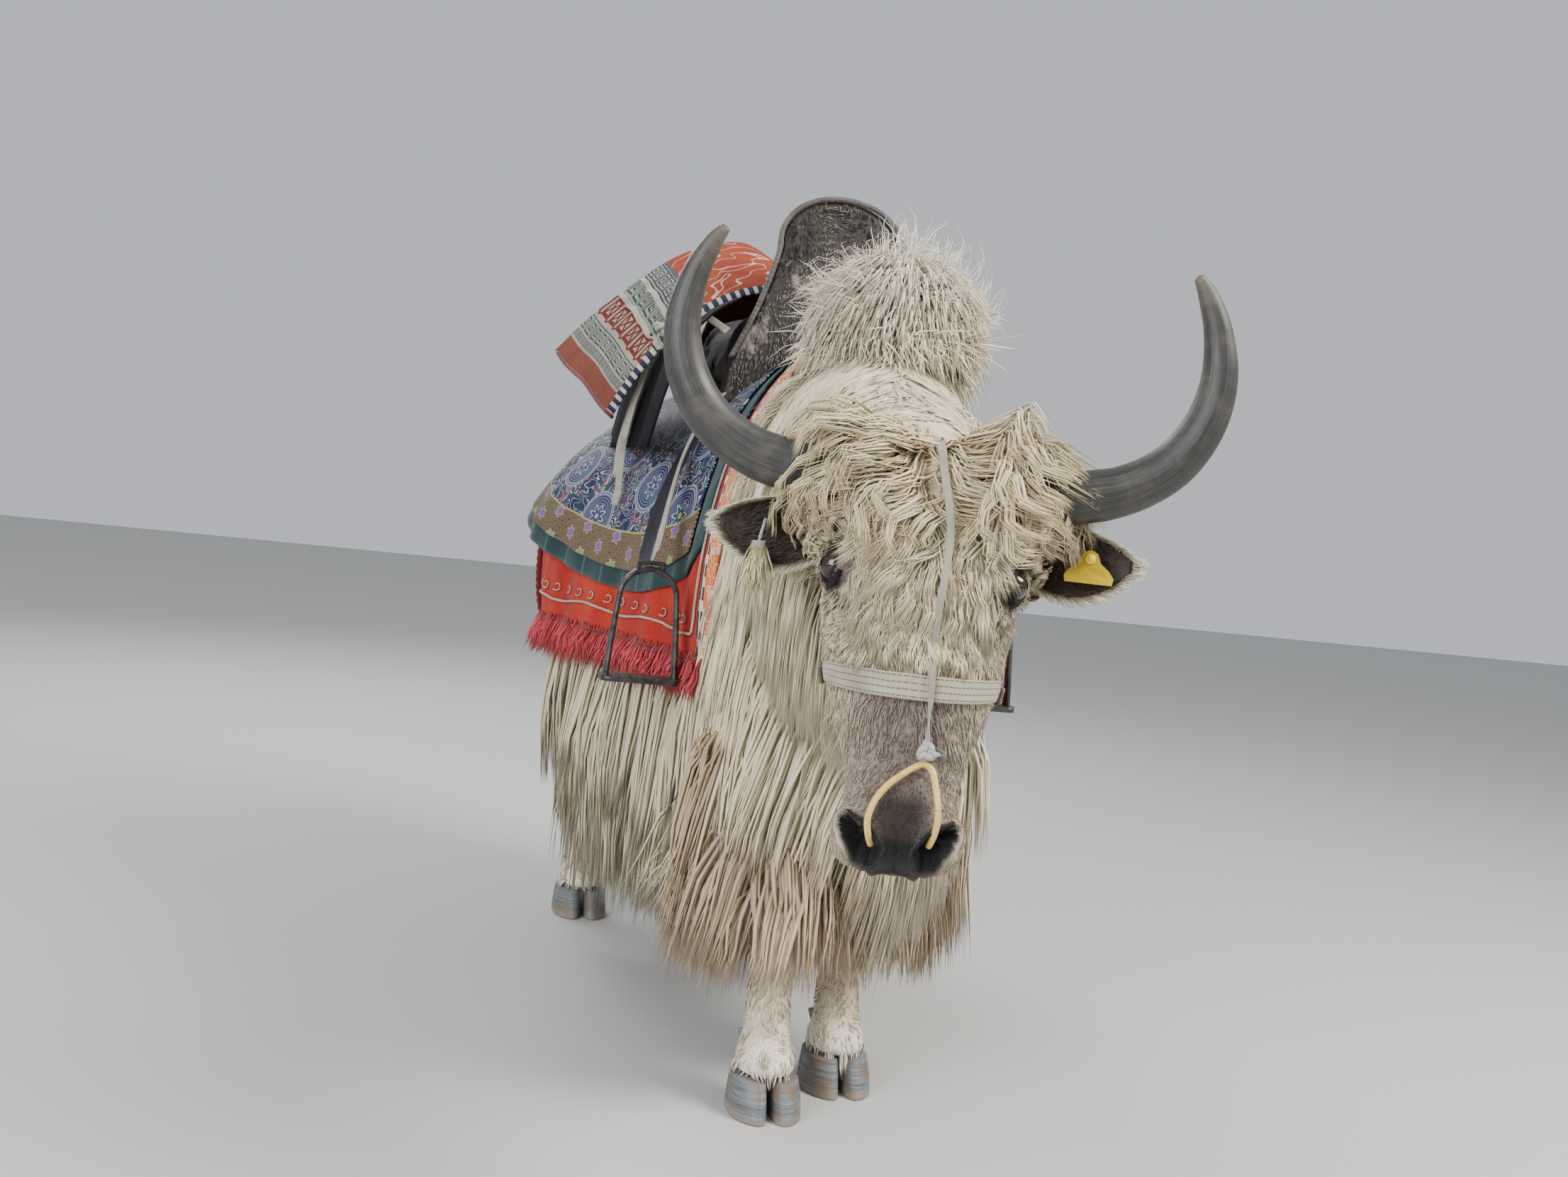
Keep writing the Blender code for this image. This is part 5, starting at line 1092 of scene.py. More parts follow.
def cloth_shell():
    bm = bmesh.new()
    bent_grid(bm, 60, 24, lambda u, v: cloth_point(
        CLOTH_FRONT + 0.02 + (CLOTH_BACK - CLOTH_FRONT - 0.02) * v,
        (2 * u - 1) * barrel_angle(CLOTH_FRONT + 0.02 + 0.6 * v, 0.64), 0.030, 0.03))
    bmesh.ops.recalc_face_normals(bm, faces=bm.faces[:])
    if min(bm.faces, key=lambda face: -face.calc_center_median().z).normal.z < 0:
        bmesh.ops.reverse_faces(bm, faces=bm.faces[:])
    return BVHTree.FromBMesh(bm)


cloth_tree = cloth_shell()


def over_cloth(path, tree, gap=0.003):
    """Hold path points above the cloths where they would sink into them."""
    for i, k in np.argwhere((path[:, :, 1] > CLOTH_FRONT) & (path[:, :, 1] < CLOTH_BACK)):
        place, normal, _, _ = tree.find_nearest(path[i, k], 0.06)
        if place is not None:
            deep = (Vector(path[i, k]) - place).dot(normal)
            if -0.05 < deep < gap and k > 0:
                path[i, k] = place + normal * gap
    return path


# %% Hair of the body
def grow_body(name, count, weight, flow_of, length_of, rise_of, width, steps, curl, turns, every,
              pull, droop, seed, centre, axis, low, high, twist=0.5, keep=0.35, rough=0.12,
              cloths=False, finish=None):
    draw = np.random.default_rng(seed)
    chosen = weight(*skin_centres.T, triangle_kinds) * ~under_cloth(skin_centres)
    roots, outs, kinds = roots_on_skin(count, chosen * 1.0, seed)
    x, y, z = roots.T
    lengths = length_of(x, y, z) * draw.uniform(0.72, 1.15, count)
    rise = rise_of(x, y, z) * draw.uniform(0.15, 1.15, count)
    drift = np.column_stack([ripple(roots, 0.06, seed + k) for k in range(3)]) * 0.16
    flow = unit(flow_of(x, y, z, outs)) + drift + draw.normal(0, rough, (count, 3))
    path = grow_paths(roots, outs, flow, lengths, rise, droop * np.ones(count), steps,
                      curl * np.ones(count), turns, seed)
    path, big = gather(path, roots, every * 6, pull * 0.55, keep)
    path, own = gather(path, roots, every, pull, keep)
    path = stay_out(path, skin_tree, 0.004)
    if cloths:
        path = over_cloth(path, cloth_tree)
    ahead = (y < CLOTH_FRONT - 0.006)[:, None] & (path[:, :, 2] > 0.60)
    path[:, :, 1] = np.where(ahead, np.minimum(path[:, :, 1], CLOTH_FRONT - 0.006), path[:, :, 1])
    path[:, :, 2] = np.maximum(path[:, :, 2], 0.012)
    wide = width * draw.uniform(0.55, 1.35, count)
    corners = blades(path, outs, wide, wide * 0.3, twist, seed)
    spread = unwrap(roots, centre, axis, low, high)
    return coat_piece(name, roots, corners, markings(roots, kinds), lock_tone(roots, own, seed),
                      lengths, spread, finish or coat)


def barrel_side(side):
    return lambda x: (np.sign(x) == side)


def chest_length(x, y, z):
    middle = np.exp(-((x + 0.01) / 0.06) ** 2)
    length = np.clip(0.15 + 0.56 * (0.92 - z), 0.12, 0.36) * (1 - 0.25 * middle)
    return np.minimum(length, np.maximum(z - 0.165, 0.05))


def fall_out(spread, back):
    """Flow straight down with a share outwards from the middle and a share backwards."""
    return lambda x, y, z, outs: np.column_stack([
        spread * np.clip(x / 0.12, -1, 1), back * np.ones(len(x)), -np.ones(len(x))])


def beside_cloths(y, z):
    """Share by which hair is beside the cloths' front edges, where it lies close."""
    return smooth_step(y, -0.12, 0.05) * smooth_step(z, 0.56, 0.70)


def chest_flow(x, y, z, outs):
    return np.column_stack([0.60 * np.clip(x / 0.12, -1, 1) * (1 - 0.9 * beside_cloths(y, z)),
                            np.full(len(x), -0.06), -np.ones(len(x))])


for side, word in ((-1, "right"), (1, "left")):
    grow_body("chest_locks_" + word, 5000,
              lambda x, y, z, kinds: (((kinds == "barrel") & (y < 0.17) & (z > 0.40)) * (1 + 1.5 * (z < 0.85))
                                      + ((kinds == "leg") & (y < 0.25) & (z > 0.33)) * 0.8)
              * (np.sign(x) == side),
              chest_flow, chest_length,
              lambda x, y, z: (0.026 + 0.038 * smooth_step(-z, -0.80, -0.50)) * (1 - 0.65 * beside_cloths(y, z)),
              0.0066, 4, 0.006, 0.9, 10, 0.52, 0.62, 31 + side, (0, 0, 0), (0, 0, 1), 0.2, 1.15,
              twist=0.3)


def skirt_length(x, y, z):
    low = 0.100 + 0.075 * (1 - y)
    return np.clip(z - low, 0.08, 0.42) * np.where(z > 0.56, 0.75, 1.0)


for side, word, count in ((-1, "right", 4800), (1, "left", 3800)):
    grow_body("flank_locks_" + word, count,
              lambda x, y, z, kinds: ((kinds == "barrel") & (y >= 0.13) & (y < 0.84) & (z < 0.64)
                                      & (abs(x) > 0.06)) * (1 + 0.6 * (z > 0.45)) * (np.sign(x) == side),
              fall_out(0.20, 0.12), skirt_length,
              lambda x, y, z: 0.044 + 0 * z, 0.0080, 4, 0.007, 1.1, 9, 0.66, 0.9, 34 + side,
              (0, 0.45, 0.6), (0, 1, 0), -0.5, 0.55)

grow_body("rump_locks", 4200,
          lambda x, y, z, kinds: ((kinds == "barrel") & ((y >= 0.775) | ((y > 0.74) & (z < 0.60)))) * (1 + 0.8 * (abs(x) > 0.1))
          + ((kinds == "leg") & (y > 0.6) & (z > 0.40)) * 1.0,
          lambda x, y, z, outs: np.column_stack([0.10 * np.sign(x), 0.30 + 0.5 * (z > 0.9) + 1.2 * (y < 0.83),
                                               -np.ones(len(x))]),
          lambda x, y, z: np.minimum(0.16 + 0.40 * np.clip(0.95 - z, 0, 0.4), np.maximum(z - 0.13, 0.05)),
          lambda x, y, z: 0.006 + 0.016 * smooth_step(y, 0.78, 0.84) + 0.016 * smooth_step(-z, -0.9, -0.6), 0.0085, 4,
          0.006, 1.0, 10,
          0.8, 0.75, 37, (0, 0.9, 0.6), (0, 0, 1), -0.5, 0.55, cloths=True)

grow_body("neck_hair", 7400,
          lambda x, y, z, kinds: ((kinds == "neck") & (y > -0.50)) * (1 + 0.5 * (z < 0.85)),
          lambda x, y, z, outs: np.column_stack([0.22 * np.clip(x / 0.12, -1, 1), 0.20 * (y < -0.12) - 0.05, -np.ones(len(x))]),
          lambda x, y, z: 0.12 + 0.09 * smooth_step(-z, -0.98, -0.72),
          lambda x, y, z: 0.024 - 0.012 * smooth_step(y, -0.20, 0.0), 0.0053, 3, 0.003, 0.6, 14, 0.50, 0.62, 38,
          (-0.02, -0.16, 0.84), (0.1, -1, 0), -0.4, 0.4, twist=0.25)

HUMP_TOP = np.array((0.035, 0.10, 1.0))
HUMP_FRONT = lambda y: 1 - 0.55 * smooth_step(y, 0.09, 0.13)
grow_body("hump_hair", 11000,
          lambda x, y, z, kinds: (kinds == "hump") + 0.6 * ((kinds == "barrel") & (y < 0.115) & (z > 0.90)),
          lambda x, y, z, outs: outs * 0.5 + np.column_stack([
              1.25 * np.clip((x - 0.035) / 0.1, -1, 0.55), -0.25 + 0.8 * np.minimum(y - 0.06, 0.02) / 0.14,
              -0.35 - 0.8 * (z < 1.1)]),
          lambda x, y, z: (0.080 + 0.014 * (z < 1.12)) * HUMP_FRONT(y) * (1 - 0.3 * (x > 0.09)),
          lambda x, y, z: (0.034 - 0.010 * (z < 1.08)) * HUMP_FRONT(y) * (1 - 0.3 * (x > 0.09)),
          0.0034, 2, 0.0, 0.5, 10, 0.06, 0.30, 39, tuple(HUMP_TOP), (0, 0, 1), -0.15, 0.25,
          rough=0.09, twist=0.2, cloths=True)
grow_body("hump_wisps", 700,
          lambda x, y, z, kinds: (kinds == "hump") * (z > 1.13) * (y < 0.14) * 1.0,
          lambda x, y, z, outs: outs * 1.4 + np.column_stack([1.2 * (x - 0.035) / 0.1, 0 * y, 0.5 + 0 * z]),
          lambda x, y, z: 0.085 + 0 * z, lambda x, y, z: 0.060 + 0 * z, 0.0016, 4, 0.005, 0.7, 8, 0.4, 0.05, 42,
          tuple(HUMP_TOP), (0, 0, 1), -0.15, 0.25, rough=0.35)

grow_body("leg_fur", 6600,
          lambda x, y, z, kinds: ((kinds == "leg") & (z < 0.47)) * 1.0,
          lambda x, y, z, outs: np.column_stack([0 * x, 0.1 + 0 * x, -np.ones(len(x))]),
          lambda x, y, z: 0.020 + 0.010 * ripple(np.column_stack([x, y, z]), 0.03, 9)
          + 0.012 * (z < 0.085), lambda x, y, z: 0.004 + 0.004 * (z < 0.085),
          0.0037, 2, 0.0015, 0.7, 10, 0.6, 0.5, 40, (0, 0.4, 0), (0, 0, 1), 0.0, 0.5)

grow_body("tail_bush", 1900,
          lambda x, y, z, kinds: (kinds == "tail") * 1.0,
          lambda x, y, z, outs: np.column_stack([0 * x, 0.15 + 0 * x, -np.ones(len(x))]) + outs * 0.25,
          lambda x, y, z: np.minimum(0.30, np.maximum(z - 0.24, 0.08)),
          lambda x, y, z: 0.030 + 0 * z, 0.0080, 4, 0.008, 1.2, 12, 0.7, 0.9, 41,
          (0, 1.17, 0), (0, 0, 1), 0.4, 1.0)

# %% [markdown]
# ## Eyes
# The eye of cattle is a dark globe set at the side of the head, with a horizontal pupil
# that hardly shows against a nearly black iris. Thick dark lids hold it in an almond, and
# the wet cornea gives the one bright spark of the face.

# %% Eyeballs
def eye_finish():
    made = Finish("wet_eye", Roughness=0.10, Coat_Weight=0.5, Coat_Roughness=0.03,
                  Specular_IOR_Level=0.35)
    ring = made.attribute("iris").outputs["Fac"]
    fibres = made.noise(made.uv("weave"), 90.0, 4.0)
    iris = made.mix(fibres.outputs[0], (0.010, 0.006, 0.004), (0.045, 0.022, 0.010))
    shade = made.ramp(ring, (0.0, (0.002, 0.002, 0.003)), (0.26, (0.002, 0.002, 0.003)),
                      (0.34, (1, 1, 1)), (0.86, (0.8, 0.8, 0.8)), (0.97, (0.10, 0.12, 0.15)))
    made.colour(made.mix(1.0, iris, shade.outputs[0], 'MULTIPLY'))
    return made.material


wet_eye = eye_finish()
for side, word in ((-1, "right"), (1, "left")):
    centre, look, across, along = eye_axes(side)
    ball = bmesh.new()
    bmesh.ops.create_uvsphere(ball, u_segments=48, v_segments=32, radius=EYE_RADIUS)
    turn = Matrix((across, along, look)).transposed()
    if turn.determinant() < 0:
        turn = Matrix((-across, along, look)).transposed()
    rings = []
    for vert in ball.verts:
        ring = math.hypot(vert.co.x / 1.25, vert.co.y) / 0.0155
        rings.append(ring if vert.co.z > 0 else 2.0)
        if vert.co.z > 0:
            vert.co.z += 0.0022 * max(0.0, 1 - ring * ring)
        vert.co = HEAD @ (centre + turn @ vert.co)
    eye = finish_piece("eyeball_" + word, ball, wet_eye, ("eye_" + word,))
    eye.data.attributes.new("iris", 'FLOAT', 'POINT').data.foreach_set("value", rings)

# %% Lids
def lid_finish():
    made = Finish("dark_lid_skin", Roughness=0.60, Specular_IOR_Level=0.2)
    where = made.places()
    crease = made.noise(where, 260.0, 4.0)
    made.colour(made.ramp(crease.outputs[0], (0.3, (0.005, 0.004, 0.004)),
                          (0.7, (0.020, 0.016, 0.014))).outputs[0])
    made.bump(crease.outputs[0], 0.0006, 0.6)
    return made.material


LID_PROFILE = ((0.0, 0.78, -0.0012), (0.25, 0.97, 0.0006), (0.45, 1.03, 0.0024), (0.72, 1.12, 0.0020),
               (1.0, 1.25, -0.0035))


def lid_point(side, u, v):
    """Point of the lids: u round the almond, v from behind the wet edge out under the skin."""
    centre, look, across, along = eye_axes(side)
    turn = 2 * math.pi * u
    grow = curve([(p[0], p[1]) for p in LID_PROFILE], v)
    over = curve([(p[0], p[2]) for p in LID_PROFILE], v)
    corner = power(math.sin(turn), 7)
    place = (across * LID_ACROSS * 0.94 * math.cos(turn)
             + along * (LID_ALONG * 0.95 * math.sin(turn) + 0.0035 * corner)) * grow
    ball = math.sqrt(EYE_RADIUS ** 2 - min(place.length, 0.0186) ** 2)
    return HEAD @ (centre + place + look * (ball + over))


lid_skin = lid_finish()
for side, word in ((-1, "right"), (1, "left")):
    lids = bmesh.new()
    bent_grid(lids, 64, 14, lambda u, v: lid_point(side, u, v), closed=True)
    bmesh.ops.solidify(lids, geom=lids.faces[:], thickness=0.0012)
    finish_piece("eyelids_" + word, lids, lid_skin)

# %% Lashes
def make_lashes():
    """Dark lashes along the upper lid, a row of fine curved blades."""
    draw = np.random.default_rng(50)
    for side, word in ((-1, "right"), (1, "left")):
        centre, look, across, along = eye_axes(side)
        roots, outs = [], []
        for i in range(90):
            u = 0.54 + 0.42 * (i / 89) + draw.normal(0, 0.004)
            roots.append(lid_point(side, u, 0.45)[:])
            outs.append((HEAD.to_3x3() @ (look - along * 0.6))[:])
        roots, outs = np.array(roots), unit(np.array(outs))
        flow = from_head(np.tile(np.array(-along + look * 0.8), (90, 1))) + draw.normal(0, 0.16, (90, 3))
        path = grow_paths(roots, outs, flow, draw.uniform(0.010, 0.017, 90),
                          np.full(90, 0.002), np.full(90, 0.25), 4, 0.0, 1.0, 51)
        corners = blades(path, outs, np.full(90, 0.0006), np.full(90, 0.0004), 0.3, 52)
        coat_piece("lashes_" + word, roots, corners, np.tile((0.05, 0.04, 0.035), (90, 1)),
                   np.full(90, 0.4), np.full(90, 0.015),
                   unwrap(roots, HEAD_CENTRE, from_head((0, 1, 0)), -0.2, 0.36), coat)


make_lashes()

# %% [markdown]
# ## Horns
# The horns leave the sides of the brow, level at first, then sweep up and in. They are a
# grey-black sheath of keratin: faint rings near the root, long fibres and worn pale scuffs
# further out, and a smooth lighter tip. A grid rolled into a tube carries those marks.

# %% Horns
HORN_LINE = ((0.045, 0.104, 0.031), (0.125, 0.104, 0.031), (0.165, 0.108, 0.0300),
             (0.215, 0.122, 0.0280), (0.262, 0.154, 0.0262), (0.292, 0.202, 0.0238),
             (0.302, 0.255, 0.0205), (0.294, 0.307, 0.0160), (0.277, 0.347, 0.0110),
             (0.263, 0.366, 0.0055))
HORN_KNOTS = np.linspace(0, 1, len(HORN_LINE)).tolist()
HORN_LENGTH = 0.52


def horn_centre(side, t):
    across, height = (curve(list(zip(HORN_KNOTS, [p[k] for p in HORN_LINE])), t) for k in (0, 1))
    return UPRIGHT @ Vector((side * across, 0.030 - 0.02 * t, height))


def horn_point(side, u, t):
    """Point of the horn's surface: u round it, t from root to tip."""
    ahead = (horn_centre(side, min(1, t + 0.01)) - horn_centre(side, max(0, t - 0.01))).normalized()
    front = UPRIGHT.to_3x3() @ Vector((0, 1, 0))
    first = ahead.cross(front).normalized()
    second = ahead.cross(first)
    radius = curve(list(zip(HORN_KNOTS, [p[2] for p in HORN_LINE])), t)
    if t > 0.985:
        radius *= math.sqrt(max(0.0, 1 - ((t - 0.985) / 0.0151) ** 2))
    turn = 2 * math.pi * u
    ringed = 1 + 0.018 * math.sin(t * 95) * math.exp(-((t - 0.12) / 0.16) ** 2)
    ringed *= 1 + 0.030 * math.cos(turn * 2 + 3 * t) * (1 - t)
    return horn_centre(side, t) + (first * math.cos(turn) + second * math.sin(turn)) * radius * ringed


def horn_finish():
    made = Finish("worn_horn", Roughness=0.45, Specular_IOR_Level=0.45)
    map_ = made.uv("weave")
    where = made.places()
    fibre = made.noise(made.stretch(map_, (330.0, 9.0, 1.0)), 1.0, 5.0, Roughness=0.65)
    rings = made.noise(made.stretch(map_, (3.0, 60.0, 1.0)), 1.0, 4.0)
    patches = made.noise(where, 22.0, 4.0, Roughness=0.6)
    base = made.ramp(fibre.outputs[0], (0.25, (0.013, 0.0125, 0.012)), (0.55, (0.040, 0.038, 0.035)),
                     (0.78, (0.110, 0.102, 0.085)))
    scuffed = made.mix(made.grey(patches.outputs[0], 0.50, 0.72, 0.0, 0.75), base.outputs[0],
                       (0.092, 0.082, 0.066))
    reach = made.node("SeparateXYZ", {0: map_}).outputs[1]
    tipped = made.mix(made.grey(reach, 0.80 * HORN_LENGTH, 1.02 * HORN_LENGTH, 0.0, 0.75), scuffed,
                      (0.15, 0.125, 0.088))
    rooted = made.mix(made.grey(reach, 0.24 * HORN_LENGTH, 0.02, 0.0, 0.6), tipped,
                      (0.050, 0.042, 0.033))
    ringed = made.mix(made.grey(rings.outputs[0], 0.42, 0.62, 0.0, 0.35), rooted, (0.020, 0.020, 0.021))
    made.colour(ringed)
    made.rough(made.grey(patches.outputs[0], 0.3, 0.7, 0.34, 0.58))
    height = made.mix(0.5, fibre.outputs[0], rings.outputs[0])
    made.bump(height, 0.0011, 0.7)
    return made.material


worn_horn = horn_finish()
for side, word in ((-1, "right"), (1, "left")):
    horn = bmesh.new()
    bent_grid(horn, 48, 110, lambda u, v: horn_point(side, u, v),
              (2 * math.pi * 0.03, HORN_LENGTH), closed=True)
    close_ends(horn)
    finish_piece("horn_sheath_" + word, horn, worn_horn, ("horn_" + word,))

# %% [markdown]
# ## Ears
# Each ear is a leaf rolled into a cup that opens to the front. Outside it is cream, inside
# dark brown and almost bare, with a pale fringe along the rims.

# %% Ears
EAR_ROOT, EAR_TIP, EAR_WIDTH = (0.100, 0.055, 0.052), (0.238, 0.055, 0.036), 0.082
EAR_WALL = 0.0036


def ear_place(side, u, v, inner=0.0):
    """Point of the ear's leaf: u across it from upper to lower rim, v from root to tip."""
    root = Vector((side * EAR_ROOT[0], EAR_ROOT[1], EAR_ROOT[2]))
    tip = Vector((side * EAR_TIP[0], EAR_TIP[1], EAR_TIP[2]))
    half = EAR_WIDTH / 2 * max(0.03, math.sin(math.pi * (0.16 + 0.815 * v)) ** 0.62)
    depth = 0.028 * (1 - v) ** 0.7 + 0.005
    centre = root + (tip - root) * v + Vector((0, 0, -0.012 * math.sin(math.pi * v)))
    turn = math.pi * u
    curl_in = 0.004 * math.sin(math.pi * v) * (math.cos(turn) ** 6)
    return UPRIGHT @ (centre + Vector((0, (depth - inner) * math.sin(turn) - curl_in,
                                       (half - inner * 0.4) * math.cos(turn))))


def ear_finish():
    made = Finish("ear_leather", Roughness=0.6, Specular_IOR_Level=0.3)
    where = made.places()
    grain = made.noise(where, 150.0, 5.0)
    inside = made.attribute("inside").outputs["Fac"]
    dark = made.ramp(grain.outputs[0], (0.3, (0.016, 0.011, 0.009)), (0.7, (0.060, 0.042, 0.034)))
    pale = made.ramp(grain.outputs[0], (0.3, (0.36, 0.31, 0.24)), (0.7, (0.62, 0.56, 0.45)))
    made.colour(made.mix(inside, pale.outputs[0], dark.outputs[0]))
    made.bump(grain.outputs[0], 0.0008, 0.6)
    return made.material


def make_ear(side, word, finish):
    """Leaf of the ear with its wall, and the fur of its two faces and rims."""
    leaf = bmesh.new()
    wall = lambda u: EAR_WALL * math.sin(math.pi * u) ** 0.5 if 0 < u < 1 else 0.0
    bent_grid(leaf, 48, 30, lambda u, v: ear_place(side, 2 * u, v) if u <= 0.5
              else ear_place(side, 2 - 2 * u, v, wall(2 - 2 * u)), closed=True)
    close_ends(leaf)
    piece = finish_piece("ear_leaf_" + word, leaf, finish, ("ear_" + word,))
    centre = UPRIGHT @ Vector((side * 0.17, 0.035, 0.045)) + SHIFT
    front = UPRIGHT.to_3x3() @ Vector((0, -1, 0))
    hollow = [float(smooth_step(vert.normal.dot(front), -0.05, 0.25)) for vert in piece.data.vertices]
    piece.data.attributes.new("inside", 'FLOAT', 'POINT').data.foreach_set("value", hollow)
    draw = np.random.default_rng(60 + side)
    groups = (("back", 1200, 0.016, 0.0032, 0.0024), ("inner", 500, 0.020, 0.0022, 0.0016),
              ("rim", 900, 0.021, 0.0022, 0.0016))
    for title, count, length, width, rise in groups:
        u, v = draw.uniform(0.03, 0.97, count), draw.uniform(0.03, 0.99, count) ** 0.9
        if title == "rim":
            u = np.where(draw.random(count) < 0.5, draw.uniform(0.0, 0.05, count),
                         draw.uniform(0.95, 1.0, count))
            v = np.where(draw.random(count) < 0.28, draw.uniform(0.93, 1.0, count), v)
            u = np.where(v > 0.93, draw.uniform(0.0, 1.0, count), u)
        if title == "inner":
            u, v = draw.uniform(0.08, 0.92, count), draw.uniform(0.0, 0.75, count)
        step = 0.01
        deep = EAR_WALL if title == "inner" else 0.0
        at = [ear_place(side, a, b, deep * math.sin(math.pi * a) ** 0.5) for a, b in zip(u, v)]
        over = [ear_place(side, min(1, a + step), b) - ear_place(side, max(0, a - step), b)
                for a, b in zip(u, v)]
        on = [ear_place(side, a, min(1, b + step)) - ear_place(side, a, max(0, b - step))
              for a, b in zip(u, v)]
        outs = np.array([a.cross(b).normalized()[:] for a, b in zip(over, on)])
        back = -np.array(front)
        outs *= np.sign(outs @ back)[:, None] * (1 if title != "inner" else -1)
        flow = np.array([b.normalized()[:] for b in on])
        if title == "rim":
            rim_out = np.array([a.normalized()[:] for a in over]) * np.sign(u - 0.5)[:, None]
            flow = unit(flow * 0.8 + rim_out * 0.7 + np.where(v > 0.93, 1.0, 0.0)[:, None] * flow)
        roots = np.array([p[:] for p in at]) + outs * 0.0025
        path = grow_paths(roots, outs, flow + draw.normal(0, 0.15, (count, 3)),
                          length * draw.uniform(0.6, 1.2, count), np.full(count, rise),
                          np.full(count, 0.25), 2, 0.001, 0.7, 61)
        wide = width * draw.uniform(0.6, 1.2, count)
        corners = blades(path, outs, wide, wide * 0.3, 0.4, 62)
        shade = {"back": CREAM, "inner": EAR_DARK, "rim": WHITE}[title]
        colours = np.tile(shade, (count, 1)) * draw.uniform(0.85, 1.1, (count, 1))
        if title == "back":
            colours = blend(colours, EAR_DARK, 0.55 * (draw.random(count) < 0.25))
        coat_piece("ear_" + title + "_fur_" + word, roots, corners, colours, draw.random(count),
                   np.full(count, length), np.column_stack([u * 0.99, v * 0.99]), coat)


ear_leather = ear_finish()
for side, word in ((-1, "right"), (1, "left")):
    make_ear(side, word, ear_leather)

# %% [markdown]
# ## Hooves
# The hoof is cloven: each claw is a wall of horn, flat underneath, that curves in towards
# the split at its toe. Growth lines run round it, and the ground has rubbed its edge brown.

# %% Hooves
CLAW_OUTLINE = ((0.10, 0.0), (0.62, 0.03), (0.98, 0.28), (1.0, 0.58), (0.82, 0.83), (0.42, 1.0),
                (0.12, 0.97), (0.0, 0.72), (0.0, 0.20))
HOOF_LENGTH, CLAW_WIDTH, CLAW_SPLIT = 0.112, 0.047, 0.010


def claw_outline(u):
    """Smooth closed outline of a claw, across and forward from 0 to 1."""
    count = len(CLAW_OUTLINE)
    wrapped = [CLAW_OUTLINE[i % count] for i in range(-2, count + 3)]
    knots = [(i - 2) / count for i in range(len(wrapped))]
    return tuple(curve(list(zip(knots, [p[k] for p in wrapped])), u % 1.0) for k in (0, 1))


def claw_point(foot, side, u, v):
    x, y = foot
    scale = 1.0 - 0.10 * v ** 1.5 - 0.025 * (1 - min(1, v * 12)) ** 2
    across, forward = claw_outline(u)
    heel = y + HOOF_LENGTH * 0.45
    toe = heel - HOOF_LENGTH * scale + 0.012 * v
    bulge = 1 + 0.03 * math.sin(math.pi * v) + 0.006 * math.sin(v * 38)
    middle = 0.5
    across = middle + (across - middle) * bulge
    return Vector((x + side * (CLAW_SPLIT / 2 + CLAW_WIDTH * scale * min(max(across, 0.0), 1.0)),
                   heel + (toe - heel) * forward, HOOF_HEIGHT * v))


def hoof_finish():
    made = Finish("hoof_wall", Roughness=0.5, Specular_IOR_Level=0.4)
    where = made.places()
    lines = made.noise(made.stretch(where, (14.0, 14.0, 330.0)), 1.0, 4.0)
    grain = made.noise(made.stretch(where, (260.0, 260.0, 24.0)), 1.0, 4.0)
    wear = made.noise(where, 34.0, 4.0)
    base = made.ramp(lines.outputs[0], (0.3, (0.060, 0.070, 0.082)), (0.7, (0.200, 0.215, 0.230)))
    brown = made.mix(made.grey(wear.outputs[0], 0.46, 0.66), base.outputs[0], (0.165, 0.115, 0.070))
    height = made.node("SeparateXYZ", {0: where}).outputs[2]
    dusty = made.mix(made.grey(height, 0.016, 0.0, 0.0, 0.75), brown, (0.30, 0.255, 0.195))
    made.colour(dusty)
    made.rough(made.grey(wear.outputs[0], 0.3, 0.7, 0.42, 0.66))
    made.bump(made.mix(0.45, lines.outputs[0], grain.outputs[0]), 0.0010, 0.8)
    return made.material


hoof_wall = hoof_finish()
for word, foot in FEET.items():
    side = -1 if word.endswith("right") else 1
    for place, lean in (("outer", side), ("inner", -side)):
        claw = bmesh.new()
        bent_grid(claw, 56, 22, lambda u, v: claw_point(foot, lean, u, v), closed=True)
        close_ends(claw)
        finish_piece("hoof_%s_%s" % (word, place), claw, hoof_wall,
                     ("claw_%s_%s" % (word, place),))

# %% Dewclaws
dewclaws = bmesh.new()
for word, (x, y) in FEET.items():
    for lean in (-1, 1):
        cone = bmesh.ops.create_cone(dewclaws, cap_ends=True, segments=14, radius1=0.011, radius2=0.004,
                                     depth=0.030)["verts"]
        bmesh.ops.rotate(dewclaws, verts=cone, cent=(0, 0, 0), matrix=Matrix.Rotation(math.radians(155), 3, 'X'))
        bmesh.ops.translate(dewclaws, verts=cone, vec=(x + lean * 0.020, y + 0.058, 0.084))
bmesh.ops.bevel(dewclaws, geom=dewclaws.edges[:], offset=0.0016, affect='EDGES', segments=2, profile=0.5,
                material=-1)
finish_piece("dewclaws", dewclaws, hoof_wall)

# %% [markdown]
# ## Halter
# A stitched canvas noseband crosses the face, and a thin strap runs from the poll down the
# middle of the face to a knot. From the knot a smooth yellow loop passes into both
# nostrils. There is no lead and no rein.

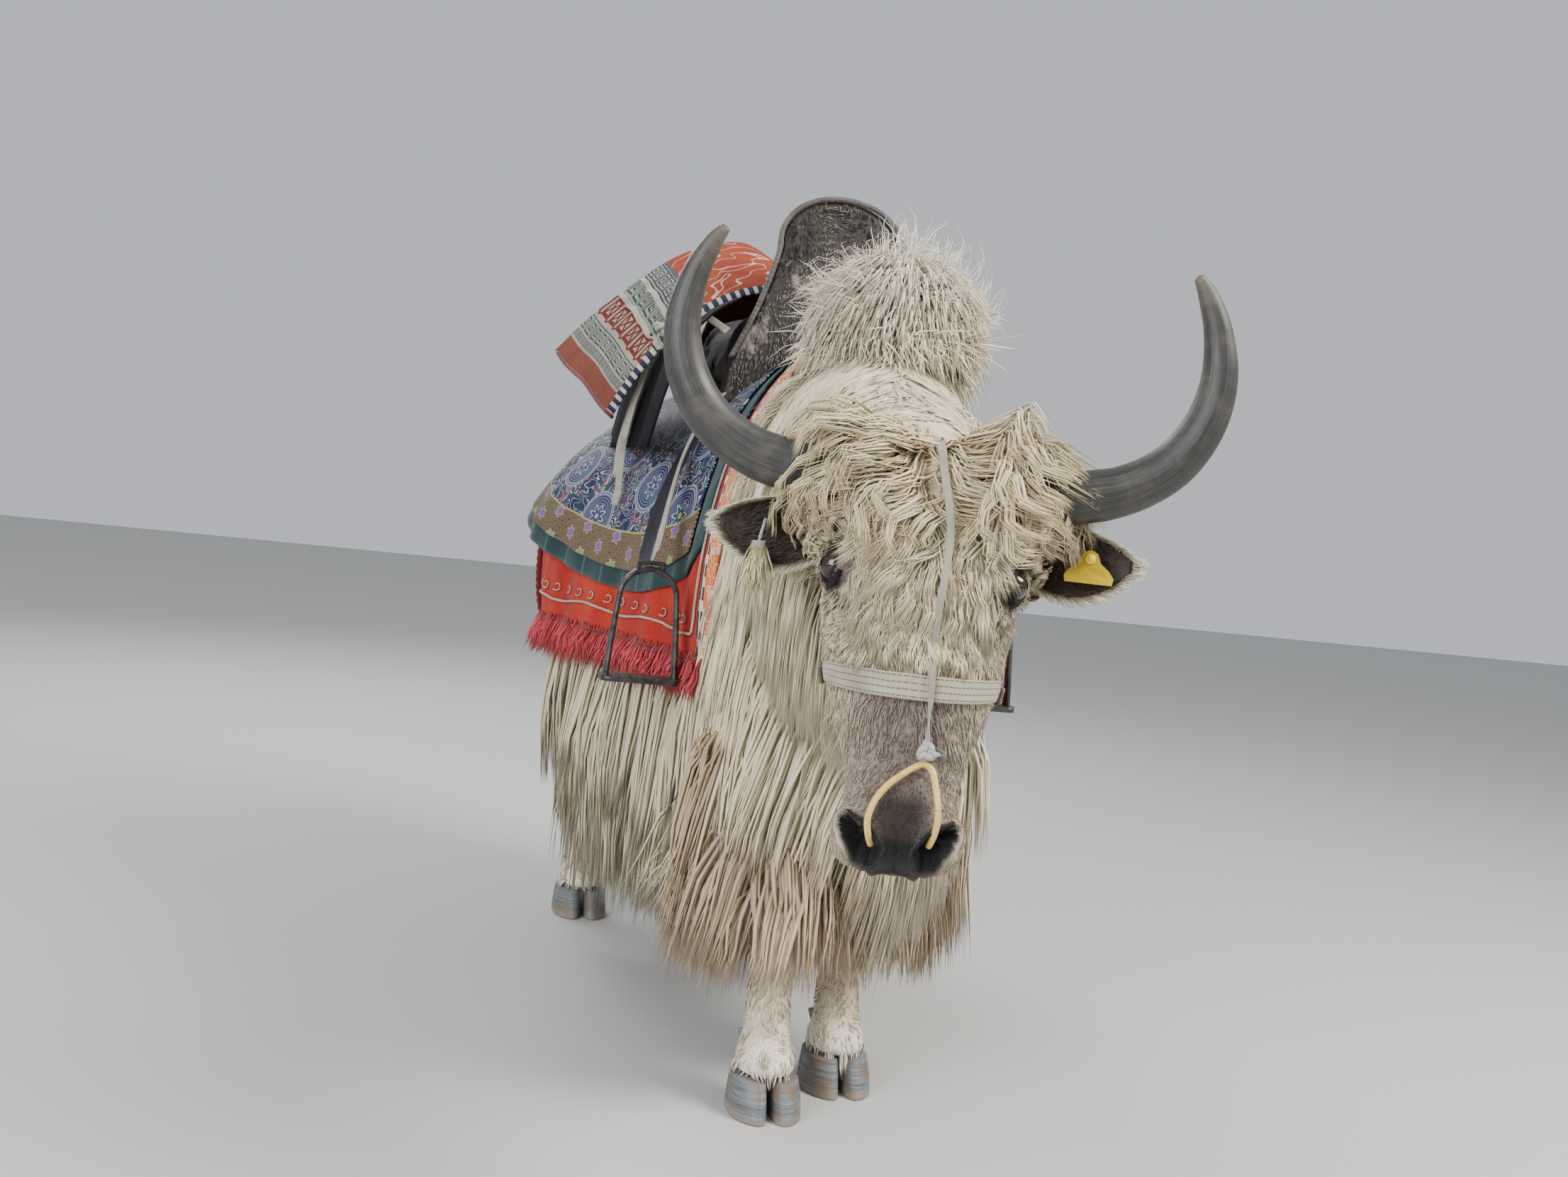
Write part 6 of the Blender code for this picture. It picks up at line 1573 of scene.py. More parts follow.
# %% Canvas finish
def woven(name, colours, pitch=0.0011, roughness=0.8, stitches=None, **settings):
    """Plain weave of two threads, soiled in patches, read from the piece's own map, with painted shade in the gaps
    between the threads.
    """
    made = Finish(name, Roughness=roughness, Specular_IOR_Level=0.2, Sheen_Weight=0.2, **settings)
    map_ = made.uv("weave")
    ends = made.node("TexWave", {0: made.stretch(map_, (1 / pitch / 3.18, 0, 0)), 1: 1.0, 2: 0.0},
                     wave_type='BANDS', bands_direction='X')
    picks = made.node("TexWave", {0: made.stretch(map_, (0, 1 / pitch / 3.18, 0)), 1: 1.0, 2: 0.0},
                      wave_type='BANDS', bands_direction='Y')
    weave = made.math('MULTIPLY', ends.outputs[1], picks.outputs[1])
    soil = made.noise(made.places(), 24.0, 5.0, Roughness=0.65)
    worn = made.mix(made.grey(soil.outputs[0], 0.40, 0.66), colours[0], colours[1])
    # Painted shade: where the threads dip between their crossings the colour is darkened.
    with_painted_shade = made.mix(made.grey(weave.outputs[0], 0.0, 0.6, 0.0, 0.75),
                   made.mix(1.0, worn, (0.55, 0.53, 0.50), 'MULTIPLY'), worn)
    height = weave.outputs[0]
    if stitches:
        across = made.node("SeparateXYZ", {0: map_})
        with_painted_shade, height = stitched(made, with_painted_shade, height, across, stitches)
    made.colour(with_painted_shade)
    made.bump(height, 0.0006, 0.7)
    return made


def stitched(made, colour, height, across, stitches):
    """Rows of short dark stitches at the given places across a band."""
    run = made.math('FRACT', made.math('MULTIPLY', across.outputs[0], 190.0))
    dash = made.grey(made.math('ABSOLUTE', made.math('SUBTRACT', run, 0.5)), 0.36, 0.44, 1.0, 0.0)
    for place in stitches:
        off = made.math('ABSOLUTE', made.math('SUBTRACT', across.outputs[1], place))
        line = made.math('MULTIPLY', made.grey(off, 0.0003, 0.0008, 1.0, 0.0), dash)
        colour = made.mix(line, colour, (0.075, 0.070, 0.065))
        sunk = made.grey(off, 0.0, 0.0016, 0.4, 0.0)
        height = made.math('SUBTRACT', height, sunk).outputs[0]
    return colour, height


canvas = woven("stitched_canvas", ((0.62, 0.57, 0.44), (0.47, 0.42, 0.31)),
               stitches=(0.0028, 0.0100, 0.0172, 0.0244)).material
tape = woven("pale_tape", ((0.60, 0.58, 0.50), (0.44, 0.42, 0.35)), pitch=0.0009).material

# %% Noseband and its cord ends
NOSEBAND_ALONG, NOSEBAND_HALF, BAND_REACH = 0.134, 0.0138, math.radians(96)


def band_along(angle):
    """Place of the band's middle line down the face: it sags in front and rises to its ties."""
    return NOSEBAND_ALONG + 0.010 - 0.044 * min(1.0, abs(angle) / BAND_REACH) ** 2


def noseband_point(u, v, lift=0.0):
    angle = (2 * u - 1) * BAND_REACH
    pinch = 1 - 0.35 * abs(2 * u - 1) ** 10
    along = band_along(angle) + (2 * v - 1) * NOSEBAND_HALF * pinch
    puff = 0.0006 * math.sin(u * 55) * math.sin(math.pi * v)
    return HEAD @ face_point(along, angle, 0.0042 + lift + puff)


band = bmesh.new()
bent_grid(band, 120, 10, noseband_point, (0.30, 2 * NOSEBAND_HALF))
bmesh.ops.recalc_face_normals(band, faces=band.faces[:])
bmesh.ops.solidify(band, geom=band.faces[:], thickness=0.0026)
noseband = finish_piece("canvas_noseband", band, canvas, ("noseband",))


def tube_piece(bm, path, radius, sides=12, size=None, lumps=0.0):
    """Closed round cord along a smooth path of points, added to a bmesh."""
    path = [Vector(point) for point in path]
    length = sum((b - a).length for a, b in zip(path, path[1:]))
    radii = radius if hasattr(radius, "__len__") else [radius] * len(path)
    rows = max(6, int(length / 0.0030)) if size is None else size
    ahead = [(path[min(i + 1, len(path) - 1)] - path[max(i - 1, 0)]).normalized()
             for i in range(len(path))]
    first = [ahead[0].orthogonal().normalized()]
    for before, after in zip(ahead, ahead[1:]):
        turned = first[-1] - after * first[-1].dot(after)
        first.append(turned.normalized())
    knots = np.linspace(0, 1, len(path)).tolist()
    read = lambda rows_, t: Vector([curve(list(zip(knots, [p[k] for p in rows_])), t)
                                    for k in range(3)])

    def place(u, v):
        forward, side = read(ahead, v).normalized(), read(first, v)
        side = (side - forward * side.dot(forward)).normalized()
        turn = 2 * math.pi * u
        wide = curve(list(zip(knots, radii)), v) * (1 + lumps * math.sin(v * rows * 0.9 + turn))
        return read(path, v) + (side * math.cos(turn) + forward.cross(side) * math.sin(turn)) * wide

    bent_grid(bm, sides, rows, place, (2 * math.pi * radii[0], length), closed=True)
    close_ends(bm)
    return length


cord_ends = bmesh.new()
for side in (-1, 1):
    start = side * (BAND_REACH - 0.10)
    behind = [HEAD @ face_point(band_along(start) + 0.004 * math.sin(3 * k), start + side * (math.pi - abs(start)) * k / 8,
                                0.0048) for k in range(9)]
    tube_piece(cord_ends, behind, 0.0030, lumps=0.10)
    for turn in range(3):
        lump = [HEAD @ (face_point(band_along(start) - 0.004 + 0.004 * turn, start + side * 0.02 * turn, 0.0085)
                        + Vector((side * 0.002 * math.cos(a), 0.007 * math.sin(a), 0.004 * math.cos(a))))
                for a in np.linspace(0, 5.2, 9)]
        tube_piece(cord_ends, lump, 0.0024, 8, lumps=0.12)
dark_cord = woven("dark_tie_cord", ((0.13, 0.11, 0.085), (0.30, 0.26, 0.19)), pitch=0.0016).material
finish_piece("noseband_ties", cord_ends, dark_cord)

# %% Strap down the face
KNOT_PLACE, KNOT_RADIUS = (0.020, 0.214), 0.012


def face_strap_point(u, v):
    start, end = -0.166, KNOT_PLACE[1] - 0.010
    along = start + (end - start) * v
    half = 0.0052 - 0.0024 * v
    twist = 1.15 * math.exp(-((v - 0.93) / 0.05) ** 2) + 0.35 * math.sin(v * 9)* v
    off = face_point(along, 0.0, 0.0046 + hair_lift(along))
    across = (2 * u - 1) * half
    sway = 0.0115 * math.exp(-((v - 0.40) / 0.19) ** 2) + 0.005 * v ** 3 * (1 - v) * 4
    return HEAD @ (off + Vector((KNOT_PLACE[0] * v + across * math.cos(twist) + sway, 0,
                                 across * math.sin(twist))))


def hair_lift(along):
    """Height at which the strap rides: on the curls above, over the band, on bare fur below."""
    poll = 0.026 * (1 - float(smooth_step(along, 0.02, 0.11)))
    over = 0.0048 * math.exp(-((along - NOSEBAND_ALONG - 0.008) / 0.024) ** 4)
    return poll + over - 0.024 * float(smooth_step(-along, 0.115, 0.165))


strap = bmesh.new()
bent_grid(strap, 6, 120, face_strap_point, (0.013, 0.37))
bmesh.ops.recalc_face_normals(strap, faces=strap.faces[:])
bmesh.ops.solidify(strap, geom=strap.faces[:], thickness=0.0014)
finish_piece("strap_down_face", strap, tape, ("face_strap",))

# %% Knot
def knot_path(scale, turn):
    """Overhand knot drawn tight, in head directions."""
    points = []
    for a in np.linspace(0, 2 * math.pi, 40):
        r = 1 + 0.42 * math.cos(3 * a)
        points.append(Vector((r * math.cos(2 * a + turn), r * math.sin(2 * a + turn),
                              0.55 * math.sin(3 * a))) * scale)
    return points


knot_at = face_point(KNOT_PLACE[1], 0.0, KNOT_RADIUS + 0.0005) + Vector((KNOT_PLACE[0], 0, 0))
knot = bmesh.new()
tube_piece(knot, [HEAD @ (knot_at + p) for p in knot_path(0.0058, 0.4)], 0.0036, 10, 90, lumps=0.05)
for a in (0.3, 2.2, 4.4):
    tip = [HEAD @ (knot_at + Vector((math.cos(a), math.sin(a) * 0.8, 0.4)) * r) for r in (0.004, 0.008, 0.012, 0.015)]
    tube_piece(knot, tip, [0.0030, 0.0032, 0.0026, 0.0012], 8, 10, lumps=0.12)
white_rag = woven("white_rag", ((0.66, 0.64, 0.60), (0.38, 0.36, 0.33)), pitch=0.0008).material
finish_piece("strap_knot", knot, white_rag, ("knot",))
lump = bmesh.new()
dark_at = knot_at + Vector((0.013, 0.001, -0.003))
tube_piece(lump, [HEAD @ (dark_at + p) for p in knot_path(0.0040, 1.7)], 0.0028, 8, 70, lumps=0.10)
grey_rag = woven("grey_rag", ((0.16, 0.15, 0.13), (0.34, 0.32, 0.28)), pitch=0.0008).material
finish_piece("strap_knot_end", lump, grey_rag)

# %% Loop through the nose
LOOP_PLACES = ((-0.028, 0.310, 0.000), (-0.032, 0.304, 0.016), (-0.0345, 0.290, 0.028),
               (-0.029, 0.271, 0.034), (-0.017, 0.253, 0.0345), (-0.001, 0.238, 0.034),
               (0.010, 0.2300, 0.034), (0.0190, 0.2265, 0.034), (0.0275, 0.2325, 0.034),
               (0.0325, 0.249, 0.034), (0.0370, 0.270, 0.033), (0.0380, 0.286, 0.028),
               (0.0365, 0.297, 0.016), (0.033, 0.305, 0.000))


def loop_finish():
    made = Finish("rubbed_yellow_loop", Roughness=0.38, Specular_IOR_Level=0.5,
                  Coat_Weight=0.25, Coat_Roughness=0.3)
    map_ = made.uv("weave")
    grain = made.noise(made.stretch(map_, (500.0, 26.0, 1.0)), 1.0, 4.0)
    worn = made.noise(made.places(), 70.0, 4.0)
    base = made.ramp(grain.outputs[0], (0.3, (0.56, 0.35, 0.060)), (0.7, (0.80, 0.57, 0.17)))
    made.colour(made.mix(made.grey(worn.outputs[0], 0.55, 0.75, 0.0, 0.7), base.outputs[0],
                         (0.30, 0.19, 0.08)))
    made.bump(grain.outputs[0], 0.0004, 0.5)
    return made.material


loop = bmesh.new()
loop_length = tube_piece(loop, [HEAD @ Vector(p) for p in LOOP_PLACES], 0.0036, 16)
finish_piece("nose_loop_round", loop, loop_finish(), ("nose_loop",))
print("nose loop", round(loop_length, 3), "m round")

# %% [markdown]
# ## Ear tag and tassel
# Farm animals carry a plastic tag in one ear. Here it is left blank. The other ear wears a
# little tassel of undyed yarn tied through the rim.

# %% Ear tag
def tag_finish():
    made = Finish("yellow_plastic", Roughness=0.38, Specular_IOR_Level=0.5)
    where = made.places()
    scuff = made.noise(where, 180.0, 4.0)
    cloud = made.noise(where, 40.0, 3.0)
    base = made.ramp(cloud.outputs[0], (0.3, (0.80, 0.58, 0.015)), (0.7, (0.90, 0.70, 0.035)))
    made.colour(made.mix(made.grey(scuff.outputs[0], 0.60, 0.76, 0.0, 0.6), base.outputs[0], (0.55, 0.42, 0.10)))
    made.bump(scuff.outputs[0], 0.0003, 0.4)
    return made.material


TAG_OUTLINE = ((-0.027, -0.018), (0.027, -0.018), (0.0285, -0.010), (0.0225, -0.002), (0.0125, 0.006),
               (0.0085, 0.017), (0.0, 0.021), (-0.0085, 0.017), (-0.0125, 0.006), (-0.0225, -0.002),
               (-0.0285, -0.010))
tag = bmesh.new()
corners = [tag.verts.new((x, 0, z)) for x, z in TAG_OUTLINE]
tag.faces.new(corners)
bmesh.ops.solidify(tag, geom=tag.faces[:], thickness=0.0024)
bmesh.ops.bevel(tag, geom=tag.edges[:], offset=0.0006, affect='EDGES', segments=2, profile=0.5,
                material=-1)
for depth, radius in ((0.0030, 0.0068), (0.0052, 0.0036)):
    stud = bmesh.ops.create_cone(tag, cap_ends=True, segments=28, radius1=radius, radius2=radius * 0.8,
                                 depth=0.0024)
    bmesh.ops.rotate(tag, verts=stud["verts"], matrix=Matrix.Rotation(math.radians(90), 3, 'X'))
    bmesh.ops.translate(tag, verts=stud["verts"], vec=(0, -depth + 0.0012, 0.0105))
tag_place = UPRIGHT @ Matrix.Translation((0.188, 0.0405, 0.030))
bmesh.ops.transform(tag, verts=tag.verts[:], matrix=tag_place @ Matrix.Rotation(math.radians(-7), 4, 'X'))
finish_piece("blank_ear_tag", tag, tag_finish(), ("ear_tag",))

# %% Tassel
def hanging_strands(name, tops, length, width, finish, shade, seed, spread=0.15, wave=0.002,
                    nodes=(), steps=5, sway=None, centre=(0, 0, 0)):
    """Yarns that hang from given points, each a fine closed blade."""
    draw = np.random.default_rng(seed)
    count = len(tops)
    outs = unit(draw.normal(0, 1, (count, 3)) * (1, 1, 0.2) if sway is None else np.asarray(sway))
    flow = np.tile(DOWN, (count, 1)) + outs * spread + draw.normal(0, 0.08, (count, 3))
    lengths = length * draw.uniform(0.75, 1.1, count)
    path = grow_paths(tops, outs, flow, lengths, np.full(count, 0.002), np.full(count, 0.8), steps,
                      np.full(count, wave), 1.6, seed)
    wide = width * draw.uniform(0.7, 1.2, count)
    corners = blades(path, outs, wide, wide * 0.6, 1.0, seed)
    colours = np.tile(shade, (count, 1)) * draw.uniform(0.78, 1.1, (count, 1))
    spread_map = unwrap(tops, centre, (0, 0, 1), -1.0, 1.5)
    piece = coat_piece(name, tops, corners, np.clip(colours, 0, 1), draw.random(count), lengths,
                       spread_map, finish)
    if nodes:
        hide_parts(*nodes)
    return piece


yarn = coat_finish("soft_yarn", 0.75)
draw = np.random.default_rng(71)
tassel_top = UPRIGHT @ Vector((-0.190, 0.032, 0.010))
tops = np.array(tassel_top) + unit(draw.normal(0, 1, (420, 3))) * (0.0065, 0.0045, 0.006)
hanging_strands("yarn_tassel", tops, 0.050, 0.0027, yarn, (0.82, 0.75, 0.50), 72, 0.40,
                0.0016, ("ear_tassel",))
wrap = bmesh.new()
for k in range(4):
    ring = [tassel_top + Vector((0.0072 * math.cos(a), 0.0058 * math.sin(a), 0.006 - 0.0024 * k + 0.0004 * a))
            for a in np.linspace(0, 6.28, 16)]
    tube_piece(wrap, ring, 0.0013, 8, 40)
tie_up = [UPRIGHT @ Vector(p) for p in ((-0.190, 0.032, 0.012), (-0.189, 0.034, 0.024),
                                        (-0.187, 0.042, 0.036), (-0.186, 0.050, 0.044))]
tube_piece(wrap, tie_up, 0.0018, 8, 20)
finish_piece("tassel_wrap", wrap, white_rag)

# %% [markdown]
# ## Saddle cloths
# Three cloths lie on the back: a thick red felt with a shaggy fringe, a dark green plaid
# over it, and a blue figured brocade on top. Each is one sheet bent over the barrel, with
# the same long soft folds, so they nest without touching. The grid's own map is the size
# of the cut cloth, and every pattern is drawn on that map.

# %% Sheets over the back
FOLD = 0.0045


def soft_fold(along, height, side):
    """Outward swing of the hanging cloth, deeper towards its lower edge."""
    drop = max(0.0, min(1.0, (0.98 - height) / 0.30))
    phase = 46 * along + 1.7 * math.sin(9 * along + side) + 6 * height
    return FOLD * drop * (math.sin(phase) + 0.5 * math.sin(2.3 * phase + side))


def cloth_sheet(name, front, back, low_of, offset, thick, flare, finish, node,
                columns=84, rows=116, extra=None):
    """One cloth from its right edge over the spine to its left edge."""
    def angle_at(along, share):
        edge = barrel_angle(along, low_of(along))
        return (2 * share - 1) * edge

    def place(u, v):
        along = front + (back - front) * u
        angle = angle_at(along, v)
        point = cloth_point(along, angle, offset + thick / 2, flare)
        side = math.copysign(1, point.x)
        out = Vector((side, 0.1, 0.2)) if abs(angle) > 0.9 else Vector((0, 0, 1))
        swing = soft_fold(along, point.z, side)
        point += Vector((side, 0.15 * side, 0)) * swing * min(1.0, abs(angle))
        return point + (out * extra(along, point.z) if extra else Vector())

    middle = (front + back) / 2
    steps = [place(0.5, k / 60) for k in range(61)]
    length = sum((b - a).length for a, b in zip(steps, steps[1:]))
    sheet = bmesh.new()
    bent_grid(sheet, columns, rows, place, (back - front, length))
    area = sum(face.calc_area() for face in sheet.faces)
    bmesh.ops.recalc_face_normals(sheet, faces=sheet.faces[:])
    top = max(sheet.faces, key=lambda face: face.calc_center_median().z)
    if top.normal.z < 0:
        bmesh.ops.reverse_faces(sheet, faces=sheet.faces[:])
    bmesh.ops.solidify(sheet, geom=sheet.faces[:], thickness=thick)
    piece = finish_piece(name, sheet, finish, (node,))
    wide = max(back - front, area / length) * 1.03
    long = max(length, 0.0) * 1.06
    if area > wide * long:
        wide = area / long * 1.002
    print(name, "cut", round(wide, 2), "by", round(long, 2), "m, area", round(area, 3))
    return piece, length


# %% Finish of the felt
def edge_distance(made, map_, length):
    """Distance of a place on a cloth from its nearer lower edge."""
    across = made.node("SeparateXYZ", {0: map_}).outputs[1]
    other = made.math('SUBTRACT', length, across)
    return made.math('MINIMUM', across, other)


def felt_finish():
    made = Finish("red_felt", Roughness=0.92, Specular_IOR_Level=0.12, Sheen_Weight=0.10,
                  Sheen_Roughness=0.6)
    where, map_ = made.places(), made.uv("weave")
    fibre = made.noise(where, 520.0, 5.0, Roughness=0.75)
    cloud = made.noise(where, 14.0, 5.0, Roughness=0.6)
    base = made.ramp(cloud.outputs[0], (0.30, (0.32, 0.012, 0.006)), (0.50, (0.52, 0.022, 0.008)),
                     (0.72, (0.66, 0.070, 0.016)))
    speck = made.mix(made.grey(fibre.outputs[0], 0.35, 0.68), (0.26, 0.012, 0.007), base.outputs[0])
    run = made.node("SeparateXYZ", {0: map_}).outputs[0]
    band = made.grey(run, 0.034, 0.036, 1.0, 0.0)
    orange = made.mix(cloud.outputs[0], (0.60, 0.12, 0.035), (0.74, 0.22, 0.075))
    made.colour(made.mix(band, speck, front_band(made, map_, orange, run)))
    made.bump(made.mix(0.3, fibre.outputs[0], cloud.outputs[0]), 0.0016, 0.7)
    return made.material


def front_band(made, map_, orange, run):
    """Orange band with cream sprigs, and a black and white fret strip beside it."""
    across = made.node("SeparateXYZ", {0: map_}).outputs[1]
    step = made.math('FRACT', made.math('MULTIPLY', across, 42.0))
    half = made.math('FRACT', made.math('MULTIPLY', across, 21.0))
    high = made.math('LESS_THAN', made.math('ABSOLUTE', made.math('SUBTRACT', step, 0.5)), 0.22)
    rung = made.math('LESS_THAN', made.math('ABSOLUTE', made.math('SUBTRACT', run, 0.0292)), 0.0012)
    tooth = made.math('LESS_THAN', run, made.math('ADD', 0.0292, made.math(
        'MULTIPLY', made.math('GREATER_THAN', half, 0.5), 0.0040)))
    key = made.math('MAXIMUM', rung, made.math('MULTIPLY', high, tooth))
    fret = made.mix(key, (0.030, 0.030, 0.034), (0.62, 0.60, 0.52))
    sprig = made.noise(made.stretch(map_, (70.0, 70.0, 1.0)), 1.0, 1.5)
    line = made.grey(made.math('ABSOLUTE', made.math('SUBTRACT', sprig.outputs[0], 0.5)), 0.018, 0.034, 1.0, 0.0)
    sprigged = made.mix(line, orange, (0.66, 0.52, 0.36))
    return made.mix(made.math('GREATER_THAN', run, 0.0235), sprigged, fret)


def plaid_finish(length):
    made = woven("teal_plaid", ((0.008, 0.045, 0.050), (0.016, 0.070, 0.074)), pitch=0.0014,
                 roughness=0.85)
    map_ = made.uv("weave")
    split = made.node("SeparateXYZ", {0: map_})
    base = made.shader.inputs["Base Color"].links[0].from_socket
    for axis, pitch, dark in ((0, 0.052, (0.006, 0.028, 0.034)), (1, 0.052, (0.006, 0.028, 0.034)),
                              (0, 0.052, (0.06, 0.14, 0.14)), (1, 0.052, (0.06, 0.14, 0.14))):
        turn = made.math('FRACT', made.math('DIVIDE', split.outputs[axis], pitch))
        wide = 0.20 if dark[0] < 0.05 else 0.022
        middle = 0.5 if dark[0] < 0.05 else 0.86
        off = made.math('ABSOLUTE', made.math('SUBTRACT', turn, middle))
        stripe = made.grey(off, wide, wide + 0.03, 0.55, 0.0)
        base = made.mix(stripe, base, dark)
    made.colour(base)
    return made.material

# %% [markdown]
# The brocade is a figured silk of a traditional kind: round medallions ringed in white on
# royal blue, with cloud scrolls in teal, rose and violet between them, and a border of
# brown and gold scales sown with small green and purple flowers. Rings come from the
# distance to the middle of each repeat, petals from the turn about it, and scrolls from
# the contour lines of a noise.

# %% Finish of the brocade
def repeat_places(made, map_, pitch, stagger=0.5):
    """Place within a staggered repeat, from -0.5 to 0.5 both ways, and its column."""
    split = made.node("SeparateXYZ", {0: map_})
    across = made.math('DIVIDE', split.outputs[0], pitch)
    down = made.math('DIVIDE', split.outputs[1], pitch)
    column = made.math('FLOOR', across)
    odd = made.math('MULTIPLY', made.math('MODULO', column, 2.0), stagger)
    x = made.math('SUBTRACT', made.math('FRACT', across), 0.5)
    y = made.math('SUBTRACT', made.math('FRACT', made.math('ADD', down, odd)), 0.5)
    row = made.math('FLOOR', made.math('ADD', down, odd))
    return x, y, column, row


def line_at(made, value, place, half, soft=0.01):
    """1 where a value is near a place, 0 elsewhere."""
    off = made.math('ABSOLUTE', made.math('SUBTRACT', value, place))
    return made.grey(off, half, half + soft, 1.0, 0.0)


def brocade_finish(length):
    made = Finish("figured_brocade", Roughness=0.62, Specular_IOR_Level=0.25, Sheen_Weight=0.08,
                  Sheen_Roughness=0.35)
    map_ = made.uv("weave")
    x, y, column, row = repeat_places(made, map_, 0.125)
    away = made.math('SQRT', made.math('ADD', made.math('MULTIPLY', x, x), made.math('MULTIPLY', y, y)))
    turn = made.math('ARCTAN2', y, x)
    petal = made.math('SINE', made.math('MULTIPLY', turn, 8.0))
    flower = made.math('ADD', made.math('MULTIPLY', petal, 0.035), 0.115)
    scroll = made.noise(made.stretch(map_, (1.0, 1.0, 1.0)), 46.0, 1.2, Roughness=0.4, Distortion=0.9)
    contour = made.math('FRACT', made.math('MULTIPLY', scroll.outputs[0], 6.0))
    cloud = made.noise(map_, 34.0, 1.0)
    hue = made.math('FRACT', made.math('MULTIPLY', made.math('ADD', made.math('MULTIPLY', column, 0.37),
                                                            made.math('MULTIPLY', row, 0.61)), 1.0))
    ground = made.ramp(cloud.outputs[0], (0.0, (0.006, 0.009, 0.055)), (0.47, (0.010, 0.017, 0.110)),
                       (0.50, (0.005, 0.045, 0.060)), (0.57, (0.005, 0.045, 0.060)),
                       (0.60, (0.17, 0.020, 0.036)), (0.66, (0.065, 0.022, 0.115)))
    ground.color_ramp.interpolation = 'CONSTANT'
    filigree = made.mix(line_at(made, contour, 0.5, 0.060, 0.045), ground.outputs[0], (0.50, 0.52, 0.54))
    disc = made.ramp(hue, (0.0, (0.010, 0.085, 0.105)), (0.34, (0.12, 0.018, 0.042)),
                     (0.67, (0.020, 0.036, 0.16)))
    disc.color_ramp.interpolation = 'CONSTANT'
    scales = made.math('FRACT', made.math('MULTIPLY', away, 26.0))
    waves = made.mix(line_at(made, scales, 0.5, 0.08, 0.07), (0.014, 0.022, 0.105), (0.25, 0.28, 0.33))
    inner = made.mix(made.math('LESS_THAN', away, flower), waves, disc.outputs[0])
    inner = made.mix(line_at(made, made.math('SUBTRACT', away, flower), 0.0, 0.007), inner, (0.52, 0.53, 0.52))
    inner = made.mix(made.math('LESS_THAN', away, 0.035), inner, (0.55, 0.36, 0.10))
    figure = made.mix(made.math('LESS_THAN', away, 0.335), filigree, inner)
    for ring, half in ((0.335, 0.007), (0.300, 0.004)):
        figure = made.mix(line_at(made, away, ring, half), figure, (0.30, 0.32, 0.36))
    from_edge = edge_distance(made, map_, length)
    figure = made.mix(made.math('LESS_THAN', from_edge, 0.052), figure, border_colour(made, map_, cloud))
    figure = made.mix(line_at(made, from_edge, 0.052, 0.0011, 0.0006), figure, (0.42, 0.33, 0.14))
    run = made.node("SeparateXYZ", {0: map_}).outputs[0]
    gap = made.math('MULTIPLY', line_at(made, run, PANEL_GAP, 0.021, 0.001), made.math('GREATER_THAN', from_edge, 0.0))
    figure = made.mix(gap, figure, (0.005, 0.005, 0.012))
    threads = made.node("TexWave", {0: made.stretch(map_, (420.0, 420.0, 1.0), (0, 0, 0.6)), 1: 1.0, 2: 0.0})
    # Painted shade: the grooves between the fine threads are darkened.
    figure = made.mix(made.grey(threads.outputs[1], 0.2, 0.8, 0.22, 0.0), figure, (0.02, 0.02, 0.03))
    worn = made.noise(made.places(), 9.0, 5.0)
    made.colour(made.mix(made.grey(worn.outputs[0], 0.5, 0.75, 0.0, 0.12), figure, (0.22, 0.21, 0.20)))
    made.bump(made.mix(0.35, threads.outputs[1], line_at(made, contour, 0.5, 0.075, 0.05)), 0.0007, 0.6)
    return made.material


def border_colour(made, map_, cloud):
    """Brown and gold scales with small green and purple flowers."""
    x, y, column, row = repeat_places(made, map_, 0.0125)
    away = made.math('SQRT', made.math('ADD', made.math('MULTIPLY', x, x), made.math('MULTIPLY', y, y)))
    arcs = made.math('FRACT', made.math('MULTIPLY', away, 4.5))
    scaled = made.mix(line_at(made, arcs, 0.5, 0.16, 0.1), (0.050, 0.030, 0.018), (0.27, 0.185, 0.090))
    x, y, column, row = repeat_places(made, map_, 0.043)
    away = made.math('SQRT', made.math('ADD', made.math('MULTIPLY', x, x), made.math('MULTIPLY', y, y)))
    petal = made.math('ADD', made.math('MULTIPLY', made.math('SINE', made.math('MULTIPLY', made.math(
        'ARCTAN2', y, x), 6.0)), 0.05), 0.20)
    odd = made.math('MODULO', made.math('ADD', column, row), 2.0)
    bloom = made.mix(odd, (0.20, 0.085, 0.34), (0.22, 0.34, 0.11))
    scaled = made.mix(made.math('LESS_THAN', away, petal), scaled, bloom)
    return made.mix(line_at(made, made.math('SUBTRACT', away, petal), 0.0, 0.02), scaled, (0.42, 0.33, 0.20))


# %% Lay the three cloths
PANEL_GAP = 0.135
red_felt = felt_finish()
felt, felt_length = cloth_sheet("felt_saddle_pad", 0.125, 0.765, lambda a: FELT_LOW, 0.0085, 0.0055,
                                0.024, red_felt, "felt_pad")
plaid_low = lambda a: cloth_low(a) - 0.030 + 0.020 * float(smooth_step(-a, -0.20, -0.165))
plaid, plaid_length = cloth_sheet("plaid_under_cloth", 0.165, 0.745, plaid_low, 0.0160, 0.0030, 0.060,
                                  plaid_finish(0), "plaid_cloth")
LENGTH_GUESS = 1.12
brocade_top = brocade_finish(LENGTH_GUESS)
brocade, brocade_length = cloth_sheet("brocade_top_cloth", 0.205, 0.735, cloth_low, 0.0218, 0.0030,
                                      0.060, brocade_top, "brocade_cloth")
for node in brocade_top.node_tree.nodes:
    if node.type == 'MATH' and node.operation == 'SUBTRACT' and abs(node.inputs[0].default_value - LENGTH_GUESS) < 1e-6:
        node.inputs[0].default_value = brocade_length
print("brocade from edge to edge", round(brocade_length, 3), "m")

# %% [markdown]
# The felt is edged like a carpet: a cream cord follows its front and lower edges, small
# cream scrolls sit between cord and brocade, a dark red braid binds the back, and a shaggy
# rose-red fringe hangs from the lower edge.

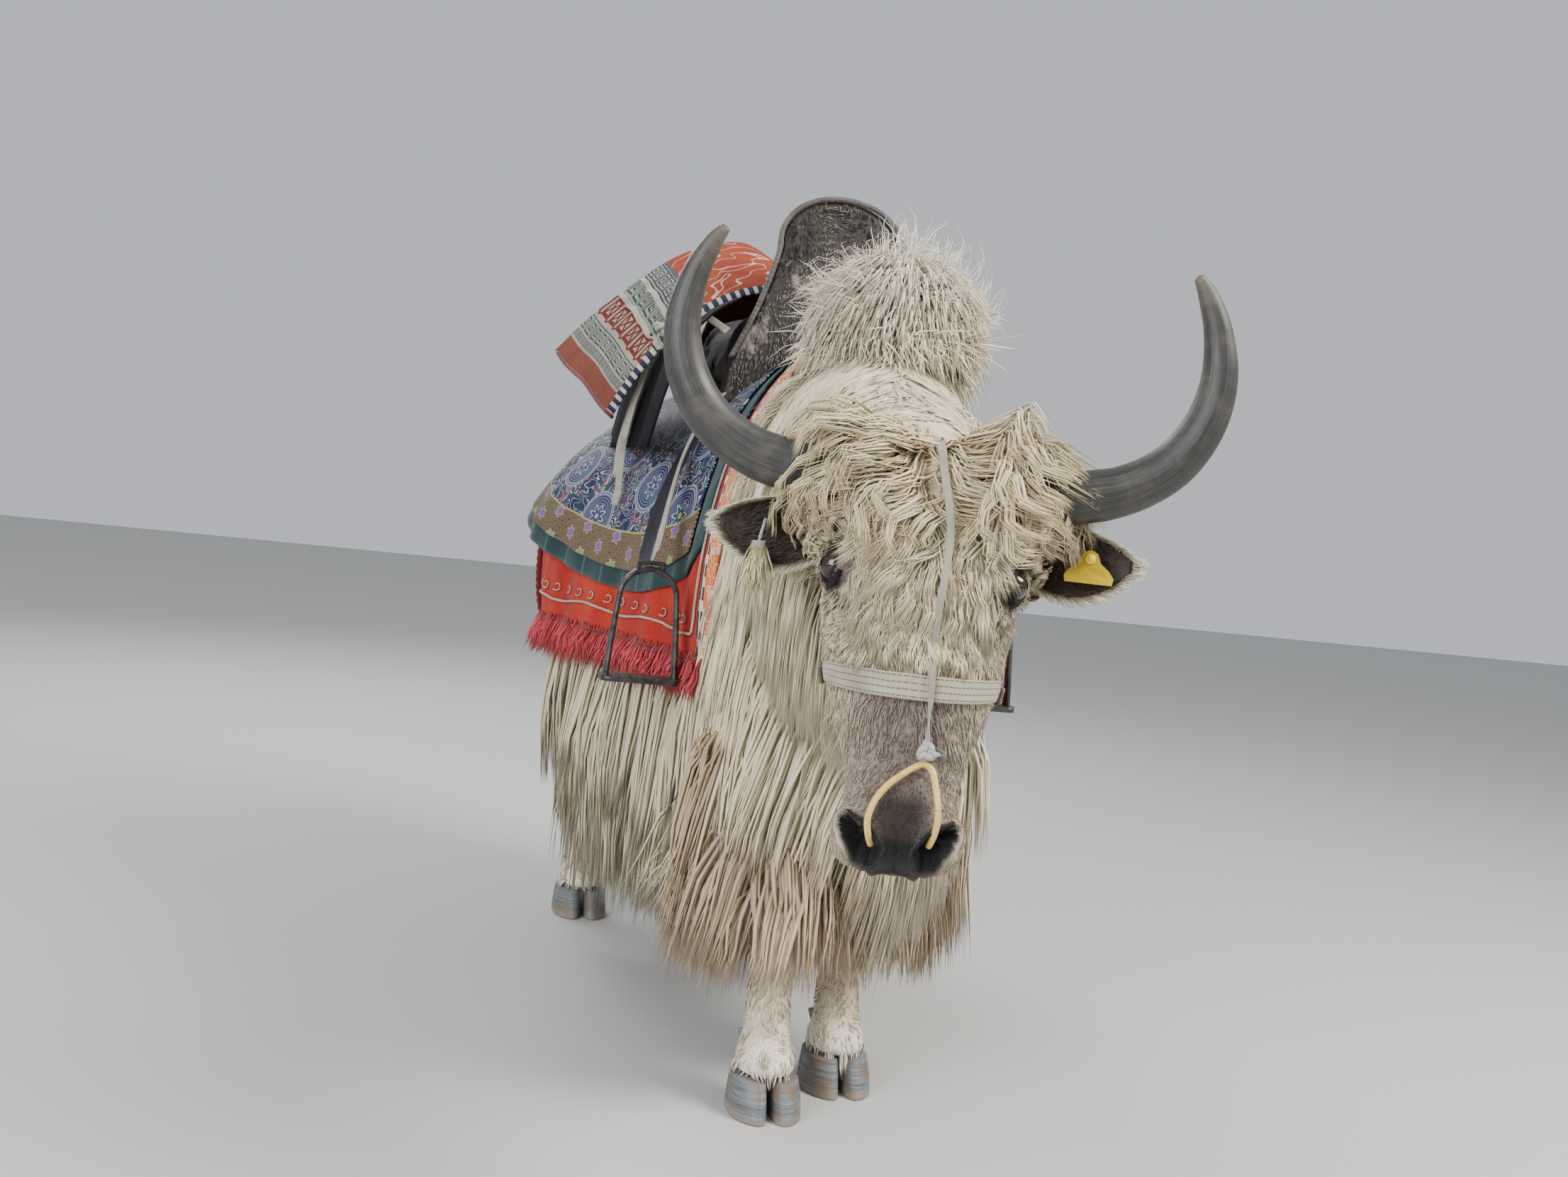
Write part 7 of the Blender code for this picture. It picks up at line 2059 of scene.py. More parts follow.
# %% Trims of the felt
def felt_at(along, height, side, lift=0.0):
    """Place on the outside of the felt at a height."""
    angle = side * barrel_angle(along, height)
    point = cloth_point(along, angle, 0.0085 + 0.0055 + lift, 0.024)
    return point + Vector((side, 0.15 * side, 0)) * soft_fold(along, point.z, side) * min(1.0, abs(angle))


cream_cord = woven("cream_piping", ((0.66, 0.60, 0.47), (0.48, 0.42, 0.32)), pitch=0.0012).material
red_braid = woven("dark_red_braid", ((0.20, 0.018, 0.016), (0.12, 0.012, 0.012)), pitch=0.0030).material
piping, braid = bmesh.new(), bmesh.new()
for side in (-1, 1):
    front = [felt_at(0.166, h, side, 0.0006) for h in np.linspace(0.96, 0.665, 16)]
    low = [felt_at(0.172 + 0.555 * k / 30, 0.648 - 0.004 * math.sin(k * 0.6), side, 0.0006) for k in range(31)]
    tube_piece(piping, front + low, 0.0022, 8, 260)
    for i in range(13):
        along = 0.20 + 0.042 * i
        scroll = [felt_at(along + r * math.cos(a), 0.668 + r * 0.75 * math.sin(a), side, 0.0004)
                  for a, r in ((0.4 + 0.42 * k, 0.0022 + 0.00085 * k) for k in range(13))]
        tube_piece(piping, scroll, 0.0012, 6, 36)
    back = [felt_at(0.758, h, side, 0.0010) for h in np.linspace(0.99, 0.612, 24)]
    tube_piece(braid, back, 0.0052, 12, 220, lumps=0.16)
    hem = [felt_at(0.130 + 0.625 * k / 40, 0.610, side, 0.0008) for k in range(41)]
    tube_piece(braid, hem, 0.0034, 10, 260, lumps=0.14)
finish_piece("felt_piping", piping, cream_cord)
finish_piece("felt_braid", braid, red_braid)

fringe_wool = coat_finish("rose_fringe", 0.8)
for side, word in ((-1, "right"), (1, "left")):
    draw = np.random.default_rng(80 + side)
    count = 1150
    along = draw.uniform(0.128, 0.757, count)
    tuft = np.round(along / 0.012) * 0.012
    along = np.clip(along * 0.5 + tuft * 0.5 + draw.normal(0, 0.002, count), 0.128, 0.757)
    low = draw.uniform(0.608, 0.622, count)
    tops = np.array([felt_at(a, h, side, 0.002)[:] for a, h in zip(along, low)])
    outs = np.tile((side * 1.0, 0.0, 0.15), (count, 1)) + draw.normal(0, 0.2, (count, 3))
    hanging_strands("felt_fringe_" + word, tops, 0.066, 0.0036, fringe_wool,
                    (0.60, 0.060, 0.085), 82 + side, 0.45, 0.0045, steps=4, sway=outs,
                    centre=(0, 0.45, 0.6))

# %% [markdown]
# ## Saddle
# The saddle has a wooden tree. Its high round pommel is covered in hairy black and white
# hide with a worn pale rim. The cantle behind is lower and bare wood, and a padded seat
# fills the space between them. The pad is inflated by a cloth simulation, because real
# stuffing pushes its cover into soft crowns between the seams.

# %% Boards of the saddle tree
BOARD_REACH = ((0.0, 0.02), (0.12, 0.35), (0.24, 0.66), (0.36, 0.88), (0.43, 0.965), (0.47, 0.992), (0.50, 1.0),
               (0.53, 0.992), (0.57, 0.965), (0.64, 0.88), (0.76, 0.66), (0.88, 0.35), (1.0, 0.02))
BOARD_DEPTH = ((0.0, -1.0), (0.24, -1.0), (0.36, -0.98), (0.43, -0.82), (0.47, -0.5), (0.50, 0.0), (0.53, 0.5),
               (0.57, 0.82), (0.64, 0.98), (0.76, 1.0), (1.0, 1.0))


def board_piece(name, outline, middle, along, thick, lean, finish, nodes):
    """Board across the back: rings run from its front's middle over the rounded rim to its back."""
    count = len(outline)
    wrapped = [outline[i % count] for i in range(-2, count + 3)]
    knots = [(i - 2) / count for i in range(len(wrapped))]
    rows = [list(zip(knots, [p[k] for p in wrapped])) for k in (0, 1)]
    low = min(p[1] for p in outline)

    def place(u, v):
        reach = curve(BOARD_REACH, v)
        across, height = (middle[k] + (curve(rows[k], u % 1.0) - middle[k]) * reach for k in (0, 1))
        return Vector((across, along + curve(BOARD_DEPTH, v) * thick / 2 + (height - low) * lean, height))

    bm = bmesh.new()
    bent_grid(bm, 140, 44, place, closed=True)
    close_ends(bm)
    return finish_piece(name, bm, finish, nodes)


POMMEL_ALONG, POMMEL_TOP, POMMEL_MIDDLE, POMMEL_HALF = 0.355, 1.360, 0.024, 0.106
pommel_outline = [(POMMEL_MIDDLE + POMMEL_HALF * math.cos(math.pi * i / 12),
                   POMMEL_TOP - 0.105 + 0.105 * math.sin(math.pi * i / 12) ** 0.72) for i in range(13)]
pommel_outline += [(-0.106, 1.170), (-0.146, 1.075), (-0.150, 0.999), (-0.09, 1.045), (0.0, 1.062), (0.09, 1.045),
                   (0.160, 0.999), (0.178, 1.065), (0.145, 1.165)]


def hide_finish():
    made = Finish("worn_hide", Roughness=0.6, Specular_IOR_Level=0.3)
    where = made.places()
    patch = made.noise(where, 13.0, 4.0, Roughness=0.6)
    fine = made.noise(made.stretch(where, (420.0, 60.0, 90.0)), 1.0, 4.0)
    dark = made.ramp(fine.outputs[0], (0.3, (0.010, 0.008, 0.008)), (0.7, (0.036, 0.030, 0.026)))
    pale = made.ramp(fine.outputs[0], (0.3, (0.10, 0.085, 0.070)), (0.7, (0.24, 0.21, 0.18)))
    made.colour(made.mix(made.grey(patch.outputs[0], 0.56, 0.60), dark.outputs[0], pale.outputs[0]))
    made.bump(fine.outputs[0], 0.0010, 0.8)
    return made.material


def wood_finish():
    made = Finish("old_saddle_wood", Roughness=0.5, Specular_IOR_Level=0.4)
    where = made.places()
    grain = made.noise(made.stretch(where, (7.0, 60.0, 160.0)), 1.0, 5.0, Distortion=0.6)
    wear = made.noise(where, 16.0, 4.0)
    base = made.ramp(grain.outputs[0], (0.3, (0.045, 0.022, 0.012)), (0.7, (0.17, 0.085, 0.042)))
    made.colour(made.mix(made.grey(wear.outputs[0], 0.55, 0.75, 0.0, 0.6), base.outputs[0], (0.24, 0.15, 0.085)))
    made.rough(made.grey(wear.outputs[0], 0.3, 0.7, 0.38, 0.62))
    made.bump(grain.outputs[0], 0.0008, 0.6)
    return made.material


pommel = board_piece("hide_pommel", pommel_outline, (0.0, 1.150), POMMEL_ALONG, 0.042, 0.10, hide_finish(),
                     ("pommel",))
cantle_outline = [(0.122 * math.cos(math.pi * i / 8), 1.165 + 0.068 * math.sin(math.pi * i / 8))
                  for i in range(9)] + [(-0.158, 1.05), (-0.138, 1.018), (0.0, 1.040), (0.138, 1.018), (0.158, 1.05)]
cantle = board_piece("wooden_cantle", cantle_outline, (0.0, 1.120), 0.655, 0.030, 0.20, wood_finish(),
                     ("cantle",))

# %% Worn rim and short hair of the pommel
rim_path = [Vector((x + 0.002 * (1 if x > POMMEL_MIDDLE else -1), POMMEL_ALONG - 0.021 + (z - 0.999) * 0.10, z))
            for x, z in [(-0.146, 1.080), (-0.108, 1.168)] + pommel_outline[12::-1] + [(0.147, 1.165), (0.178, 1.075)]]
rim = bmesh.new()
tube_piece(rim, rim_path, 0.0045, 10, 260, lumps=0.05)
rim_leather = woven("pale_rim_leather", ((0.15, 0.14, 0.125), (0.070, 0.064, 0.056)), pitch=0.004,
                    roughness=0.55).material
finish_piece("pommel_rim", rim, rim_leather)


def pommel_hair():
    """Short hair left on the front of the hide, black-brown with white patches."""
    draw = np.random.default_rng(90)
    tree = BVHTree.FromObject(pommel, bpy.context.evaluated_depsgraph_get())
    roots, outs = [], []
    while len(roots) < 3000:
        start = Vector((draw.uniform(-0.18, 0.18), 0.0 if draw.random() < 0.75 else 0.9,
                        draw.uniform(1.0, 1.36))) + SHIFT
        place, normal, _, _ = tree.ray_cast(start, Vector((0, 1 if start.y < 0.5 + SHIFT.y else -1, 0)))
        if place is not None and abs(normal.y) > 0.35:
            roots.append((place - SHIFT)[:])
            outs.append(normal[:])
    roots, outs = np.array(roots), np.array(outs)
    drift = np.column_stack([ripple(roots, 0.05, 91 + k) for k in range(3)])
    path = grow_paths(roots, outs, np.tile((0.2, 0, -0.4), (len(roots), 1)) + drift * 1.1,
                      0.016 * draw.uniform(0.5, 1.3, len(roots)), np.full(len(roots), 0.003),
                      np.full(len(roots), 0.2), 2, 0.001, 0.7, 92)
    path, own = gather(path, roots, 8, 0.5, 0.4)
    wide = 0.0028 * draw.uniform(0.6, 1.2, len(roots))
    corners = blades(path, outs, wide, wide * 0.3, 0.5, 93)
    patch = smooth_step(ripple(roots * (1, 0, 1), 0.045, 94) + 1.2 * (1.16 - roots[:, 2]) / 0.1 * (roots[:, 2] < 1.16), 0.45, 0.8)
    colours = blend(np.tile((0.016, 0.013, 0.011), (len(roots), 1)), (0.17, 0.155, 0.135), patch)
    coat_piece("pommel_hair", roots, corners, colours, draw.random(len(roots)), np.full(len(roots), 0.016),
               unwrap(roots, (0, 0.37, 1.1), (0, 0, 1), -0.2, 0.3), coat)


pommel_hair()

# %% Padded seat
def seat_start():
    """Slightly small closed form of the seat, before it swells."""
    bm = bmesh.new()

    def place(u, v):
        along = 0.412 + 0.216 * v
        top = 1.150 + 0.020 * (2 * v - 1) ** 2
        turn = 2 * math.pi * u
        across = 0.140 * power(math.sin(turn), 0.55)
        height = 1.075 + (top - 1.075) * power(math.cos(turn), 0.6) if math.cos(turn) > 0 else \
            1.075 + (1.075 - 1.058 + 0.025 * (abs(across) / 0.14) ** 2) * power(math.cos(turn), 0.6)
        return Vector((across, along, height))

    bent_grid(bm, 60, 16, place, closed=True)
    close_ends(bm)
    bmesh.ops.recalc_face_normals(bm, faces=bm.faces[:])
    mesh = bpy.data.meshes.new("seat_start")
    bm.to_mesh(mesh)
    bm.free()
    pad = bpy.data.objects.new("seat_start", mesh)
    scene.collection.objects.link(pad)
    return pad


def swell(pad, voxel, pressure, most):
    """Remesh a closed form, inflate it as cloth, and cap how far each point may move."""
    melt = pad.modifiers.new("melt", 'REMESH')
    melt.mode, melt.voxel_size = 'VOXEL', voxel
    mesh = bpy.data.meshes.new_from_object(pad.evaluated_get(bpy.context.evaluated_depsgraph_get()))
    pad.modifiers.clear()
    pad.data = mesh
    rest = [v.co.copy() for v in mesh.vertices]
    cloth = pad.modifiers.new("cloth", 'CLOTH')
    cloth.settings.use_pressure = True
    cloth.settings.uniform_pressure_force = pressure
    cloth.settings.effector_weights.gravity = 0
    for frame_number in range(1, 21):
        scene.frame_set(frame_number)
    swollen = bpy.data.meshes.new_from_object(pad.evaluated_get(bpy.context.evaluated_depsgraph_get()))
    pad.modifiers.clear()
    for vert, before in zip(swollen.vertices, rest):
        move = vert.co - before
        vert.co = before + move * min(1.0, most / max(move.length, 1e-9))
    pad.data = swollen
    scene.frame_set(1)
    made = bmesh.new()
    made.from_mesh(pad.data)
    bpy.data.objects.remove(pad)
    return made


seat_cloth = woven("dark_seat_cloth", ((0.050, 0.034, 0.040), (0.095, 0.070, 0.070)), pitch=0.0016)
where = seat_cloth.places()
fold_noise = seat_cloth.noise(where, 16.0, 3.0)
seat_cloth.bump(fold_noise.outputs[0], 0.004, 0.6)
pad = swell(seat_start(), 0.006, 4.0, 0.008)
for vert in pad.verts:
    for seam in (-0.048, 0.048):
        vert.co.z -= 0.007 * math.exp(-((vert.co.x - seam) / 0.007) ** 2) * (vert.co.z > 1.10)
seat = finish_piece("padded_seat", pad, seat_cloth.material, ("seat",))

# %% [markdown]
# Beside the seat hangs the flap of a plain black cover, which keeps the rug's tapes off the
# brocade. It is one sheet curved from under the rug down over the side of the saddle.

# %% Black cover under the rug
COVER_LINE = ((-0.152, 1.172), (-0.196, 1.140), (-0.236, 1.085), (-0.261, 1.010), (-0.278, 0.920))


def cover_point(u, v):
    """Place on the cover's right flap: u forwards to back, v from under the rug down the side."""
    along = 0.296 + 0.398 * u + 0.006 * math.sin(6 * v)
    knots = np.linspace(0, 1, len(COVER_LINE)).tolist()
    side, height = (curve(list(zip(knots, [p[k] for p in COVER_LINE])), v) for k in (0, 1))
    if height < 0.99:
        side = min(side, cloth_point(along, -barrel_angle(along, height), 0.036, 0.060).x)
    return Vector((side + 0.004 * math.sin(18 * u + 3 * v) * v, along, height))


def cover_side(height):
    """Side place of the cover at a height."""
    return curve([(p[1], p[0]) for p in reversed(COVER_LINE)], max(0.92, min(1.172, height)))


flap = bmesh.new()
bent_grid(flap, 50, 36, cover_point, (0.398, 0.30))
flap_area = sum(face.calc_area() for face in flap.faces)
bmesh.ops.recalc_face_normals(flap, faces=flap.faces[:])
bmesh.ops.solidify(flap, geom=flap.faces[:], thickness=0.003)
black_weave = woven("black_cover_cloth", ((0.0025, 0.0025, 0.004), (0.006, 0.006, 0.010)), pitch=0.0012,
                    roughness=0.95)
black_weave.shader.inputs["Sheen Weight"].default_value = 0.0
black_cloth = black_weave.material
flap_piece = finish_piece("black_seat_cover", flap, black_cloth)
print("cover area", round(flap_area, 3))

# %% [markdown]
# ## Folded rug
# A carpet-woven rug is folded once along its length, laid over the seat and tied down with
# white tape, its end flung out over the right side. The upper part is orange-red with a
# thin cream figure, and the end is cream with rows of grey-blue fret, teal squares and
# brown-red knots above a plain salmon hem.

# %% Rug
RUG_LINE = ((0.150, 1.140), (0.110, 1.196), (0.040, 1.234), (-0.060, 1.256), (-0.150, 1.230),
            (-0.235, 1.170), (-0.310, 1.092), (-0.365, 1.020))
RUG_FRONT, RUG_BACK, RUG_LENGTH = 0.424, 0.706, 0.64
RUG_TIE = 0.74


def rug_point(u, v):
    """Place on the folded rug: u from the under layer's back edge round the fold to the upper's."""
    bend = 0.5
    upper = u > bend
    back = abs(u - bend) / bend
    along = RUG_FRONT + (RUG_BACK - RUG_FRONT) * back
    t = back
    knots = np.linspace(0, 1, len(RUG_LINE)).tolist()
    across = curve(list(zip(knots, [p[0] for p in RUG_LINE])), v)
    height = curve(list(zip(knots, [p[1] for p in RUG_LINE])), v)
    step = 0.01
    run = Vector((curve(list(zip(knots, [p[0] for p in RUG_LINE])), min(1, v + step))
                  - curve(list(zip(knots, [p[0] for p in RUG_LINE])), max(0, v - step)),
                  curve(list(zip(knots, [p[1] for p in RUG_LINE])), min(1, v + step))
                  - curve(list(zip(knots, [p[1] for p in RUG_LINE])), max(0, v - step)))).normalized()
    up = Vector((-run.y, run.x)) if run.x > 0 else Vector((run.y, -run.x))
    push = max(0.0, v * 7 - 3) / 4
    reach = 0.87 + 0.16 * t
    if across < 0:
        across *= 1 + push * (reach - 1)
    wave = 0.003 * math.sin(3.0 * t * math.pi + v * 3.5) * push
    tilt = 0.110 * float(smooth_step(v, 0.18, 0.45))
    gathered = math.exp(-((v - RUG_TIE) / 0.07) ** 2)
    along += (0.565 - along) * 0.10 * gathered
    crease = 0.0018 * gathered * math.sin(t * 24)
    height += wave + tilt * (t - 0.5) + crease
    gap = 0.0068 * min(1.0, math.sqrt(max(0.0, back) / 0.07)) * (1 - 0.25 * gathered)
    gap *= 1 if upper else -1
    along += 0.020 * tilt / 0.110 * (t - 0.5)
    return Vector((across + up.x * gap, along + 0.0015 * math.sin(v * 21) * (1 - back), height + up.y * gap))


def rug_finish():
    made = Finish("woven_rug", Roughness=0.92, Specular_IOR_Level=0.08, Sheen_Weight=0.03)
    map_ = made.uv("weave")
    split = made.node("SeparateXYZ", {0: map_})
    across, run = split.outputs[0], split.outputs[1]
    cloud = made.noise(made.places(), 18.0, 5.0)
    orange = made.ramp(cloud.outputs[0], (0.3, (0.27, 0.024, 0.005)), (0.7, (0.40, 0.058, 0.013)))
    lines = made.noise(made.stretch(map_, (1, 1, 1)), 15.0, 0.8, Distortion=0.4)
    figure = made.grey(made.math('ABSOLUTE', made.math('SUBTRACT', made.math('FRACT', made.math(
        'MULTIPLY', lines.outputs[0], 5.0)), 0.5)), 0.035, 0.06, 1.0, 0.0)
    top = made.mix(figure, orange.outputs[0], (0.62, 0.52, 0.40))
    cream = made.ramp(cloud.outputs[0], (0.3, (0.30, 0.27, 0.20)), (0.7, (0.44, 0.40, 0.31)))
    end = cream.outputs[0]
    for place, pitch, shade, kind in ((0.432, 0.030, (0.030, 0.050, 0.075), 'fret'),
                                      (0.470, 0.040, (0.012, 0.070, 0.078), 'square'),
                                      (0.517, 0.046, (0.16, 0.016, 0.010), 'knot'),
                                      (0.562, 0.032, (0.022, 0.055, 0.075), 'square'),
                                      (0.588, 0.014, (0.030, 0.050, 0.075), 'fret')):
        local = made.math('DIVIDE', made.math('SUBTRACT', run, place), pitch)
        turn = made.math('SUBTRACT', made.math('FRACT', made.math('DIVIDE', across, pitch)), 0.5)
        box = made.math('MAXIMUM', made.math('ABSOLUTE', local), made.math('ABSOLUTE', turn))
        inside = made.math('LESS_THAN', made.math('ABSOLUTE', local), 0.5)
        if kind == 'fret':
            ring = made.math('FRACT', made.math('MULTIPLY', box, 5.0))
            ink = made.math('LESS_THAN', ring, 0.5)
        elif kind == 'square':
            ring = made.math('FRACT', made.math('ADD', made.math('MULTIPLY', box, 4.6), made.math('MULTIPLY', made.math(
                'GREATER_THAN', made.math('ADD', local, turn), 0.0), 0.5)))
            ink = made.math('LESS_THAN', ring, 0.46)
        else:
            cross = made.math('MINIMUM', made.math('ABSOLUTE', made.math('SUBTRACT', local, turn)),
                              made.math('ABSOLUTE', made.math('ADD', local, turn)))
            ink = made.math('LESS_THAN', made.math('MINIMUM', cross, made.math('ABSOLUTE', made.math(
                'SUBTRACT', box, 0.34))), 0.075)
        end = made.mix(made.math('MULTIPLY', ink, inside), end, shade)
    both = made.mix(made.grey(run, 0.410, 0.413), top, end)
    both = made.mix(line_at(made, run, 0.413, 0.0024, 0.001), both, (0.06, 0.09, 0.13))
    salmon = made.ramp(cloud.outputs[0], (0.3, (0.17, 0.040, 0.024)), (0.7, (0.24, 0.066, 0.040)))
    both = made.mix(made.grey(run, 0.599, 0.601), both, salmon.outputs[0])
    side = made.math('ABSOLUTE', made.math('SUBTRACT', across, RUG_BACK - RUG_FRONT))
    dots = made.math('LESS_THAN', made.math('ABSOLUTE', made.math('SUBTRACT', made.math('FRACT', made.math(
        'MULTIPLY', run, 62.0)), 0.5)), 0.22)
    strip = made.mix(dots, (0.022, 0.026, 0.060), (0.52, 0.50, 0.44))
    both = made.mix(made.grey(side, 0.016, 0.0165, 1.0, 0.0), both, strip)
    knots = made.node("TexVoronoi", {"Vector": map_, "Scale": 620.0})
    # Painted shade: the gaps between the knots of the pile are darkened.
    both = made.mix(made.grey(knots.outputs[0], 0.2, 0.9, 0.0, 0.35), both, (0.05, 0.04, 0.035))
    made.colour(both)
    made.bump(knots.outputs[0], -0.0012, 0.8)
    return made.material


rug = bmesh.new()
bent_grid(rug, 76, 120, rug_point, (2 * (RUG_BACK - RUG_FRONT), RUG_LENGTH))
rug_area = sum(face.calc_area() for face in rug.faces)
bmesh.ops.recalc_face_normals(rug, faces=rug.faces[:])
bmesh.ops.solidify(rug, geom=rug.faces[:], thickness=0.0048)
rug_piece = finish_piece("folded_rug", rug, rug_finish(), ("rug",))
print("rug area", round(rug_area, 3))
hem = bmesh.new()
tube_piece(hem, [rug_point(0.02 + 0.96 * k / 40, 0.999) for k in range(41)], 0.0034, 8, 200)
finish_piece("rug_hem_piping", hem, red_braid)

# %% Tapes that tie the rug
def ribbon(bm, path, normals, width, thick=0.0012, rows=None):
    """Flat tape along a path; normals say which way its face looks."""
    knots = np.linspace(0, 1, len(path)).tolist()
    read = lambda rows_, t: Vector([curve(list(zip(knots, [p[k] for p in rows_])), t) for k in range(3)])

    def place(u, v):
        ahead = (read(path, min(1, v + 0.01)) - read(path, max(0, v - 0.01))).normalized()
        side = ahead.cross(read(normals, v)).normalized()
        return read(path, v) + side * (u - 0.5) * width

    length = sum((Vector(b) - Vector(a)).length for a, b in zip(path, path[1:]))
    before = set(bm.faces)
    bent_grid(bm, 4, rows or max(20, int(length / 0.005)), place, (width, length))
    fresh = [face for face in bm.faces if face not in before]
    area = sum(face.calc_area() for face in fresh)
    bmesh.ops.recalc_face_normals(bm, faces=fresh)
    bmesh.ops.solidify(bm, geom=fresh, thickness=thick)
    return length, area


def tape_piece(name, path, normals, width):
    bm = bmesh.new()
    length, area = ribbon(bm, path, normals, width)
    piece = finish_piece(name, bm, tape)
    min(area, width * 1.02 * length * 1.05)
    return piece


def around_rug(v, lift=0.0045):
    """Ring of points round the folded rug at one place along it."""
    points = []
    for k in range(33):
        u = 0.015 + 0.97 * k / 32
        points.append(rug_point(u, v) + (rug_point(u, v) - rug_point(1 - u, v)).normalized() * lift)
    points.append(points[-1].lerp(points[0], 0.5) + Vector((0, 0.006, 0)))
    points.append(points[0])
    return points


for index, v in enumerate((0.715, 0.775)):
    ring = around_rug(v)
    middle = sum(ring, Vector()) / len(ring)
    tape_piece("rug_tape_%d" % index, ring, [(p - middle).normalized() for p in ring], 0.011)
knot_top = rug_point(0.56, 0.745) + Vector((-0.004, -0.008, 0.006))
tie_knot = bmesh.new()
tube_piece(tie_knot, [knot_top + p for p in knot_path(0.0075, 0.2)], 0.0042, 10, 90, lumps=0.06)
finish_piece("rug_tape_knot", tie_knot, tape)
for index, (drop, along, sway) in enumerate(((0.30, 0.008, 0.0), (0.25, 0.030, 1.4), (0.19, -0.018, 2.6))):
    path = []
    for k in range(15):
        t = k / 14
        along_k = knot_top.y + along * t + 0.006 * math.sin(4 * t + sway)
        height = knot_top.z - drop * t
        body = cloth_point(along_k, -barrel_angle(along_k, min(max(height, 0.72), 0.99)), 0.045 + 0.003 * index, 0.060)
        share = float(smooth_step(t, 0.0, 0.9))
        across = min(knot_top.x * (1 - share) + body.x * share, cover_side(height) - 0.009 - 0.003 * index)
        path.append(Vector((min(across, body.x if t > 0.6 else 0), along_k, height)))
    turn = [Vector((-0.45 + 0.3 * math.sin(3 * t + sway), -0.85, 0.1)).normalized() for t in np.linspace(0, 1, 15)]
    tape_piece("rug_tape_tail_%d" % index, path, turn, 0.012)
run = [knot_top, knot_top + Vector((0.008, -0.035, -0.012)), Vector((-0.222, 0.440, 1.135)),
       Vector((-0.200, 0.380, 1.145)), Vector((-0.160, 0.334, 1.120))]
tape_piece("rug_tape_run", run, [Vector((-0.5, -0.6, 0.6))] * 5, 0.013)

# %% [markdown]
# ## Stirrups
# Each stirrup is forged iron, a flat bow with a slotted plate for the strap and a broad
# tread. It hangs from pale webbing that comes out from under the rug.

# %% Stirrup irons
def iron_finish():
    made = Finish("dark_iron", Metallic=0.75, Roughness=0.48)
    where = made.places()
    rust = made.noise(where, 60.0, 5.0)
    fine = made.noise(where, 300.0, 4.0)
    base = made.ramp(rust.outputs[0], (0.35, (0.035, 0.035, 0.037)), (0.60, (0.085, 0.083, 0.080)),
                     (0.78, (0.13, 0.085, 0.055)))
    made.colour(base.outputs[0])
    made.rough(made.grey(fine.outputs[0], 0.3, 0.7, 0.34, 0.60))
    made.bump(fine.outputs[0], 0.0005, 0.6)
    return made.material


STIRRUP_PLACE, STIRRUP_TOP, STIRRUP_FOOT, STIRRUP_HALF = (0.273, 0.175), 0.745, 0.566, 0.052


def make_stirrup(side, word, finish):
    x, y = STIRRUP_PLACE
    iron = bmesh.new()

    def bow(u, v):
        leg, spring = 0.30, STIRRUP_TOP - 0.008 - STIRRUP_HALF * 0.84
        up = min(v, 1 - v) / leg
        turn = math.pi * min(1.0, max(0.0, (v - leg) / (1 - 2 * leg)))
        side_of = 1 if v < 0.5 else -1
        if up < 1:
            reach = STIRRUP_HALF * (1.0 - 0.16 * up ** 1.5)
            centre = Vector((side * x + side_of * reach, y, STIRRUP_FOOT + (spring - STIRRUP_FOOT) * up))
            spoke = Vector((side_of, 0, 0))
        else:
            spoke = Vector((math.cos(turn), 0, math.sin(turn)))
            centre = Vector((side * x, y, spring)) + spoke * STIRRUP_HALF * 0.84
        a = 2 * math.pi * u
        deep = 0.0075 + 0.004 * max(0.0, 1 - up * 2)
        return centre + spoke * 0.0042 * power(math.cos(a), 0.7) + Vector((0, deep * power(math.sin(a), 0.7), 0))

    bent_grid(iron, 16, 90, bow, closed=True)
    close_ends(iron)
    tread = bmesh.ops.create_cube(iron, size=1.0)["verts"]
    bmesh.ops.scale(iron, verts=tread, vec=(0.122, 0.050, 0.0085))
    bmesh.ops.translate(iron, verts=tread, vec=(side * x, y, STIRRUP_FOOT + 0.00475))
    corners = list({e for v in tread for e in v.link_edges if abs(e.verts[0].co.z - e.verts[1].co.z) > 0.004})
    bmesh.ops.bevel(iron, geom=corners, offset=0.014, affect='EDGES', segments=6, profile=0.5, material=-1)
    plate = bmesh.ops.create_cube(iron, size=1.0)["verts"]
    bmesh.ops.scale(iron, verts=plate, vec=(0.044, 0.0080, 0.0060))
    bmesh.ops.translate(iron, verts=plate, vec=(side * x, y, STIRRUP_TOP + 0.0015))
    posts = []
    for lean in (-1, 1):
        post = bmesh.ops.create_cube(iron, size=1.0)["verts"]
        bmesh.ops.scale(iron, verts=post, vec=(0.006, 0.0080, 0.020))
        bmesh.ops.translate(iron, verts=post, vec=(side * x + lean * 0.019, y, STIRRUP_TOP - 0.008))
        posts += post
    edges = list({e for v in plate + posts for e in v.link_edges})
    bmesh.ops.bevel(iron, geom=edges, offset=0.0012, affect='EDGES', segments=2, profile=0.5, material=-1)
    for k in range(5):
        ridge = bmesh.ops.create_cube(iron, size=1.0)["verts"]
        bmesh.ops.scale(iron, verts=ridge, vec=(0.003, 0.044, 0.0020))
        bmesh.ops.translate(iron, verts=ridge, vec=(side * x + (k - 2) * 0.018, y, STIRRUP_FOOT + 0.0095))
    piece = finish_piece("stirrup_iron_" + word, iron, finish, ("stirrup_" + word,), smooth=True)
    for face in piece.data.polygons:
        face.use_smooth = face.area < 0.00009
    return piece


dark_iron = iron_finish()
STRAP_HEAD = (0.300, 0.985)


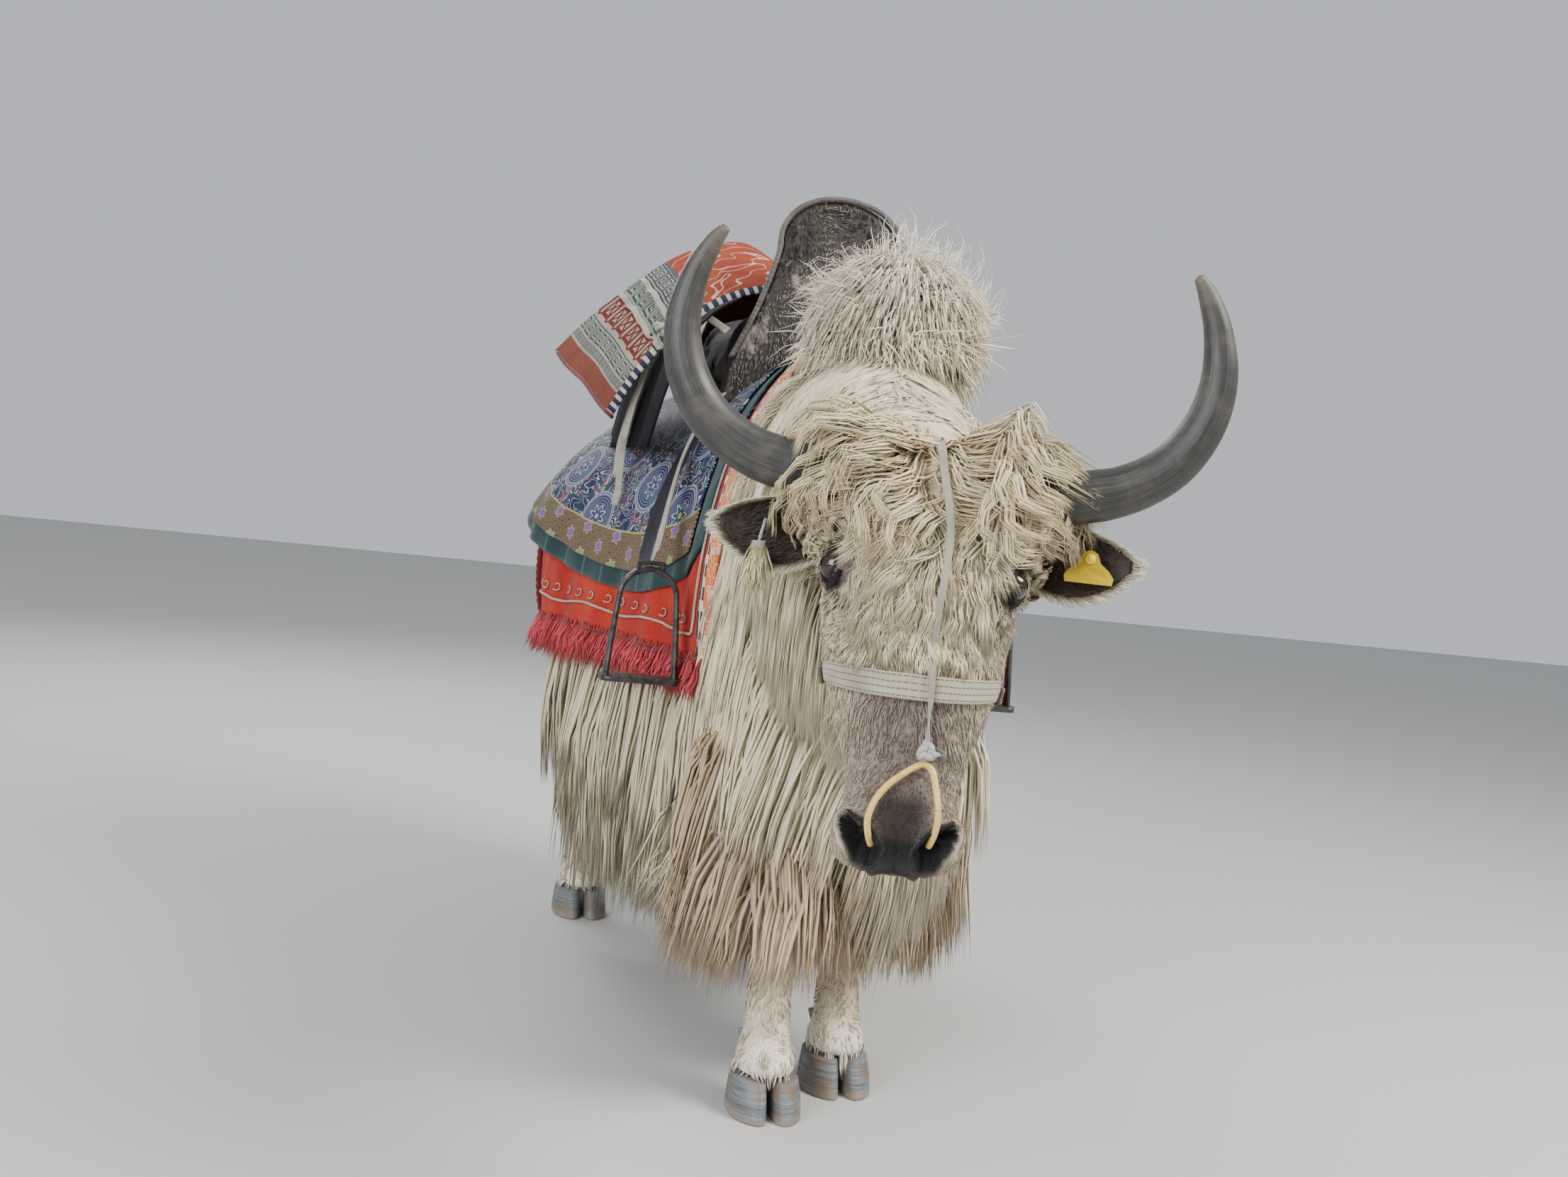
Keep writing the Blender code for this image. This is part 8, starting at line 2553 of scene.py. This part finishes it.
def strap_path(side):
    """Middle line and faces of a stirrup strap, from under the rug to the iron's slot."""
    x, y = STIRRUP_PLACE
    foot = STIRRUP_TOP + 0.004
    points, faces = [], []
    for i in range(15):
        t = i / 14
        along = STRAP_HEAD[0] + (y - STRAP_HEAD[0]) * t ** 1.5
        angle = side * barrel_angle(along, STRAP_HEAD[1] + (foot - STRAP_HEAD[1]) * t)
        place = barrel_point(along, angle, 0.0425)
        out = (barrel_point(along, angle, 0.05) - place).normalized()
        hang = Vector((side * x, along, place.z))
        place = place.lerp(hang, t * t)
        place.z += (foot - place.z) * t ** 6
        points.append(place + Vector((0, 0.002 * math.sin(9 * t), 0)))
        faces.append(out.lerp(Vector((side, 0.25 * math.sin(5 * t), 0)), t).normalized())
    return points, faces


for side, word in ((-1, "right"), (1, "left")):
    iron = make_stirrup(side, word, dark_iron)
    webbing = bmesh.new()
    points, faces = strap_path(side)
    length, area = ribbon(webbing, points, faces, 0.025, 0.0024, 90)
    piece = finish_piece("stirrup_webbing_" + word, webbing, tape, ("stirrup_strap_" + word,))
    min(area, 0.0262 * length * 1.05)

# %% [markdown]
# The animal stands on a plain pale floor that belongs to the stage, not to the model.
# One large soft lamp stands to its left, a weaker one fills the other side and a third
# lifts the back edge of the coat from the background, as an overcast sky would.

# %% Floor and lights
def soft_lamp(name, place, target, size, watts, colour=(1, 1, 1)):
    lamp = bpy.data.lights.new(name, 'AREA')
    lamp.shape = 'DISK'
    lamp.size = size
    lamp.energy = watts
    lamp.color = colour
    thing = bpy.data.objects.new(name, lamp)
    scene.collection.objects.link(thing)
    thing.location = Vector(place)
    thing.rotation_euler = (Vector(target) - Vector(place)).to_track_quat('-Z', 'Y').to_euler()
    return thing


def make_floor():
    bm = bmesh.new()
    bmesh.ops.create_grid(bm, x_segments=1, y_segments=1, size=12)
    mesh = bpy.data.meshes.new("floor")
    bm.to_mesh(mesh)
    bm.free()
    floor = bpy.data.objects.new("floor", mesh)
    scene.collection.objects.link(floor)
    made = Finish("pale_floor", Roughness=0.9)
    made.colour((0.48, 0.48, 0.47))
    mesh.materials.append(made.material)


make_floor()
world = bpy.data.worlds.new("studio")
scene.world = world
world.use_nodes = True
world.node_tree.nodes["Background"].inputs[0].default_value = (0.88, 0.92, 0.98, 1)
world.node_tree.nodes["Background"].inputs[1].default_value = 0.66
middle = Vector((0, -0.3, 0.7))
soft_lamp("key", Vector((2.6, -2.2, 3.6)), middle, 2.2, 330, (1.0, 0.96, 0.90))
soft_lamp("fill", Vector((-3.4, -3.0, 2.2)), middle, 3.0, 230, (0.97, 0.98, 1.0))
soft_lamp("rim", Vector((-1.0, 3.6, 3.2)), middle, 2.5, 120)
